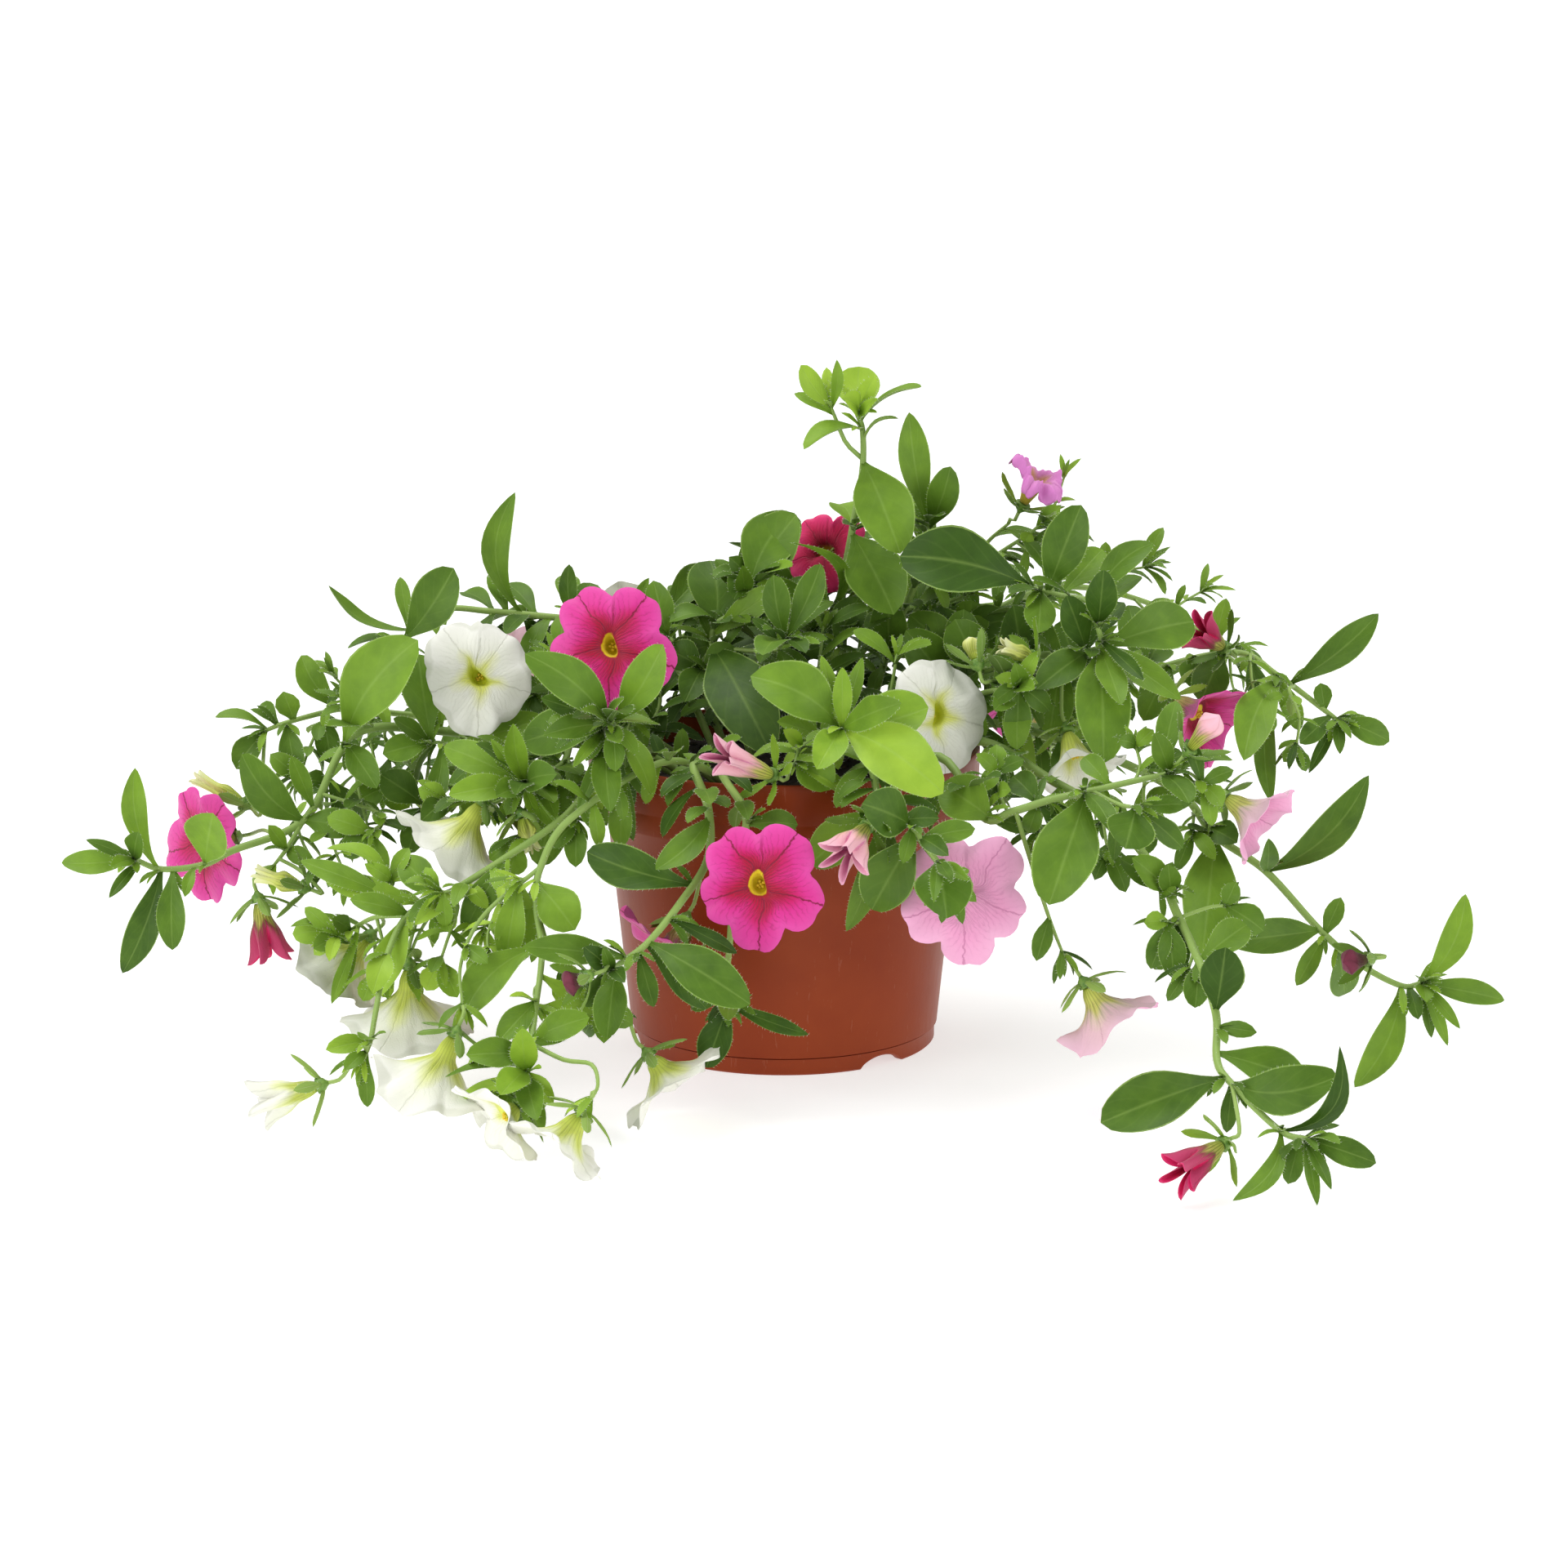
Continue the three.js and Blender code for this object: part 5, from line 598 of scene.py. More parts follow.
# What each corolla grows on: name, hue, kind, stem, shoot, place, calyx, middle of the mouth, mouth radius.
# The solids have the same names, after stem_ and bloom_.
FLOWERS = [
    ("magenta_left", "magenta", "open", "high_left", 0, 0.14, (-49, -26, 125), (-51, -44, 131), 19),
    ("white_left", "white", "open", "high_left", 0, 0.57, (-92, 0, 112), (-92, -16, 116), 16.5),
    ("magenta_front", "magenta", "open", "front_foot", 0, 0.43, (-6, -74, 66), (-7, -91, 70), 19),
    ("white_centre", "white", "open", "right_rosette", 0, 0.33, (39, -22, 104), (46, -34, 108), 17),
    ("pink_front", "pink", "open", "front_right", 0, 0.6, (51, -66, 63), (52, -82, 64), 19),
    ("white_mid", "white", "trumpet", "left_mid", 0, 0.49, (-88, -46, 86), (-99, -45, 68), 16),
    ("white_low", "white", "trumpet", "low_outer", 0, 0.49, (-110, -64, 41), (-111, -62, 18), 18),
    ("white_far_left", "white", "trumpet", "low_outer", 1, 0.34, (-122, -44, 44), (-135, -40, 32), 15),
    ("white_floor_left", "white", "trumpet", "low_inner", 2, 1, (-92, -113, 34), (-101, -114, 14), 16),
    ("white_floor_mid", "white", "trumpet", "low_inner", 0, 1, (-72, -134, 19), (-78, -144, 12), 11),
    ("white_floor_right", "white", "trumpet", "low_inner", 1, 0.97, (-54, -153, 23), (-62, -155, 9), 11),
    ("white_small", "white", "half", "low_outer", 0, 1, (-130, -108, 16), (-147, -108, 11), 7),
    ("white_foot", "white", "trumpet", "front_left", 0, 1, (-40, -101, 24), (-29, -108, 17), 16),
    ("pink_low_right", "pink", "trumpet", "right_front", 2, 1, (86, -82, 40), (95, -86, 26), 14),
    ("pink_right", "pink", "trumpet", "right_long", 0, 0.4, (128, -50, 88), (142, -56, 80), 12),
    ("crimson_top", "crimson", "open", "top_back", 0, 1, (14, 50, 140), (13, 36, 146), 13),
    ("magenta_right", "magenta", "trumpet", "right_upper", 0, 0.43, (118, 6, 106), (131, -6, 100), 12),
    ("white_hanging", "white", "trumpet", "right_crown", 0, 0.52, (84, -28, 104), (87, -36, 93), 12),
    ("pink_faded", "faded", "half", "top_right", 1, 0.99, (73, 32, 159), (83, 28, 170), 8),
    ("magenta_far_left", "magenta", "open", "left_long", 0, 0.64, (-167, 0, 63), (-177, -10, 63), 19),
    ("crimson_left", "crimson", "half", "left_long", 1, 1, (-159, -28, 52), (-155, -31, 34), 9),
    ("pink_folded", "folded", "half", "front_centre", 1, 1, (-2, -62, 95), (-18, -78, 105), 7),
    ("pink_star", "folded", "half", "front_right", 0, 0.4, (25, -80, 86), (17, -94, 79), 9),
    ("crimson_right", "crimson", "half", "right_upper", 0, 0.57, (137, 14, 118), (127, 8, 126), 8),
    ("pink_bud", "folded", "bud", "right_front", 0, 1, (115, -78, 105), (124, -84, 118), 4),
    ("maroon_right", "maroon", "bud", "right_long", 0, 0.8, (174, -60, 40), (162, -66, 40), 5),
    ("crimson_low", "crimson", "half", "right_low", 0, 0.82, (121, -162, 16), (107, -173, 10), 8),
    ("magenta_low", "magenta", "open", "front_left", 0, 0.43, (-28, -61, 54), (-33, -71, 51), 18),
    ("maroon_left", "maroon", "bud", "front_left", 0, 1, (-54, -112, 49), (-62, -116, 47), 4),
    ("white_back", "white", "open", "back_mid", 0, 0.6, (-46, 102, 102), (-55, 116, 108), 17),
    ("magenta_back", "magenta", "open", "back_right", 0, 0.8, (82, 118, 70), (85, 133, 77), 18),
    ("pink_back", "pink", "open", "back_left", 0, 0.66, (-86, 112, 86), (-91, 127, 92), 17),
    ("crimson_back", "crimson", "half", "back_mid", 0, 1, (-4, 138, 62), (-4, 150, 48), 8),
]

# The way a leaf's upper side looks.
FACES = {"front": (0, -0.9, 0.44), "up": (0, -0.25, 0.97), "side": (1, 0, 0.1)}


def plus(a, b):
    return (a[0] + b[0], a[1] + b[1], a[2] + b[2])


def minus(a, b):
    return (a[0] - b[0], a[1] - b[1], a[2] - b[2])


def times(a, k):
    return (a[0] * k, a[1] * k, a[2] * k)


def along(a, d, k):
    return (a[0] + d[0] * k, a[1] + d[1] * k, a[2] + d[2] * k)


def dot(a, b):
    return a[0] * b[0] + a[1] * b[1] + a[2] * b[2]


def cross(a, b):
    return (a[1] * b[2] - a[2] * b[1], a[2] * b[0] - a[0] * b[2], a[0] * b[1] - a[1] * b[0])


def size(a):
    return math.sqrt(dot(a, a))


def unit(a):
    return times(a, 1 / size(a))


def square(a, d):
    """The part of a that is square to d, at unit length."""
    return unit(along(a, d, -dot(a, d)))


def clamp(x, low, high):
    return min(max(x, low), high)


def on_curve(points, t):
    """A point of the uniform Catmull-Rom curve through a list of points, t from 0 to 1."""
    last = len(points) - 1
    place = last * t
    i = min(int(place), last - 1)
    w = place - i
    p1, p2 = points[i], points[i + 1]
    p0 = points[i - 1] if i > 0 else tuple(2 * a - b for a, b in zip(p1, p2))
    p3 = points[i + 2] if i + 2 <= last else tuple(2 * b - a for a, b in zip(p1, p2))
    result = []
    for a, b, c, d in zip(p0, p1, p2, p3):
        v0, v1 = (c - a) / 2, (d - b) / 2
        cubic, squared = 2 * b - 2 * c + v0 + v1, -3 * b + 3 * c - 2 * v0 - v1
        result.append(cubic * w * w * w + squared * w * w + v0 * w + b)
    return tuple(result)


def curve_length(points):
    return sum(size(minus(on_curve(points, (k + 1) / 40), on_curve(points, k / 40))) for k in range(40))


def make_blade(root, tip, width, face, arch, sway):
    """Everything that settles a leaf: where it starts, its own three directions and its measures."""
    run = minus(tip, root)
    ahead = unit(run)
    up = square(face, ahead)
    return {"root": root, "length": size(run), "ahead": ahead, "up": up, "across": cross(ahead, up),
            "width": width, "arch": arch, "sway": sway}


def half_width(blade, s):
    return 0.6 * (1 - s) + (blade["width"] / 2 - 0.3) * max(math.sin(math.pi * s ** 1.5), 0) ** 0.8


def on_blade(blade, s, side):
    """A point of the leaf: s runs from root to tip, side from -1 at one margin to 1 at the other."""
    lift = 4 * s * (1 - s)
    half = half_width(blade, s)
    p = along(blade["root"], blade["ahead"], blade["length"] * s)
    p = along(p, blade["up"], blade["arch"] * lift + 0.22 * half * side * side)
    return along(p, blade["across"], blade["sway"] * lift + side * half)


# A corolla's outline from its foot to its edge as (fixed radius, share of the mouth radius, share of the
# length, fixed height), how deep its throat is as a share of the length, and how far its sepals spread.
PROFILES = {
    "open": {"outside": [(1.5, 0, 0, 0), (2.1, 0, 0.5, 0), (3.6, 0, 1, -2.2), (0, 0.6, 1, 0.2)],
             "edge": (0, 1, 1, 0.3), "pit": 0.55, "spread": 0.85},
    "trumpet": {"outside": [(1.5, 0, 0, 0), (2.4, 0, 0.35, 0), (1.6, 0.2, 0.6, 0), (0, 0.6, 0.84, 0)],
                "edge": (0, 1, 1, 0), "pit": 0.45, "spread": 1.2},
    "half": {"outside": [(1.5, 0, 0, 0), (2.2, 0, 0.35, 0), (0.6, 0.4, 0.6, 0), (0, 0.78, 0.82, 0)],
             "edge": (0, 1, 1, 0), "pit": 0.5, "spread": 1},
    "bud": {"outside": [(1.4, 0, 0, 0), (0.6, 0.5, 0.4, 0), (0, 1, 0.75, 0)],
            "edge": (0, 0, 1, 0), "pit": 0, "spread": 0.8},
}
LOBES = 5
CUP_LENGTH = 3
SEPAL_LENGTH = 11
STALK_RADIUS = 0.65


def make_flower(name, hue, kind, stem, shoot, place, calyx, mouth, radius):
    """A flower's axis, its calyx and the size of its corolla, from its calyx point and mouth."""
    axis = unit(minus(mouth, calyx))
    side = square((1, 0, 0) if abs(axis[2]) > 0.8 else (0, 0, 1), axis)
    return {"name": name, "hue": hue, "kind": kind, "stem": stem, "shoot": shoot, "place": place,
            "calyx": calyx, "axis": axis, "side": side, "other": cross(axis, side),
            "seat": along(calyx, axis, CUP_LENGTH + SEAT_GAP),
            "length": size(minus(mouth, calyx)) - CUP_LENGTH - SEAT_GAP, "radius": radius}


def around_axis(flower, start, radius, angle, height):
    p = along(start, flower["axis"], height)
    p = along(p, flower["side"], radius * math.cos(angle))
    return along(p, flower["other"], radius * math.sin(angle))


def measured(flower, row):
    """Radius and height of one row of a corolla's outline, in millimetres."""
    return (row[0] + row[1] * flower["radius"], row[2] * flower["length"] + row[3])


def stalk_route(flower):
    """The stalk's way from its shoot up to the foot of the calyx."""
    start = on_curve(routes[flower["stem"], flower["shoot"]], flower["place"])
    back = along(flower["calyx"], flower["axis"], -4)
    middle = times(plus(start, back), 0.5)
    return [start, plus(middle, (0, 0, 1.5)), back, along(flower["calyx"], flower["axis"], -0.5)]


def sepal_tip(flower, k):
    spread = PROFILES[flower["kind"]]["spread"]
    return around_axis(flower, flower["calyx"], 2 + SEPAL_LENGTH * math.sin(spread), TURN * (k + 1) / LOBES,
                       CUP_LENGTH / 2 + SEPAL_LENGTH * math.cos(spread))


# Points of everything placed so far, in a grid of cells, so that a new leaf grows where nothing touches it.
CELL = 5
SAMPLE_STEP = 2.6
NODE_ROOM = 3
OWN_ROOM = 1.6
FILL_ROOM = 3.4
FILL_SPACING = 29
SWINGS = [0, 5, -5, 9, -9, 13, -13, 17, -17, 21]
cells = {}


def cell_of(p):
    return tuple(math.floor(c / CELL) for c in p)


def mark(p, owner, room=0.0, for_fill=False):
    """Takes a point for its owner, with extra room. for_fill keeps only filling growth away from it."""
    cells.setdefault(cell_of(p), []).append((*p, owner, room, for_fill))


def is_free(p, owner, own_room, other_room, filling):
    x, y, z = p
    i0, j0, k0 = cell_of(p)
    for i in (i0 - 1, i0, i0 + 1):
        for j in (j0 - 1, j0, j0 + 1):
            for k in (k0 - 1, k0, k0 + 1):
                for a, b, c, holder, extra, for_fill in cells.get((i, j, k), ()):
                    if for_fill and not filling:
                        continue
                    room = own_room if holder == owner else other_room + extra
                    if (x - a) ** 2 + (y - b) ** 2 + (z - c) ** 2 < room * room:
                        return False
    return True


def clear_of_pot(p):
    """Above the floor, and at least 2 mm from the pot's wall and the soil."""
    r = math.hypot(p[0], p[1])
    if p[2] < 1:
        return False
    if p[2] > POT_HEIGHT + 2:
        return True
    if r < RIM_RADIUS - WALL - 2:
        return p[2] > SOIL_TOP + SOIL_DOME + 2
    outside = RIM_RADIUS
    if p[2] <= neck:
        outside = BASE_RADIUS + (NECK_RADIUS - BASE_RADIUS) * (p[2] - FOOT_HEIGHT) / (neck - FOOT_HEIGHT)
    return r > outside + 2


def blade_samples(blade):
    samples = []
    steps = math.ceil(blade["length"] / SAMPLE_STEP)
    for s in (k / steps for k in range(1, steps + 1)):
        wide = half_width(blade, min(s, 0.97)) > SAMPLE_STEP * 1.3
        for side in (-1, -0.5, 0, 0.5, 1) if wide else (-1, 0, 1):
            samples.append((s, on_blade(blade, min(s, 0.99), side)))
    return samples


def settle(blade, name, kept, room, filling, own_room=OWN_ROOM):
    """Keeps a leaf where it has the room, and says whether it had."""
    samples = blade_samples(blade)
    for s, p in samples:
        if not clear_of_pot(p):
            return False
        if not is_free(p, name, own_room if s > 0.55 else 0, room if s > 0.2 else room * 0.6, filling):
            return False
    for s, p in samples:
        if s > 0.15:
            mark(p, name)
    kept[name].append(blade)
    return True


def place_leaves(rows, name, route, usual_arch, kept, swings, room, own_room):
    """Leaves with a set tip. Where one would touch a neighbour, its tip swings up or down a little."""
    for place, x, y, z, width, *others in rows:
        arch, sway, face = [*others, *(usual_arch, 0, "front")[len(others):]]
        start = on_curve(route, place)
        up = make_blade(start, (x, y, z), width, FACES[face], arch, sway)["up"]
        for swing in swings:
            blade = make_blade(start, along((x, y, z), up, swing), width, FACES[face], arch, sway)
            if settle(blade, name, kept, room, False, own_room):
                break


def mark_line(points, radius, owner):
    steps = math.ceil(curve_length(points) / SAMPLE_STEP)
    for k in range(steps + 1):
        mark(on_curve(points, k / steps), owner, radius - 0.9)


def mark_corolla(flower):
    """Marks a corolla's wall, and the free space that an open mouth looks into."""
    shape = PROFILES[flower["kind"]]
    rows = [measured(flower, row) for row in shape["outside"] + [shape["edge"]]]
    for (r0, z0), (r1, z1) in zip(rows, rows[1:]):
        steps = math.ceil(math.hypot(r1 - r0, z1 - z0) / SAMPLE_STEP)
        for j in range(steps + 1):
            r, z = r0 + (r1 - r0) * j / steps, z0 + (z1 - z0) * j / steps
            turns = max(3, math.ceil(TURN * r / SAMPLE_STEP))
            for a in range(turns):
                mark(around_axis(flower, flower["seat"], r, TURN * a / turns, z), flower["name"])
    if flower["kind"] in ("open", "trumpet"):
        for ahead in (6, 11, 16, 21):
            for share in (0, 0.35, 0.7):
                for a in range(8):
                    mark(around_axis(flower, flower["seat"], share * flower["radius"], math.pi * a / 4,
                                     flower["length"] + ahead), "open air", 1.5, True)


# Every stem and shoot in one list, then the larger leaves where the solids have them.
STEMS = [(name, shoot, radius, route, rows) for name, shoots in STEM_SHOOTS.items()
         for shoot, (radius, route, *rows) in enumerate(shoots)]
flowers = [make_flower(*row) for row in FLOWERS]
routes = {(name, shoot): route for name, shoot, _, route, _ in STEMS}
leaves = {name: [] for name in STEM_SHOOTS}
for name, _, radius, route, _ in STEMS:
    mark_line(route, radius, name)
for flower in flowers:
    mark_line(stalk_route(flower), STALK_RADIUS, flower["stem"])
    for k in range(LOBES):
        for share in (0.3, 0.55, 0.8, 1):
            mark(plus(times(flower["calyx"], 1 - share), times(sepal_tip(flower, k), share)), flower["stem"])
    mark_corolla(flower)
for name, _, _, route, rows in STEMS:
    place_leaves(rows, name, route, 1, leaves, SWINGS, NODE_ROOM, OWN_ROOM)

# Leaves that fill the crown and the back, in pairs along each stem.
draw = seeded(41)
for name, _, _, route, _ in STEMS:
    pairs = int(curve_length(route) / FILL_SPACING)
    for k in range(pairs * 2):
        place = min((k // 2 + 0.8) / pairs, 1)
        turn = draw() * TURN
        reach = 15 + 10 * draw()
        width = reach * (0.34 + 0.12 * draw())
        start = on_curve(route, place)
        ahead = unit(minus(start, on_curve(route, place - 0.03)))
        in_crown = 92 < start[2] < 128 and abs(start[0]) < 120
        if not in_crown and start[1] < 30:
            continue
        side = square((0.31, 0.2, 0.93), ahead)
        other = cross(ahead, side)
        for trial in range(7):
            angle = turn + math.pi * (k % 2) + trial * 0.9
            aim = unit(along(along(times(ahead, 0.4), side, math.cos(angle)), other, math.sin(angle)))
            tip = along(start, aim, reach)
            face = unit((0.5 * aim[0], 0.5 * aim[1] - 0.2, 1))
            if abs(dot(aim, face)) > 0.93 or tip[2] > 140 or (tip[2] > 128 and tip[1] > 70):
                continue
            if settle(make_blade(start, tip, width, face, 2, 0), name, leaves, FILL_ROOM, True):
                break


# Side shoots and the finest growth, too small for the solids: the stem each leaves, the length of its own
# pairs of leaves (0 for none), [route], then other leaves as above. Those with long leaves are thicker.
SIDE_SHOOTS = [
    ("left_long", 11, [(-109, -2, 97), (-108, -8, 89), (-109, -12, 81), (-110, -15, 73)],
     (0.87, -122, -10, 83, 11), (1, -108, -22, 94, 4.5, 3, 4), (1, -114, -20, 62, 8)),
    ("left_long", 12, [(-127, -11, 99), (-129, -8, 95), (-130, -12, 87), (-128, -18, 78), (-125, -24, 70)]),
    ("left_long", 11, [(-118, -6, 98), (-122, -2, 96), (-121, 2, 87), (-123, 4, 77)], (1, -132, -4, 74, 9),
     (1, -115, 0, 72, 9)),
    ("left_mid", 11, [(-65, -29, 95), (-62, -45, 87), (-61, -55, 80)], (1, -61, -62, 68, 7),
     (0.42, -53, -48, 77, 8.5), (1, -68, -60, 73, 6)),
    ("left_mid", 0, [(-74, -43, 90), (-77, -48, 80), (-78, -52, 74)], (1, -81, -54, 64, 9.5),
     (1, -70, -54, 63, 10.5), (1, -87, -52, 68, 6)),
    ("low_outer", 0, [(-110, -68, 55), (-114, -64, 60), (-115, -62, 64)], (1, -133, -62, 75, 8, 3, 0, "up"),
     (0.4, -142, -58, 69, 7), (1, -105, -62, 70, 7), (1, -127, -60, 58, 5), (1, -110, -58, 73, 5),
     (1, -122, -66, 70, 5)),
    ("low_outer", 0, [(-93, -66, 64), (-95, -74, 64), (-100, -76, 64)], (1, -110, -78, 67, 5, 2, 0, "up"),
     (0.87, -98, -78, 54, 5.5), (1, -109, -76, 55, 4.5), (0, -96, -80, 57, 5), (0, -86, -72, 58, 5),
     (1, -104, -74, 71, 4)),
    ("low_outer", 0, [(-127, -51, 47), (-126, -54, 44), (-129, -54, 44), (-132, -54, 45)],
     (1, -146, -52, 46, 7, 2, 0, "up"), (0.37, -133, -58, 26, 4), (1, -139, -56, 40, 5),
     (1, -142, -50, 53, 5), (1, -134, -58, 38, 4.5)),
    ("low_inner", 0, [(-74, -84, 70), (-76, -86, 70)], (1, -80, -88, 46, 9, 3), (1, -73, -86, 50, 8)),
    ("low_inner", 0, [(-69, -106, 45), (-71, -104, 42), (-70, -108, 38)], (1, -55, -112, 38, 8.5),
     (1, -80, -112, 33, 7)),
    ("low_inner", 0, [(-71, -123, 32), (-73, -127, 28), (-73, -131, 25)],
     (0.31, -89, -124, 27, 8, 3, 0, "up"), (1, -73, -130, 39, 6), (1, -81, -132, 13, 8),
     (1, -68, -136, 10, 7), (0.67, -95, -126, 23, 4.5, 2, 0, "up"), (1, -93, -128, 18, 4),
     (1, -67, -132, 15, 5.5), (0.09, -55, -124, 41, 8.5), (1, -88, -131, 18, 5)),
    ("left_upper", 11, [(-143, 18, 98), (-141, 14, 100), (-144, 12, 94), (-147, 8, 87), (-149, 4, 80)],
     (1, -158, 6, 87, 7), (1, -141, 6, 78, 7)),
    ("left_upper", 14, [(-112, 28, 95), (-112, 24, 96), (-114, 22, 89), (-116, 18, 81)]),
    ("left_upper", 15, [(-93, 27, 94), (-94, 24, 86), (-95, 20, 78), (-96, 18, 69)]),
    ("left_upper", 12, [(-130, 25, 97), (-128, 18, 99), (-128, 14, 91), (-126, 10, 82), (-125, 6, 74)]),
    ("left_long", 13, [(-100, 1, 95), (-90, -6, 90), (-87, -10, 83), (-89, -14, 76)], (1, -100, -6, 81, 9),
     (1, -77, -8, 88, 9)),
    ("left_long", 11, [(-139, -19, 83), (-139, -12, 81), (-138, -20, 74), (-135, -28, 65), (-131, -34, 58)]),
    ("left_long", 9, [(-147, -23, 72), (-148, -18, 72), (-145, -24, 66), (-140, -30, 60)],
     (1, -150, -26, 65, 6)),
    ("low_outer", 11, [(-82, -66, 71), (-81, -62, 70), (-85, -64, 64), (-86, -66, 57), (-88, -68, 50)]),
    ("low_outer", 10, [(-99, -66, 60), (-105, -64, 52), (-109, -64, 44), (-110, -64, 37)]),
    ("low_inner", 10, [(-70, -91, 60), (-67, -92, 51), (-63, -95, 45)], (1, -57, -98, 38, 7),
     (1, -63, -98, 36, 7)),
    ("right_crown", 12, [(83, -10, 122), (81, -14, 122), (84, -10, 113), (86, -12, 105)],
     (1, 80, -14, 98, 11), (1, 91, -16, 112, 9)),
    ("right_crown", 12, [(65, 0, 116), (59, 2, 115), (54, 6, 116)], (1, 39, 8, 131, 13), (1, 46, 14, 132, 12),
     (1, 55, 12, 131, 11)),
    ("right_rosette", 0, [(70, -26, 114), (70, -30, 116)], (1, 69, -34, 97, 8.5), (1, 79, -34, 110, 7),
     (1, 61, -34, 110, 5.5), (1, 67, -32, 125, 6), (1, 75, -34, 127, 5), (1, 63, -32, 119, 5),
     (1, 75, -36, 118, 5.5)),
    ("right_front", 0, [(65, -68, 86), (63, -64, 90), (62, -60, 96)], (1, 56, -62, 102, 5),
     (1, 70, -60, 100, 5), (0.58, 66, -66, 92, 5.5), (1, 57, -66, 92, 5.5), (1, 62, -58, 104, 6)),
    ("right_front", 0, [(71, -69, 88), (74, -66, 88)], (1, 84, -66, 80, 9), (1, 71, -66, 79, 6),
     (1, 67, -56, 94, 9)),
    ("right_upper", 7, [(145, 15, 116), (143, 8, 118), (143, 2, 111), (145, -4, 104)], (1, 139, -6, 101, 4.5),
     (1, 149, -6, 97, 5), (1, 152, -2, 108, 4), (1, 137, 0, 110, 4)),
    ("right_upper", 8, [(157, 10, 108), (154, -2, 109), (157, -4, 101), (156, -6, 92)], (1, 159, -8, 85, 4.5),
     (1, 152, -8, 88, 4.5)),
    ("right_front", 8, [(111, -75, 99), (116, -78, 100), (120, -80, 97)], (1, 126, -82, 91, 6),
     (1, 129, -80, 101, 5), (1, 123, -82, 85, 5), (1, 116, -78, 110, 5), (1, 111, -82, 90, 6)),
    ("right_front", 9, [(101, -74, 96), (103, -70, 100), (102, -66, 105)], (1, 97, -66, 107, 5),
     (1, 107, -66, 110, 5)),
    ("right_long", 10, [(108, -30, 89), (107, -40, 83), (109, -48, 78)], (1, 105, -52, 69, 7),
     (1, 116, -50, 72, 7)),
    ("right_low", 0, [(94, -56, 83), (92, -62, 87), (93, -66, 82), (94, -70, 75)], (1, 94, -74, 72, 4),
     (1, 99, -76, 64, 6.5, 3), (1, 90, -74, 67, 5)),
    ("right_low", 0, [(110, -75, 67), (107, -78, 68), (109, -80, 66)], (1, 97, -80, 75, 8),
     (1, 112, -80, 74, 5), (1, 113, -84, 64, 5)),
    ("right_low", 0, [(114, -89, 58), (110, -92, 59)], (1, 111, -96, 44, 8.5), (1, 105, -94, 46, 7),
     (1, 103, -92, 59, 6)),
    ("right_low", 0, [(117, -99, 53), (115, -102, 48)], (1, 109, -104, 39, 4.5), (1, 118, -106, 38, 7.5)),
    ("right_low", 0, [(113, -87, 59), (122, -86, 62), (127, -84, 62)], (1, 138, -86, 55, 9),
     (1, 130, -84, 69, 6)),
    ("right_low", 11, [(82, -47, 89), (77, -48, 83), (75, -52, 76)]),
    ("right_long", 13, [(91, -17, 94), (93, -22, 92), (94, -28, 86)]),
    ("right_long", 8, [(122, -40, 81), (121, -46, 75)], (1, 116, -50, 64, 5), (1, 127, -50, 66, 5)),
    ("front_right", 0, [(38, -83, 83), (39, -80, 80), (43, -86, 76), (47, -90, 71)], (1, 40, -92, 64, 4.2),
     (1, 45, -93, 59, 4), (1, 51, -94, 59, 4.2), (1, 55, -92, 65, 4), (1, 53, -90, 74, 4),
     (1, 41, -90, 72, 4.4), (1, 47, -98, 68, 3.6)),
    ("left_long", 10, [(-140, -20, 81), (-121, -24, 75), (-124, -30, 71)], (1, -137, -30, 76, 8),
     (1, -132, -32, 64, 8), (1, -120, -34, 58, 7)),
    ("left_mid", 11, [(-76, -47, 89), (-88, -36, 81), (-95, -34, 83), (-101, -34, 81)], (1, -109, -36, 86, 8),
     (1, -107, -36, 75, 8)),
    ("low_outer", 9, [(-98, -66, 61), (-95, -70, 58), (-98, -74, 49), (-100, -76, 43)], (1, -104, -78, 35, 7),
     (1, -95, -78, 33, 7)),
    ("low_outer", 8, [(-120, -58, 52), (-118, -60, 43), (-120, -62, 36)], (1, -124, -64, 28, 6),
     (1, -116, -64, 29, 6)),
    ("low_inner", 9, [(-81, -89, 65), (-82, -84, 62), (-85, -86, 55), (-85, -88, 49)], (1, -90, -90, 42, 7),
     (1, -82, -90, 40, 7)),
    ("front_left", 8, [(-49, -104, 48), (-56, -98, 46), (-54, -100, 41), (-51, -102, 36)],
     (1, -43, -104, 32, 7), (1, -51, -104, 27, 7), (1, -58, -104, 30, 6)),
    ("top_left", 0, [(-10, 12, 139), (-11, 16, 138), (-11, 18, 140)], (1, -7, 28, 153, 17),
     (1, 4, 12, 161, 17), (1, -22, 10, 142, 7, 2, 0, "up"), (1, -17, 12, 148, 7), (1, -15, 4, 137, 10)),
    ("high_left", 12, [(-37, 15, 121), (-34, 6, 123), (-36, 8, 124)], (1, -15, 2, 137, 11, 3),
     (1, -22, 14, 146, 12), (1, -40, 14, 139, 9)),
    ("top_left", 12, [(-20, 11, 113), (-23, 4, 112), (-25, 6, 114)], (1, -36, 8, 120, 11),
     (1, -30, -8, 107, 10), (1, -14, 8, 119, 10)),
    ("top_back", 10, [(6, 43, 107), (8, 20, 120), (8, 18, 123)], (1, 11, 10, 146, 8), (1, -3, -8, 145, 10),
     (1, 1, -6, 158, 4, 0, 14)),
    ("top_right", 12, [(31, 22, 113), (31, 14, 114), (32, 12, 117)], (1, 32, 8, 138, 12),
     (1, 43, 10, 126, 12), (1, 25, 14, 128, 10)),
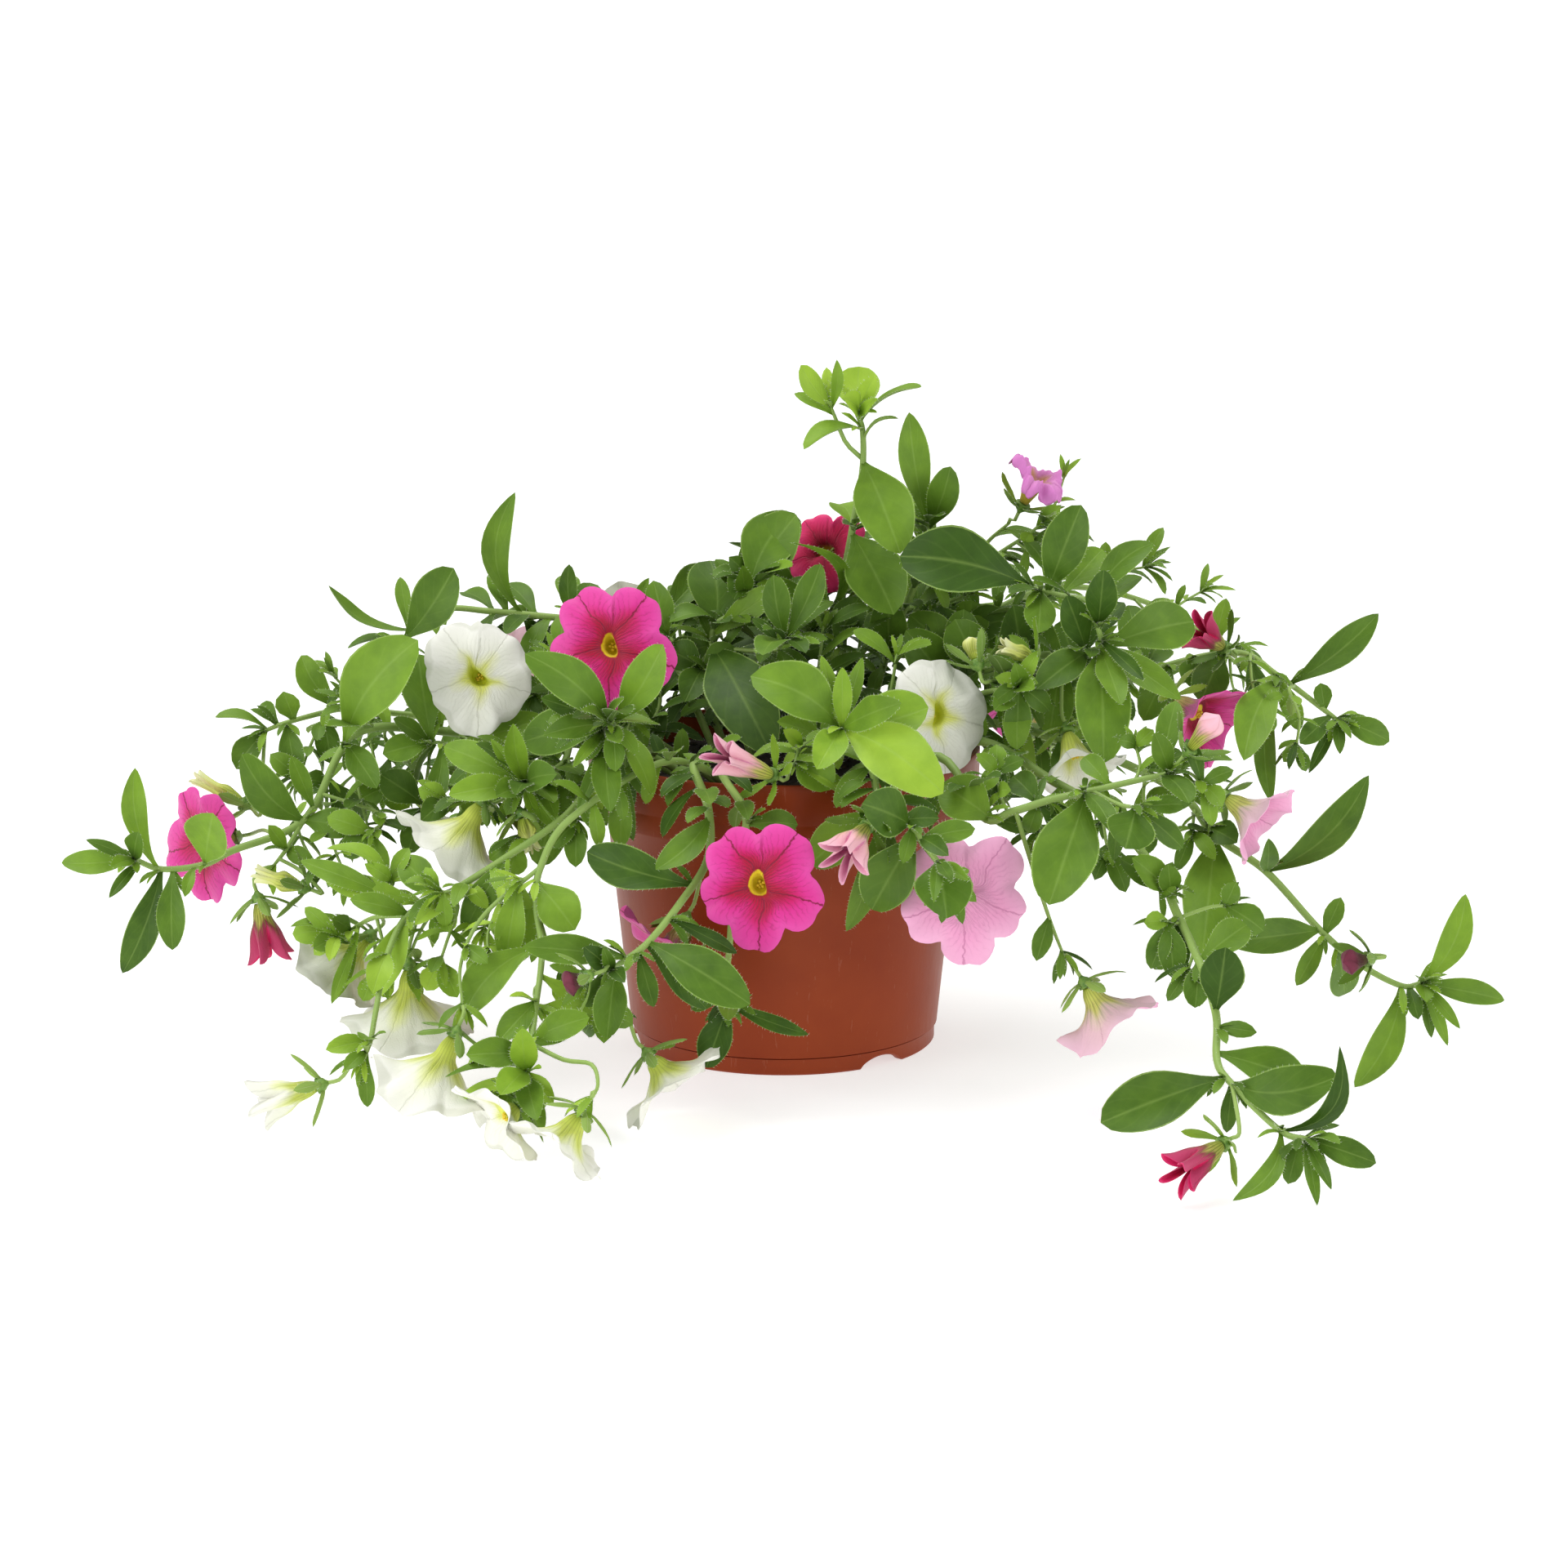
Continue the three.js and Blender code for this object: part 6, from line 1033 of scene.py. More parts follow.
    ("top", 11, [(18, 18, 118), (16, 10, 121)], (1, 27, 4, 126, 7, 2, 0, "up"), (1, 6, 6, 119, 9),
     (1, 23, 14, 135, 11)),
    ("back_side", 13, [(48, 31, 114), (55, 30, 121)], (1, 62, 28, 130, 13), (1, 71, 28, 125, 12),
     (1, 52, 32, 131, 12)),
    ("left_rosette", 9, [(-51, -32, 100), (-46, -30, 106), (-47, -36, 101), (-46, -42, 94)],
     (1, -46, -48, 80, 5, 1), (1, -52, -46, 83, 7), (1, -41, -44, 85, 5)),
    ("left_upper", 12, [(-69, 21, 100), (-76, 12, 103), (-77, 8, 106)], (1, -90, 4, 93, 11),
     (1, -80, 0, 95, 10), (1, -67, 0, 93, 9)),
    ("top_left", 20, [(-15, 12, 100), (-24, 16, 108), (-22, 18, 126)]),
    ("top", 21, [(16, 17, 101), (10, -4, 106), (12, 2, 128)]),
    ("right_rosette", 19, [(38, -12, 98), (32, -14, 104), (34, -12, 122)]),
    ("left_long", 20, [(-45, 2, 92), (-38, 6, 104), (-42, 8, 124)]),
    ("top_back", 21, [(4, 38, 98), (0, 24, 106), (-4, 30, 132)]),
    ("right_upper", 20, [(48, 17, 97), (42, 18, 104), (46, 20, 126)]),
    ("back_right", 20, [(19, 36, 101), (22, 32, 106), (26, 38, 134)]),
    ("back_left", 20, [(-26, 31, 102), (-30, 30, 106), (-34, 36, 130)]),
    ("right_long", 18, [(59, -6, 99), (60, 2, 104), (66, 0, 118)]),
    ("left_long", 18, [(-62, 2, 100), (-62, 0, 106), (-70, -2, 120)]),
    ("right_upper", 18, [(66, 22, 103), (62, 30, 108), (70, 34, 124)]),
]

# Buds about to open and one dried corolla, in the same order of values as the corollas.
OPENING_BUDS = [
    ("bud_left_upper", "green", "half", "left_upper", 0, 1, (-164, 0, 72), (-181, 6, 80), 3.2),
    ("bud_left_lower", "green", "half", "left_long", 1, 0.74, (-142, -36, 55), (-158, -33, 59), 3.1),
    ("bud_left_inner", "green", "half", "left_mid", 0, 1, (-78, -50, 83), (-74, -55, 72), 3.1),
    ("bud_centre", "green", "bud", "right_rosette", 0, 0.89, (58, -32, 121), (55, -26, 130), 2.9),
    ("bud_right_inner", "green", "half", "right_rosette", 0, 1, (76, -26, 123), (65, -30, 128), 3.7),
    ("bud_dried", "dried", "half", "left_long", 0, 0.25, (-94, -2, 82), (-101, 0, 83), 3),
]

# Where the real mouth of a corolla looks another way than its solid: new middle of the mouth, and its radius.
TURNED_MOUTHS = {
    "white_mid": ((-99, -45, 68), 21),
    "white_low": ((-111, -62, 18), 22),
    "white_far_left": ((-135, -41, 31), 19),
    "white_floor_left": ((-101, -114, 14), 21),
    "white_floor_mid": ((-80, -139, 13), 16),
    "white_floor_right": ((-62, -155, 11), 16),
    "white_foot": ((-31, -103, 13), 19.5),
    "white_small": ((-149, -108, 10), 9),
    "pink_low_right": ((95, -84, 26), 17.5),
    "pink_right": ((142, -58, 79), 14.5),
    "magenta_right": ((132, -8, 99), 15),
    "white_hanging": ((88, -38, 90), 15.5),
    "magenta_low": ((-33, -64, 45), 19.5),
    "pink_faded": ((80, 28, 174), 11.5),
    "maroon_right": ((164, -65, 40), 4),
}
# The cut edge of the other open ones reaches a little past the plain edge of the solid.
EDGE_REACH = 1.1
# Leaves whose real tip is elsewhere than in the solid, by stem and number: new tip.
TURNED_LEAVES = {("low_outer", 6): (-94, -70, 50)}
# Where the crown stays low and the stems are bare: from x, to x, and its height at the pot's axis. The limit
# falls towards the back.
OPEN_CROWN = [(-84, -36, 134), (50, 80, 152)]
CROWN_FALL = 0.22

# The box of the solids, with a little over for the finest tips.
BOX_OVER = 3
box_low = [(c - a) * 1000 - BOX_OVER for c, a in zip(solid_box[0], (AXIS_X, AXIS_Y, 0))]
box_high = [(c - a) * 1000 + BOX_OVER for c, a in zip(solid_box[1], (AXIS_X, AXIS_Y, 0))]
small_leaves = {name: [] for name in leaves}


def over_skyline(p):
    return any(low < p[0] < high and p[2] > top - CROWN_FALL * p[1] for low, high, top in OPEN_CROWN)


def try_small_leaf(name, start, aim, reach, share, room):
    """A small leaf that looks up and a little forward, its width a share of its reach, where it has room."""
    tip = along(start, aim, reach)
    face = unit((0.5 * aim[0], 0.5 * aim[1] - 0.3, 0.9))
    inside_box = all(low < c < high for low, c, high in zip(box_low, tip, box_high))
    if abs(dot(aim, face)) > 0.94 or not inside_box or over_skyline(tip):
        return False
    blade = make_blade(start, tip, reach * share, face, 0.08 * reach, 0)
    return settle(blade, name, small_leaves, room, True, 0.9)


def directions(route, place):
    """Along a stem at a place, and two directions square to it."""
    ahead = unit(minus(on_curve(route, min(place + 0.03, 1)), on_curve(route, max(place - 0.03, 0))))
    side = square((0.31, 0.2, 0.93), ahead)
    return ahead, side, cross(ahead, side)


def lean_out(stem_directions, lean, angle):
    ahead, side, other = stem_directions
    return unit(along(along(times(ahead, lean), side, math.cos(angle)), other, math.sin(angle)))


for (name, number), tip in TURNED_LEAVES.items():
    blade = leaves[name][number]
    leaves[name][number] = make_blade(blade["root"], tip, blade["width"], FACES["front"], blade["arch"], 0)
for number, row in enumerate(FLOWERS):
    if row[0] in TURNED_MOUTHS:
        flowers[number] = make_flower(*row[:7], *TURNED_MOUTHS[row[0]])
    elif row[2] == "open":
        flowers[number]["radius"] *= EDGE_REACH
flowers += [make_flower(*row) for row in OPENING_BUDS]
for flower in flowers:
    if flower["name"].startswith("bud"):
        mark_line(stalk_route(flower), STALK_RADIUS, flower["stem"])
    mark_corolla(flower)

# More side shoots of the same kind all along the stems at the back and over the rim.
side_shoots = [(name, 0.7 if reach > 15 else 0.6, reach, route, rows)
               for name, reach, route, *rows in SIDE_SHOOTS]
SHOOT_SPACING = 15
BEHIND, ABOVE, BACK_EDGE = 24, 25, 152
draw = seeded(29)
for name, _, _, route, _ in STEMS:
    stops = int(curve_length(route) / SHOOT_SPACING)
    for k in range(stops):
        place = (k + 0.7 + 0.5 * draw()) / (stops + 0.3)
        start = on_curve(route, min(place, 0.97))
        turn, reach = 2.4 * k + 1.5 * draw(), 11 + 11 * draw()
        if start[1] < BEHIND or start[2] < ABOVE:
            continue
        middle = along(start, lean_out(directions(route, place), 0.7, turn), reach * 0.55)
        end = along(middle, lean_out(directions(route, place), 1.3, turn + 0.5), reach * 0.5)
        if all(clear_of_pot(p) for p in (middle, end)) and end[1] < BACK_EDGE and not over_skyline(end):
            side_shoots.append((name, 0.55, 8 + 5 * draw(), [start, middle, along(end, (0, 0, 1), 2)], []))
for name, radius, _, route, _ in side_shoots:
    mark_line(route, radius, name)
for name, _, _, route, rows in side_shoots:
    place_leaves(rows, name, route, 2, small_leaves, [0.6 * swing for swing in SWINGS[:7]], 1.4, 0.8)

# Pairs of leaves up each side shoot, each pair turned a quarter from the one below it.
PAIR_SPACING = 7
draw = seeded(61)
for name, _, reach, route, _ in side_shoots:
    levels = max(2, round(curve_length(route) / PAIR_SPACING)) if reach else 0
    for k in range(2 * levels):
        place = min((k // 2 + 0.7) / levels, 1)
        angle = 0.5 * math.pi * (k // 2) + math.pi * (k % 2) + 0.7 * (draw() - 0.5)
        length, share = reach * (0.78 + 0.4 * draw()), 0.34 + 0.1 * draw()
        for trial in range(5):
            aim = lean_out(directions(route, place), 0.6, angle + 0.45 * trial)
            if try_small_leaf(name, on_curve(route, place), aim, length * (1 - 0.08 * trial), share, 1.6):
                break

# Leaves of middling size that close the crown over the pot.
LEAF_SPACING = 6
CROWN_FOOT, CROWN_TOP, CROWN_RADIUS = 86, 160, 95
draw = seeded(97)
for name, _, _, route, _ in STEMS:
    count = int(curve_length(route) / LEAF_SPACING)
    for k in range(count * 2):
        place = min((k // 2 + draw()) / count, 1)
        start = on_curve(route, place)
        turn, length = 2.4 * k + draw(), 12 + 9 * draw()
        if not (CROWN_FOOT < start[2] < CROWN_TOP and math.hypot(start[0], start[1]) < CROWN_RADIUS):
            continue
        for trial in range(6):
            aim = lean_out(directions(route, place), 0.5, turn + trial * 1.05)
            if try_small_leaf(name, start, aim, length * (1 - 0.07 * trial), 0.34 + 0.1 * draw(), 2.1):
                break

# A short shoot of narrow young leaves sits in the axil of most leaves, and a tuft of them ends each shoot.
for name, blade in [(name, blade) for name in leaves for blade in leaves[name]]:
    sprouts = 2 + int(3 * draw()) if draw() < 0.62 else 0
    for k in range(sprouts):
        turn = 2.4 * k + 6.3 * draw()
        lean = 0.35 + 0.35 * draw()
        aim = along(times(blade["ahead"], 0.75), blade["up"], 0.55 + lean * math.cos(turn))
        aim = unit(along(aim, blade["across"], lean * math.sin(turn)))
        try_small_leaf(name, along(blade["root"], aim, 0.8), aim, 5 + 5 * draw(), 0.27 + 0.07 * draw(), 1.1)
for name, route in [(row[0], row[3]) for row in STEMS + side_shoots]:
    tuft = directions(route, 1)
    for k in range(7):
        root = along(on_curve(route, 1), tuft[0], -0.25 * k)
        try_small_leaf(name, root, lean_out(tuft, 1 / (0.25 + 0.13 * k), 2.4 * k), 5.5 + k, 0.25, 0.9)

LEAF_SIDES = [-1, -0.74, -0.4, 0, 0.4, 0.74, 1]
SMALL_LEAF_SIDES = [-1, -0.5, 0, 0.5, 1]
LEAF_THICKNESS = 0.16
# Places of a stem's five materials in its list.
SKIN, UPPER, UNDER, HAIR, CUP = range(5)
HAIR_RADIUS = 0.06


def grow_hair(plant, root, aim, length, tone):
    """A closed three-sided spike with its root a little inside the surface."""
    side = square((0.3, 0.5, 0.81), aim)
    other = cross(aim, side)
    foot = along(root, aim, -0.1)
    ring = [plant.put(along(along(foot, side, HAIR_RADIUS * math.cos(a)), other, HAIR_RADIUS * math.sin(a)),
                      0, 0, tone) for a in (0, 2.094, 4.189)]
    plant.close([ring], plant.put(along(root, aim, length), 1, 0, tone), HAIR)


def leaf_outline(blade, s):
    """Half the width of a real leaf: a narrow foot, widest past its middle, and a blunt tip."""
    blunt = clamp(blade["width"] / blade["length"] - 0.26, 0, 0.16)
    fullest = 1.3 + 0.4 * (abs(blade["root"][0] + blade["root"][2]) % 1)
    swell = max(math.sin(math.pi * s ** fullest), 0) ** (1 - (0.24 + 1.6 * blunt) * s)
    return 0.6 * (1 - s) + (blade["width"] / 2 - 0.3) * swell


def grow_leaf(plant, blade, tone, draw, sides=LEAF_SIDES):
    """A closed leaf: thick along the midrib, thin and hairy at its margin, and a little wavy."""
    length, up, across = blade["length"], blade["up"], blade["across"]
    steps = clamp(round(length / 1.9), 5, 13)
    wave, beat = 0.016 * length * (0.4 + draw()), 2.5 + 2.5 * draw()
    phase = 6.3 * draw()
    droop = 0.14 * length * (draw() - 0.3)
    twist = 0.9 * (draw() - 0.5)
    trough = 0.14 + 0.22 * draw()

    def place(s, side):
        half, lift, turn = leaf_outline(blade, s), 4 * s * (1 - s), twist * (s - 0.4)
        curl = wave * math.sin(beat * 2 * s + phase + (1.3 if side > 0 else 0))
        curl *= min(1, 3 * s) * min(1, 4 * (1 - s))
        out, rise = side * half, (trough * half + curl) * side * side
        p = along(blade["root"], blade["ahead"], length * s)
        height = out * math.sin(turn) + rise * math.cos(turn)
        p = along(p, up, blade["arch"] * lift - droop * s * s * s + height)
        return along(p, across, blade["sway"] * lift + out * math.cos(turn) - rise * math.sin(turn))

    rings = []
    for k in range(steps):
        s = min(1 - (1 - k / steps) ** 1.25, 0.985)
        rib = LEAF_THICKNESS + 0.3 * (1 - s)
        around = [(side, 0 if abs(side) == 1 else 0.04 if side == 0 else LEAF_THICKNESS) for side in sides]
        around += [(side, -rib if side == 0 else -LEAF_THICKNESS) for side in sides[-2:0:-1]]
        rings.append([plant.put(along(place(s, side), up, thick), s, (side + 1) / 2, tone, abs(side) == 1)
                      for side, thick in around])
    tip = plant.put(place(1, 0), 1, 0.5, tone, True)
    plant.close(rings, tip, [UPPER] * (len(sides) - 1) + [UNDER] * (len(sides) - 1))
    hairs = int(length / 1.15) if blade["width"] >= 1.6 else 0
    for k in range(hairs):
        for side in (-1, 1):
            s = (k + draw()) / hairs
            if s < 0.06:
                continue
            aim = along(times(across, side), blade["ahead"], 0.5 * draw())
            aim = unit(along(aim, up, 0.9 * (draw() - 0.35)))
            grow_hair(plant, place(s, side * 0.97), aim, 0.5 + 0.4 * draw(), tone)


def stem_frame(route, t, hint):
    """Along a stem, and two directions square to it, the first as near the hint as can be."""
    ahead = unit(minus(on_curve(route, min(t + 0.01, 1)), on_curve(route, max(t - 0.01, 0))))
    side = square(hint, ahead)
    return ahead, side, cross(ahead, side)


def grow_stem(plant, route, radius_at, tone, draw, sides, spacing=2.6, hair_spacing=0.9, hairs_at=None):
    """A round hairy stem along a route, closed at both ends. radius_at gives its radius along the way."""
    steps = max(4, round(curve_length(route) / spacing))
    side = square((0.2, 1, 0.05), unit(minus(on_curve(route, 0.01), on_curve(route, 0))))
    rings = []
    for t in (k / steps for k in range(steps + 1)):
        ahead, side, other = stem_frame(route, t, side)
        centre, radius = on_curve(route, t), radius_at(t)
        turns = [(j / sides, TURN * j / sides) for j in range(sides)]
        rings.append([plant.put(along(along(centre, side, radius * math.cos(a)), other, radius * math.sin(a)),
                                t, share, tone) for share, a in turns])
    plant.close(rings, plant.put(along(centre, ahead, 0.8 * radius), 1, 0, tone), SKIN)
    count = int(curve_length(route) / hair_spacing)
    for k in range(count):
        t = (k + draw()) / count
        ahead, side, other = stem_frame(route, t, (0.2, 1, 0.05))
        a = TURN * draw()
        out = along(times(side, math.cos(a)), other, math.sin(a))
        root = along(on_curve(route, t), out, (hairs_at or radius_at)(t))
        grow_hair(plant, root, unit(along(out, ahead, 0.4 * draw())), 0.5 + 0.5 * draw(), tone)


def grow_calyx(plant, flower, tone, draw):
    """The cup under a corolla and its five narrow sepals."""
    calyx, rings = flower["calyx"], []
    for r, z in ((0.5, -0.6), (1.0, 0.2), (1.7, 0.8), (2.05, 1.6), (2.3, 2.6), (2.3, 3.0), (1.4, 3.0)):
        rings.append([plant.put(around_axis(flower, calyx, r * (1 + 0.05 * (j % 2)), math.pi * j / 8, z),
                                z / CUP_LENGTH, j / 16, tone) for j in range(16)])
    plant.close(rings, rings[-1], CUP)
    for k in range(LOBES):
        root = around_axis(flower, calyx, 1.3, TURN * (k + 1) / LOBES, CUP_LENGTH / 2)
        sepal = make_blade(root, sepal_tip(flower, k), 3.5, flower["axis"], -0.9, 0)
        grow_leaf(plant, sepal, tone, draw, SMALL_LEAF_SIDES)


# How light each stem's own leaves are, from 0 dark to 1 yellow-green. The others are lighter higher up, as
# painted light.
STEM_TONES = {"front_centre": 0.8, "top_left": 0.52, "top_right": 0.56, "left_rosette": 0.5,
              "right_rosette": 0.56, "right_crown": 0.42, "right_long": 0.5, "left_long": 0.48,
              "low_outer": 0.67, "low_inner": 0.68, "left_mid": 0.55, "high_left": 0.42, "left_upper": 0.45}
# Leaves that are darker or lighter than their stem.
LEAF_TONES = {("right_crown", 12): 0.2, ("top_left", 10): 0.3, ("top", 0): 0.58, ("top", 2): 0.5}


def leaf_tone(name, blade, draw, number=-1):
    """Painted shade darkens leaves deep in the crown, painted light lightens higher ones; young ones are
    light.
    """
    if (name, number) in LEAF_TONES:
        return LEAF_TONES[name, number]
    reach, height = math.hypot(blade["root"][0], blade["root"][1]), blade["root"][2]
    # Painted light from above: the higher a leaf, the lighter, on stems without their own tone and on the top
    # shoot.
    tone = STEM_TONES.get(name, 0.38 + 0.16 * clamp((height - 60) / 80, 0, 1))
    if name == "top":
        tone = 0.52 + 0.005 * max(height - 135, 0)
    # Painted shade: leaves near the axis and low in the crown are darker.
    shaded = clamp((75 - reach) / 60, 0, 1) * clamp((128 - height) / 50, 0, 1)
    young = 0.14 if blade["length"] < 10 else 0
    return clamp(tone + young - 0.3 * shaded + 0.38 * (draw() - 0.5), 0.02, 0.98)


def leaf_material(name, stops, rib_colour, rib_share, roughness, gloss):
    """Leaf tissue: a green that follows the leaf's own tone, with clouds 7 mm wide, a pale midrib and faint
    side veins. Its pores are drawn 0.6 mm wide, coarser than they are, so that they show."""
    material, tree, place = new_material(name)
    surface = add(tree, "UVMap", uv_map="surface")
    s, v = add(tree, "SeparateXYZ", surface), add(tree, "SeparateXYZ", surface, out=1)
    tone = add(tree, "Attribute", attribute_name="tone", out=2)
    cloud = add(tree, "TexNoise", place, Scale=1000 / 7, Detail=4, Roughness=0.55)
    fine = add(tree, "TexNoise", place, Scale=1000 / 0.6, Detail=3, Roughness=0.55)
    lit = add(tree, "MULTIPLY_ADD", add(tree, "SUBTRACT", cloud, 0.5), 0.3, tone)
    base = add(tree, "ValToRGB", lit, stops=stops)
    side = add(tree, "ABSOLUTE", add(tree, "SUBTRACT", v, 0.5))
    rib = add(tree, "ValToRGB", side, stops=[(0, 0xFFFFFF), (0.018, 0xC0C0C0), (0.045, 0x000000)])
    beat = add(tree, "MULTIPLY_ADD", side, -26, add(tree, "MULTIPLY", s, 34))
    veins = add(tree, "POWER", add(tree, "MULTIPLY_ADD", add(tree, "SINE", beat), 0.5, 0.5), 14)
    ribbed = add(tree, "MULTIPLY_ADD", rib, rib_share, add(tree, "MULTIPLY", veins, 0.03))
    # A pale band along the margin: the fringe of pale hairs, and painted light shining through the thin
    # margin.
    edge = add(tree, "MULTIPLY", add(tree, "GREATER_THAN", side, 0.474), 0.5)
    shown = add(tree, "MINIMUM", add(tree, "ADD", ribbed, edge), 1)
    pores = add(tree, "MULTIPLY", fine, 0.35)
    relief = add(tree, "SUBTRACT", add(tree, "MULTIPLY_ADD", veins, -0.3, pores), rib)
    finish_with(tree, Base_Color=add(tree, "Mix", shown, base, linear(rib_colour), data_type="RGBA"),
                Roughness=add(tree, "MULTIPLY_ADD", fine, 0.2, roughness - 0.1),
                Specular_IOR_Level=gloss, Sheen_Weight=0.03, Sheen_Roughness=0.4,
                Normal=add(tree, "Bump", Height=relief, Strength=0.5, Distance=0.14 / 1000))
    return material


# Stem skin: soft, pale green tissue with faint flushes 2.5 mm wide. Its nap is drawn 0.7 mm wide, coarser
# than it is, so that it shows.
stem_skin, tree, place = new_material("green_stem_skin")
tone = add(tree, "Attribute", attribute_name="tone", out=2)
base = add(tree, "ValToRGB", tone, stops=[(0, 0x6F8F3C), (0.5, 0x8DAE52), (1, 0xA8C46A)])
flush = add(tree, "MULTIPLY", add(tree, "TexNoise", place, Scale=1000 / 2.5, Detail=4, Roughness=0.55), 0.25)
nap = add(tree, "TexNoise", place, Scale=1000 / 0.7, Detail=3, Roughness=0.55)
finish_with(tree, Base_Color=add(tree, "Mix", flush, base, linear(0x8E9A4C), data_type="RGBA"),
            Roughness=0.55, Sheen_Weight=0.1,
            Normal=add(tree, "Bump", Height=nap, Strength=0.5, Distance=0.1 / 1000))
# Upper side of a leaf: a thin waxy skin, softly glossy over fresh green.
leaf_top = leaf_material("leaf_upper_skin", [(0, 0x213908), (0.25, 0x395911), (0.5, 0x5D8022),
                                             (0.75, 0x7FA42C), (1, 0xA4C63E)], 0x9DBB5E, 0.24, 0.5, 0.24)
# Underside: no wax, more hairs, so greyer, paler and duller.
leaf_below = leaf_material("leaf_underside", [(0, 0x425C22), (0.5, 0x6F8E3C), (1, 0xA2BF60)], 0xB9CE8C, 0.5,
                           0.66, 0.2)
# Plant hairs: clear and bright against the green. They are drawn 0.12 mm thick, thicker than they are.
leaf_hair = grained("clear_plant_hair", [(0.3, 0xCFDDB4), (0.7, 0xEFF4E2)], 3, 2, 0.35)
# Calyx cups: the same tissue as the stalks, a little darker, with a grain of 1.4 mm.
calyx_green = grained("calyx_green", [(0.3, 0x4F7A28), (0.7, 0x86A848)], 1.4, 3, 0.55, (1.4, 3, 0.15, 0.6))

for number, stem_name in enumerate(leaves):
    draw = seeded(500 + number)
    plant = Piece()
    for name, shoot, radius, route, _ in STEMS:
        if name == stem_name:
            grow_stem(plant, route, lambda t: radius * (1 - 0.42 * t * t), 0.35 + 0.3 * draw(), draw,
                      10 if shoot == 0 else 8)
    for name, radius, _, route, _ in side_shoots:
        if name == stem_name:
            grow_stem(plant, route, lambda t: radius * (1 - 0.3 * t), 0.35 + 0.3 * draw(), draw, 7, 2,
                      hairs_at=lambda t: 0.8 * radius)
    for flower in flowers:
        if flower["stem"] == stem_name:
            tone = 0.45 + 0.35 * draw()
            grow_stem(plant, stalk_route(flower), lambda t: 0.6, tone, draw, 7, 1.8, 1.2)
            grow_calyx(plant, flower, tone, draw)
    for k, blade in enumerate(leaves[stem_name]):
        grow_leaf(plant, blade, leaf_tone(stem_name, blade, draw, k), draw)
    for blade in small_leaves[stem_name]:
        grow_leaf(plant, blade, leaf_tone(stem_name, blade, draw), draw, SMALL_LEAF_SIDES)
    plant.finish("leafy_stem_" + stem_name, [stem_skin, leaf_top, leaf_below, leaf_hair, calyx_green],
                 "stem_" + stem_name)

# --------------------------------------------------------------------------------------------- corollas
# One fused, five-lobed trumpet of soft petal tissue on each calyx, a third of a millimetre thick, with a
# crease down each lobe, a wavy edge, a yellow throat and small yellow anthers. Buds are pleated and twisted.
PETAL_THICKNESS = 0.34
AROUND = 80
ALONG = 20
# Places of a corolla's three materials in its list.
FACE, BACK, ANTHER = range(3)

# For each hue: colours of the face from throat to edge, vein colour and share, colours of the back from tube
# to edge, how strong the lines on the tube are, and the roughness.
HUES = {
    # The white face and back end in a grey rim: painted shade along the petals' edge.
    "white": ([(0, 0xC6D22C), (0.14, 0xD8E03A), (0.24, 0xDCE268), (0.36, 0xEAECC6), (0.5, 0xEDEEE0),
               (0.94, 0xEEEEE5), (1, 0xDEDFD3)], 0xA9A794, 0.34,
              [(0, 0xB9C84A), (0.3, 0xD2DC62), (0.45, 0xE6EBA8), (0.6, 0xEDEEDB), (0.94, 0xEEEEE4),
               (1, 0xDCDDD0)], 0.26, 0.55),
    "magenta": ([(0, 0xD8C022), (0.12, 0xE8D42A), (0.17, 0xE2C824), (0.19, 0xA00028), (0.32, 0xB0003A),
                 (0.46, 0xC41264), (0.64, 0xD42E8C), (1, 0xDC46A0)], 0x7E0430, 1,
                [(0, 0xC2BC5C), (0.26, 0xC8A070), (0.42, 0xC85898), (1, 0xDA5CAA)], 0.4, 0.5),
    "pink": ([(0, 0xD0C030), (0.14, 0xDCD050), (0.2, 0xDD9ABC), (0.5, 0xE89CC4), (1, 0xEFAFD1)],
             0xA84E80, 0.5,
             [(0, 0xC2CC54), (0.28, 0xDEDB78), (0.42, 0xE8CFC0), (0.6, 0xEBC4CE), (1, 0xF0C6D8)], 0.45, 0.55),
    "folded": ([(0, 0xA8405E), (0.3, 0xC05A8E), (0.6, 0xD880AA), (1, 0xF0B4C6)], 0xA84272, 0.5,
               [(0, 0xB9C440), (0.3, 0xD0CE60), (0.46, 0xE2B09C), (0.62, 0xEFB4BE), (1, 0xF4BECC)], 0.8, 0.6),
    "faded": ([(0, 0xC9A93E), (0.2, 0xCDA84A), (0.45, 0xD48BC0), (1, 0xDC82CB)], 0xB65AA4, 0.4,
              [(0, 0xC9AE3A), (0.4, 0xD4B850), (0.52, 0xDA94BC), (1, 0xDC86CC)], 0.2, 0.6),
    "crimson": ([(0, 0xC29A1E), (0.16, 0xC89A1E), (0.22, 0xA00F32), (0.5, 0xCC1450), (1, 0xE42C74)],
                0x7A062C, 0.5,
                [(0, 0xAFB846), (0.28, 0xC0BC5A), (0.42, 0x8E3A46), (0.6, 0xB0305A), (1, 0xBE3A68)],
                0.8, 0.5),
    "green": ([(0, 0xB4C24A), (0.5, 0xDCE08A), (1, 0xF0F0C0)], 0xA8B45A, 0.5,
              [(0, 0x9FB436), (0.3, 0xC6D058), (0.7, 0xDFE38A), (1, 0xEEF0C2)], 0.6, 0.6),
    "dried": ([(0, 0x7A4A24), (1, 0xB07C4A)], 0x5A3318, 0.5,
              [(0, 0x8A6A30), (0.4, 0x96602E), (1, 0xC08A58)], 0.3, 0.8),
    "maroon": ([(0, 0x3E1418), (0.5, 0x5E1A30), (1, 0x7A2A44)], 0x3A0E1C, 0.4,
               [(0, 0x5A4A2E), (0.3, 0x5E2430), (1, 0x7E2E48)], 0.3, 0.55),
}


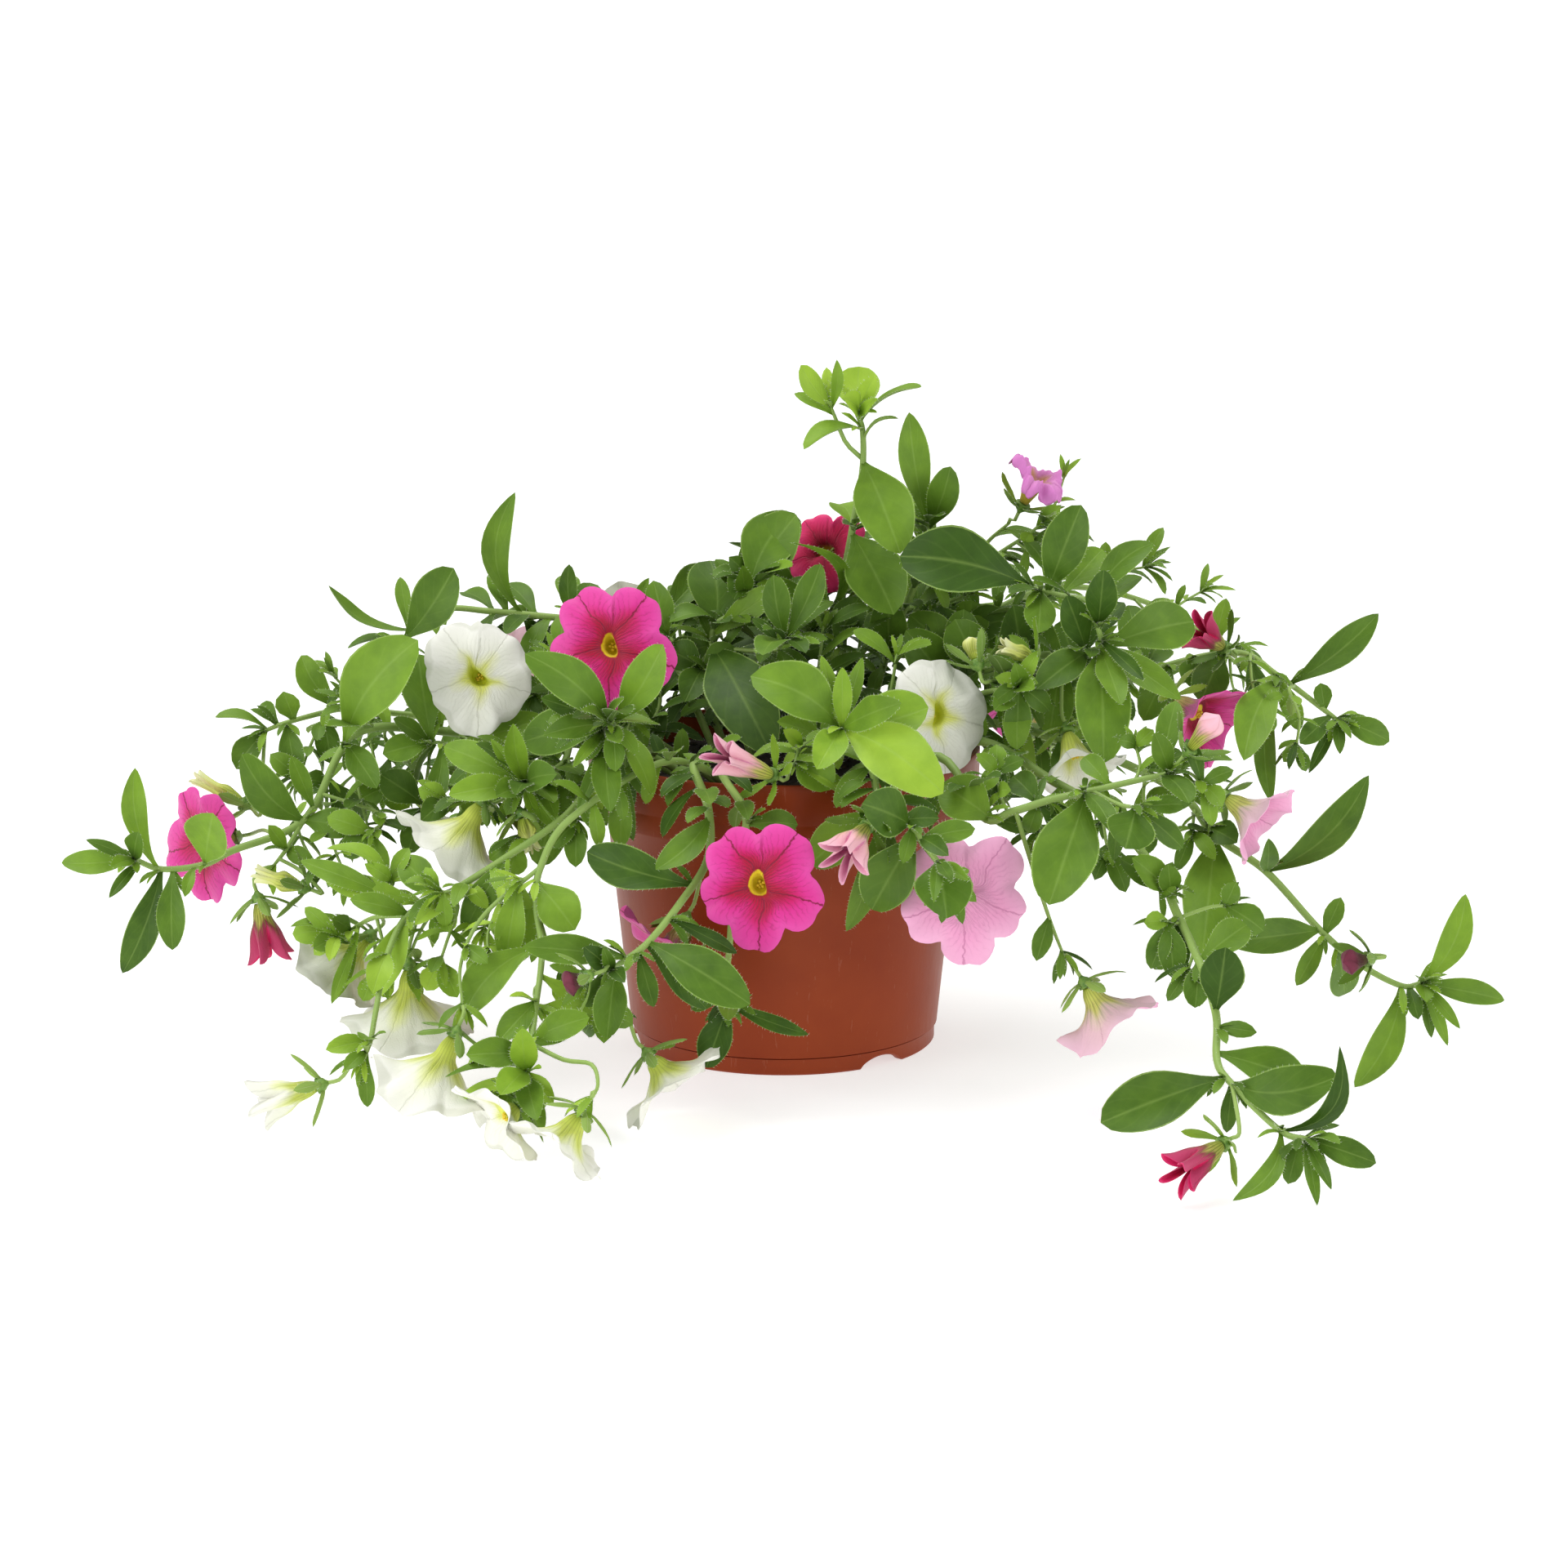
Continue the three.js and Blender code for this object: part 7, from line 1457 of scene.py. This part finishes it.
def petal_tissue(name, stops, vein_colour, vein_share, tube_share, roughness):
    """Petal tissue: velvety, coloured from the throat (v is 0) to the edge (v is 1), with fanned veins. Its
    nap is drawn 0.45 mm wide, coarser than it is, so that it shows."""
    material, tree, place = new_material(name)
    surface = add(tree, "UVMap", uv_map="surface")
    u, v = add(tree, "SeparateXYZ", surface), add(tree, "SeparateXYZ", surface, out=1)
    blush = add(tree, "TexNoise", place, Scale=1000 / 5, Detail=4, Roughness=0.55)
    drift = add(tree, "TexNoise", place, Scale=1000 / 1.6, Detail=3, Roughness=0.55)
    grain = add(tree, "TexNoise", place, Scale=1000 / 0.45, Detail=2, Roughness=0.55)
    across = add(tree, "SUBTRACT", add(tree, "FRACT", add(tree, "MULTIPLY", u, LOBES)), 0.5)
    # Beyond the throat its colours run out along the midveins in five points.
    wander = add(tree, "MULTIPLY_ADD", add(tree, "SUBTRACT", blush, 0.5), 0.16, v)
    beyond = add(tree, "ValToRGB", v, stops=[(0.2, 0x000000), (0.34, 0xFFFFFF)])
    toward = add(tree, "MULTIPLY_ADD", add(tree, "ABSOLUTE", across), 0.5, -0.1)
    base = add(tree, "ValToRGB", add(tree, "MULTIPLY_ADD", toward, beyond, wander), stops=stops)
    # The midvein is a third of a millimetre wide from the throat to the edge.
    bent = add(tree, "ABSOLUTE", add(tree, "MULTIPLY_ADD", add(tree, "SUBTRACT", drift, 0.5), 0.1, across))
    middle = add(tree, "ValToRGB", add(tree, "MULTIPLY", bent, v),
                 stops=[(0, 0xFFFFFF), (0.005, 0xF0F0F0), (0.014, 0x000000)])
    # Side veins leave the midvein forwards and fade towards the edge.
    forward = add(tree, "MULTIPLY_ADD", blush, 14, add(tree, "MULTIPLY", v, 24))
    slope = add(tree, "SINE", add(tree, "MULTIPLY_ADD", bent, -60, forward))
    chevrons = add(tree, "POWER", add(tree, "MULTIPLY_ADD", slope, 0.5, 0.5), 7)
    patches = add(tree, "ValToRGB", drift, stops=[(0.3, 0x404040), (0.6, 0xFFFFFF)])
    fade = add(tree, "ValToRGB", v, stops=[(0.24, 0xFFFFFF), (0.5, 0xD0D0D0), (0.95, 0x404040)])
    outer = add(tree, "MULTIPLY", add(tree, "MULTIPLY", chevrons, patches), fade)
    # Finer ones fan out of the throat.
    fan = add(tree, "SINE", add(tree, "MULTIPLY_ADD", drift, 5, add(tree, "MULTIPLY", bent, 60)))
    fine = add(tree, "POWER", add(tree, "MULTIPLY_ADD", fan, 0.5, 0.5), 7)
    near = add(tree, "ValToRGB", wander, stops=[(0.15, 0xB0B0B0), (0.24, 0xFFFFFF), (0.62, 0x000000)])
    side = add(tree, "MULTIPLY", add(tree, "MAXIMUM", outer, add(tree, "MULTIPLY", fine, near)), 0.85)
    past_throat = add(tree, "ValToRGB", v, stops=[(0.17, 0x000000), (0.22, 0xFFFFFF)])
    veins = add(tree, "MULTIPLY", add(tree, "MAXIMUM", side, middle), past_throat)
    shown = add(tree, "MULTIPLY", veins, vein_share)
    veined = add(tree, "Mix", shown, base, linear(vein_colour), data_type="RGBA")
    # Green lines up the outside of the tube, four to a lobe.
    beat = add(tree, "MULTIPLY_ADD", add(tree, "SINE", add(tree, "MULTIPLY", u, TURN * 4 * LOBES)), 0.5, 0.5)
    on_tube = add(tree, "ValToRGB", v, stops=[(0.3, 0xFFFFFF), (0.62, 0x000000)])
    lines = add(tree, "MULTIPLY", add(tree, "MULTIPLY", add(tree, "POWER", beat, 3), on_tube), tube_share)
    relief = add(tree, "MULTIPLY_ADD", veins, -0.8, add(tree, "MULTIPLY", grain, 0.35))
    finish_with(tree, Base_Color=add(tree, "Mix", lines, veined, linear(0x6B7A1E), data_type="RGBA"),
                Roughness=add(tree, "MULTIPLY_ADD", grain, 0.2, roughness - 0.1),
                Normal=add(tree, "Bump", Height=relief, Strength=0.7, Distance=0.22 / 1000),
                Specular_IOR_Level=0.3, Sheen_Weight=0.1, Sheen_Roughness=0.5)
    return material


# Pollen sacs: powdery, warm yellow, in specks of half a millimetre.
pollen = grained("pollen_sacs", [(0.3, 0xD8B42A), (0.7, 0xF2DC50)], 0.5, 3, 0.85, (0.5, 3, 0.1, 0.7))
petal_finishes = {}
for hue, (face_stops, veins, share, back_stops, tube_share, roughness) in HUES.items():
    petal_finishes[hue] = [
        petal_tissue(hue + "_petal_face", face_stops, veins, share, 0, roughness),
        petal_tissue(hue + "_petal_back", back_stops, veins, 0.5 * share, tube_share, roughness + 0.1),
        pollen,
    ]


def smooth_step(low, high, x):
    t = clamp((x - low) / (high - low), 0, 1)
    return t * t * (3 - 2 * t)


def profile_at(rows, t):
    return on_curve([(r, z, 0) for r, z in rows], t)[:2]


# How the lobes of each kind of corolla are cut and folded, as shares of the mouth radius: depth of the gaps
# between lobes, of the notch at a lobe's midvein, height of the waves, step where lobes overlap, and how far
# the gaps are drawn in towards the middle.
LOBE_CUTS = {
    "open": {"gap": 0.36, "notch": 0.055, "wave": 0.05, "step": 0.08, "pleat": 0},
    "round": {"gap": 0.15, "notch": 0.035, "wave": 0.05, "step": 0.1, "pleat": 0},
    "trumpet": {"gap": 0.2, "notch": 0.05, "wave": 0.12, "step": 0.09, "pleat": 0},
    "half": {"gap": 0.6, "notch": 0, "wave": 0.05, "step": 0, "pleat": 0.55},
    "wilted": {"gap": 0.3, "notch": 0.1, "wave": 0.32, "step": 0.2, "pleat": 0.35},
}


def lobe_cuts(flower):
    if flower["hue"] in ("faded", "dried"):
        return LOBE_CUTS["wilted"]
    if flower["name"] == "magenta_low":
        return LOBE_CUTS["trumpet"]
    return LOBE_CUTS["round" if (flower["hue"], flower["kind"]) == ("white", "open") else flower["kind"]]


def corolla_rows(flower, flare):
    """The outline of a corolla's outside, with the finer turns that its solid leaves out."""
    shape, radius, length = PROFILES[flower["kind"]], flower["radius"], flower["length"]
    edge = measured(flower, shape["edge"])
    if flower["hue"] == "faded":
        return [(1.5, 0), (2.6, 0.3 * length), (3.6, 0.58 * length), (0.6 * radius, 0.78 * length),
                (0.9 * radius, 0.8 * length), (radius, 0.62 * length)]
    if flower["kind"] == "open":
        return [(1.5, 0), (2.3, 0.5 * length), (3.5, length - 2.4), (max(4.6, 0.26 * radius), length - 0.6),
                (0.5 * radius, length + 0.2), edge]
    if flower["kind"] == "trumpet":
        throat = max(4.2, (0.3 + 0.12 * flare) * radius)
        return [(1.5, 0), (2.7, 0.16 * length), (3.6, 0.36 * length), (throat, 0.57 * length),
                ((0.5 + 0.2 * flare) * radius, 0.79 * length), edge]
    return [(1.5, 0), (2.4, 0.15 * length), (3.2, 0.36 * length), (0.55 * radius + 0.4, 0.55 * length),
            (0.76 * radius, 0.8 * length), edge]


def grow_corolla(petals, flower, draw):
    """An open or half-open corolla: up its outside, over the edge and down into the throat."""
    radius, length, kind = flower["radius"], flower["length"], flower["kind"]
    rows = corolla_rows(flower, draw())
    pit = PROFILES[kind]["pit"] * length
    cuts = lobe_cuts(flower)
    beat, phase = 2 + int(2 * draw()), 6.3 * draw()
    wave = cuts["wave"] * radius * (0.7 + 0.6 * draw())
    lift = [0.2 * radius * (draw() - 0.55) for _ in range(LOBES)]
    reach = [1.04 - 0.2 * draw() for _ in range(LOBES)]
    shift, squeeze, bend = 0.045 * draw(), 0.35 + 0.2 * draw(), 0.35 + 0.3 * draw()

    def place(r, z, turn):
        around = turn + shift * math.sin(TURN * turn + phase)
        share, lobe = around * LOBES % 1, int(around * LOBES) % LOBES
        w = smooth_step(0.3 * radius, radius, r)
        bulge = math.sin(math.pi * share) ** (0.62 if cuts["pleat"] == 0 else 1)
        cut = (1 - cuts["gap"] * (1 - bulge)) * (1 + (reach[lobe] - 1) * bulge)
        cut -= cuts["notch"] * math.exp(-((share - 0.5) / 0.1) ** 2)
        cut += 0.012 * math.sin(11 * TURN * turn + phase)
        pleat = 1 - cuts["pleat"] * smooth_step(0.25, 1, z / length) * abs(math.cos(math.pi * share)) ** 1.2
        angle, out = TURN * turn, r * (1 + (cut - 1) * w) * pleat
        if kind == "open":
            # The mouth of the throat is pressed to a bent slot.
            held = (1 - smooth_step(0.2 * radius, 0.5 * radius, r)) * smooth_step(0.45, 0.9, z / length)
            wide, narrow = r * math.cos(angle - phase), r * math.sin(angle - phase)
            narrow = narrow * (1 - squeeze * held) + bend * held * (wide * wide / (0.26 * radius) - 0.5 * r)
            out = math.hypot(wide, narrow) * (1 + (cut - 1) * w) * pleat
            angle = math.atan2(narrow, wide) + phase
        up = wave * math.sin(beat * TURN * turn + phase) + lift[lobe] * bulge
        up += 0.35 * wave * math.sin(9 * TURN * turn + 2 * phase) * w
        if flower["hue"] == "faded":
            up += 0.3 * wave * math.sin(17 * TURN * turn + z)
        up += 0.7 * radius * (bulge - 0.5) * (cuts["pleat"] > 0.5)
        step = (share - 0.5) * smooth_step(0, 0.08, share) * smooth_step(0, 0.08, 1 - share)
        up += cuts["step"] * radius * step
        up -= 0.03 * radius * math.exp(-((share - 0.5) / 0.06) ** 2) + 0.06 * radius * w * bulge
        return around_axis(flower, flower["seat"], out, angle, z + up * w)

    def ring_at(r, z, v, sharp=False):
        return [petals.put(place(r, z, j / AROUND), j / AROUND, v, 0, sharp) for j in range(AROUND)]

    curve = [profile_at(rows, k / ALONG) for k in range(ALONG + 1)]
    total = sum(math.dist(a, b) for a, b in zip(curve, curve[1:]))
    run, outside = 0, [ring_at(*curve[0], 0)]
    for before, (r, z) in zip(curve, curve[1:]):
        run += math.dist(before, (r, z))
        outside.append(ring_at(r, z, run / total, r >= 0.999 * radius))
    inside = [outside[-1]]
    for k in range(ALONG, 0, -1):
        (r0, z0), (r, z), (r1, z1) = curve[k - 1], curve[k], curve[min(k + 1, ALONG)]
        tilt = math.atan2(z1 - z0, r1 - r0)
        r -= PETAL_THICKNESS * math.sin(tilt)
        if k == ALONG:
            r, z = r * 0.994, z + 0.12
        else:
            z += PETAL_THICKNESS * math.cos(tilt)
        if z < pit:
            break
        inside.append(ring_at(r, z, r / radius))
    petals.add_face(reversed(outside[0]), BACK)
    for rings, slot in ((outside, BACK), (inside, FACE)):
        for low, high in zip(rings, rings[1:]):
            petals.join(low, high, slot)
    petals.join(inside[-1], petals.put(around_axis(flower, flower["seat"], 0, 0, pit)), FACE)
    if kind != "half":
        depth = 5.2 if kind == "open" else 0.45 * length
        grow_anthers(petals, flower, max(pit + 0.8, length - depth), pit, draw)


def grow_anthers(petals, flower, top, foot, draw):
    """Five pollen sacs on short threads round a sixth one in the middle, in the mouth of the throat."""
    seat = flower["seat"]
    for k in range(LOBES + 1):
        angle, away = TURN * k / LOBES + draw(), 0 if k == LOBES else 0.9
        height = top + 0.8 * (draw() - 0.5)
        rings = []
        for radius, z in ((0.1, foot - 0.3), (0.1, height - 0.7), (0.34, height - 0.45), (0.5, height),
                          (0.34, height + 0.42)):
            centre = around_axis(flower, seat, away, angle, z)
            rings.append([petals.put(around_axis(flower, centre, radius, math.pi * j / 3, 0))
                          for j in range(6)])
        petals.close(rings, petals.put(around_axis(flower, seat, away, angle, height + 0.6)), ANTHER)


def grow_bud(petals, flower):
    """A closed bud: five pleats that twist towards the tip."""
    rows = [measured(flower, row) for row in PROFILES["bud"]["outside"]]
    tip = measured(flower, PROFILES["bud"]["edge"])
    rows += [(0.12 * flower["radius"], tip[1] - 0.2)]
    rings = []
    for t in (k / 18 for k in range(19)):
        r, z = profile_at(rows, t)
        rings.append([])
        for turn in (j / 50 for j in range(50)):
            pleat = 1 - 0.16 * smooth_step(0.25, 0.8, t) * abs(math.cos(math.pi * LOBES * turn)) ** 0.6
            p = around_axis(flower, flower["seat"], r * pleat, TURN * turn + 1.1 * t * t, z)
            rings[-1].append(petals.put(p, turn, t))
    petals.close(rings, petals.put(around_axis(flower, flower["seat"], 0, 0, tip[1]), 0, 1), BACK)


for number, flower in enumerate(flowers):
    petals = Piece()
    if flower["kind"] == "bud":
        grow_bud(petals, flower)
    else:
        grow_corolla(petals, flower, seeded(900 + number))
    name, hue = flower["name"], flower["hue"]
    if number < len(FLOWERS):
        petals.finish("corolla_" + name, petal_finishes[hue], "bloom_" + name)
    else:
        petals.finish(name, petal_finishes[hue])

# ------------------------------------------------------------------------------ floor, light and camera
# A very wide board of opal acrylic that glows a little, one very large soft light overhead and a soft box at
# each side. The camera looks slightly down at the front of the pot.
floor_mesh = bmesh.new()
bmesh.ops.create_grid(floor_mesh, x_segments=8, y_segments=8, size=60)
floor_data = bpy.data.meshes.new("floor")
floor_mesh.to_mesh(floor_data)
floor_mesh.free()
floor = bpy.data.objects.new("floor", floor_data)
bpy.context.scene.collection.objects.link(floor)
# Opal acrylic: white and matt, clouded 40 mm wide, with a glow that keeps the shadows light.
opal_acrylic, tree, place = new_material("opal_acrylic")
cloud = add(tree, "TexNoise", place, Scale=1000 / 40, Detail=2, Roughness=0.55)
finish_with(tree, Base_Color=add(tree, "ValToRGB", cloud, stops=[(0.3, 0xD0D0D0), (0.7, 0xD4D4D4)]),
            Roughness=0.9, Specular_IOR_Level=0.1, Emission_Color=linear(0xFFFFFF), Emission_Strength=0.6)
floor_data.materials.append(opal_acrylic)

world = bpy.data.worlds.new("pale_studio")
world.use_nodes = True
feed(world.node_tree.nodes["Background"].inputs["Color"], linear(0xFFFFFF))
feed(world.node_tree.nodes["Background"].inputs["Strength"], 0.42)
bpy.context.scene.world = world


def add_light(name, kind, place, power, spread):
    """A light that looks at the middle of the plant. spread is a soft box's width or the sun's angle."""
    light = bpy.data.lights.new(name, kind)
    light.energy = power
    setattr(light, "angle" if kind == "SUN" else "size", spread)
    lamp = bpy.data.objects.new(name, light)
    lamp.location = metres(place)
    x, y, z = minus((0, 0, 90), place)
    lamp.rotation_euler = (math.atan2(math.hypot(x, y), -z), 0, math.atan2(y, x) - math.pi / 2)
    bpy.context.scene.collection.objects.link(lamp)


add_light("overhead", "SUN", (-250, 260, 1500), 1.7, 0.7)
add_light("left_box", "AREA", (-1300, -900, 700), 12, 1.0)
add_light("right_box", "AREA", (1300, -900, 700), 9, 1.0)

camera_data = bpy.data.cameras.new("camera")
camera_data.lens = 95.025
camera_data.sensor_width = 36
camera = bpy.data.objects.new("camera", camera_data)
camera.location = metres((0, -1240, 352))
camera.rotation_euler = (math.radians(77.6), 0, 0)
bpy.context.scene.collection.objects.link(camera)
bpy.context.scene.camera = camera
bpy.context.scene.view_settings.view_transform = "Standard"
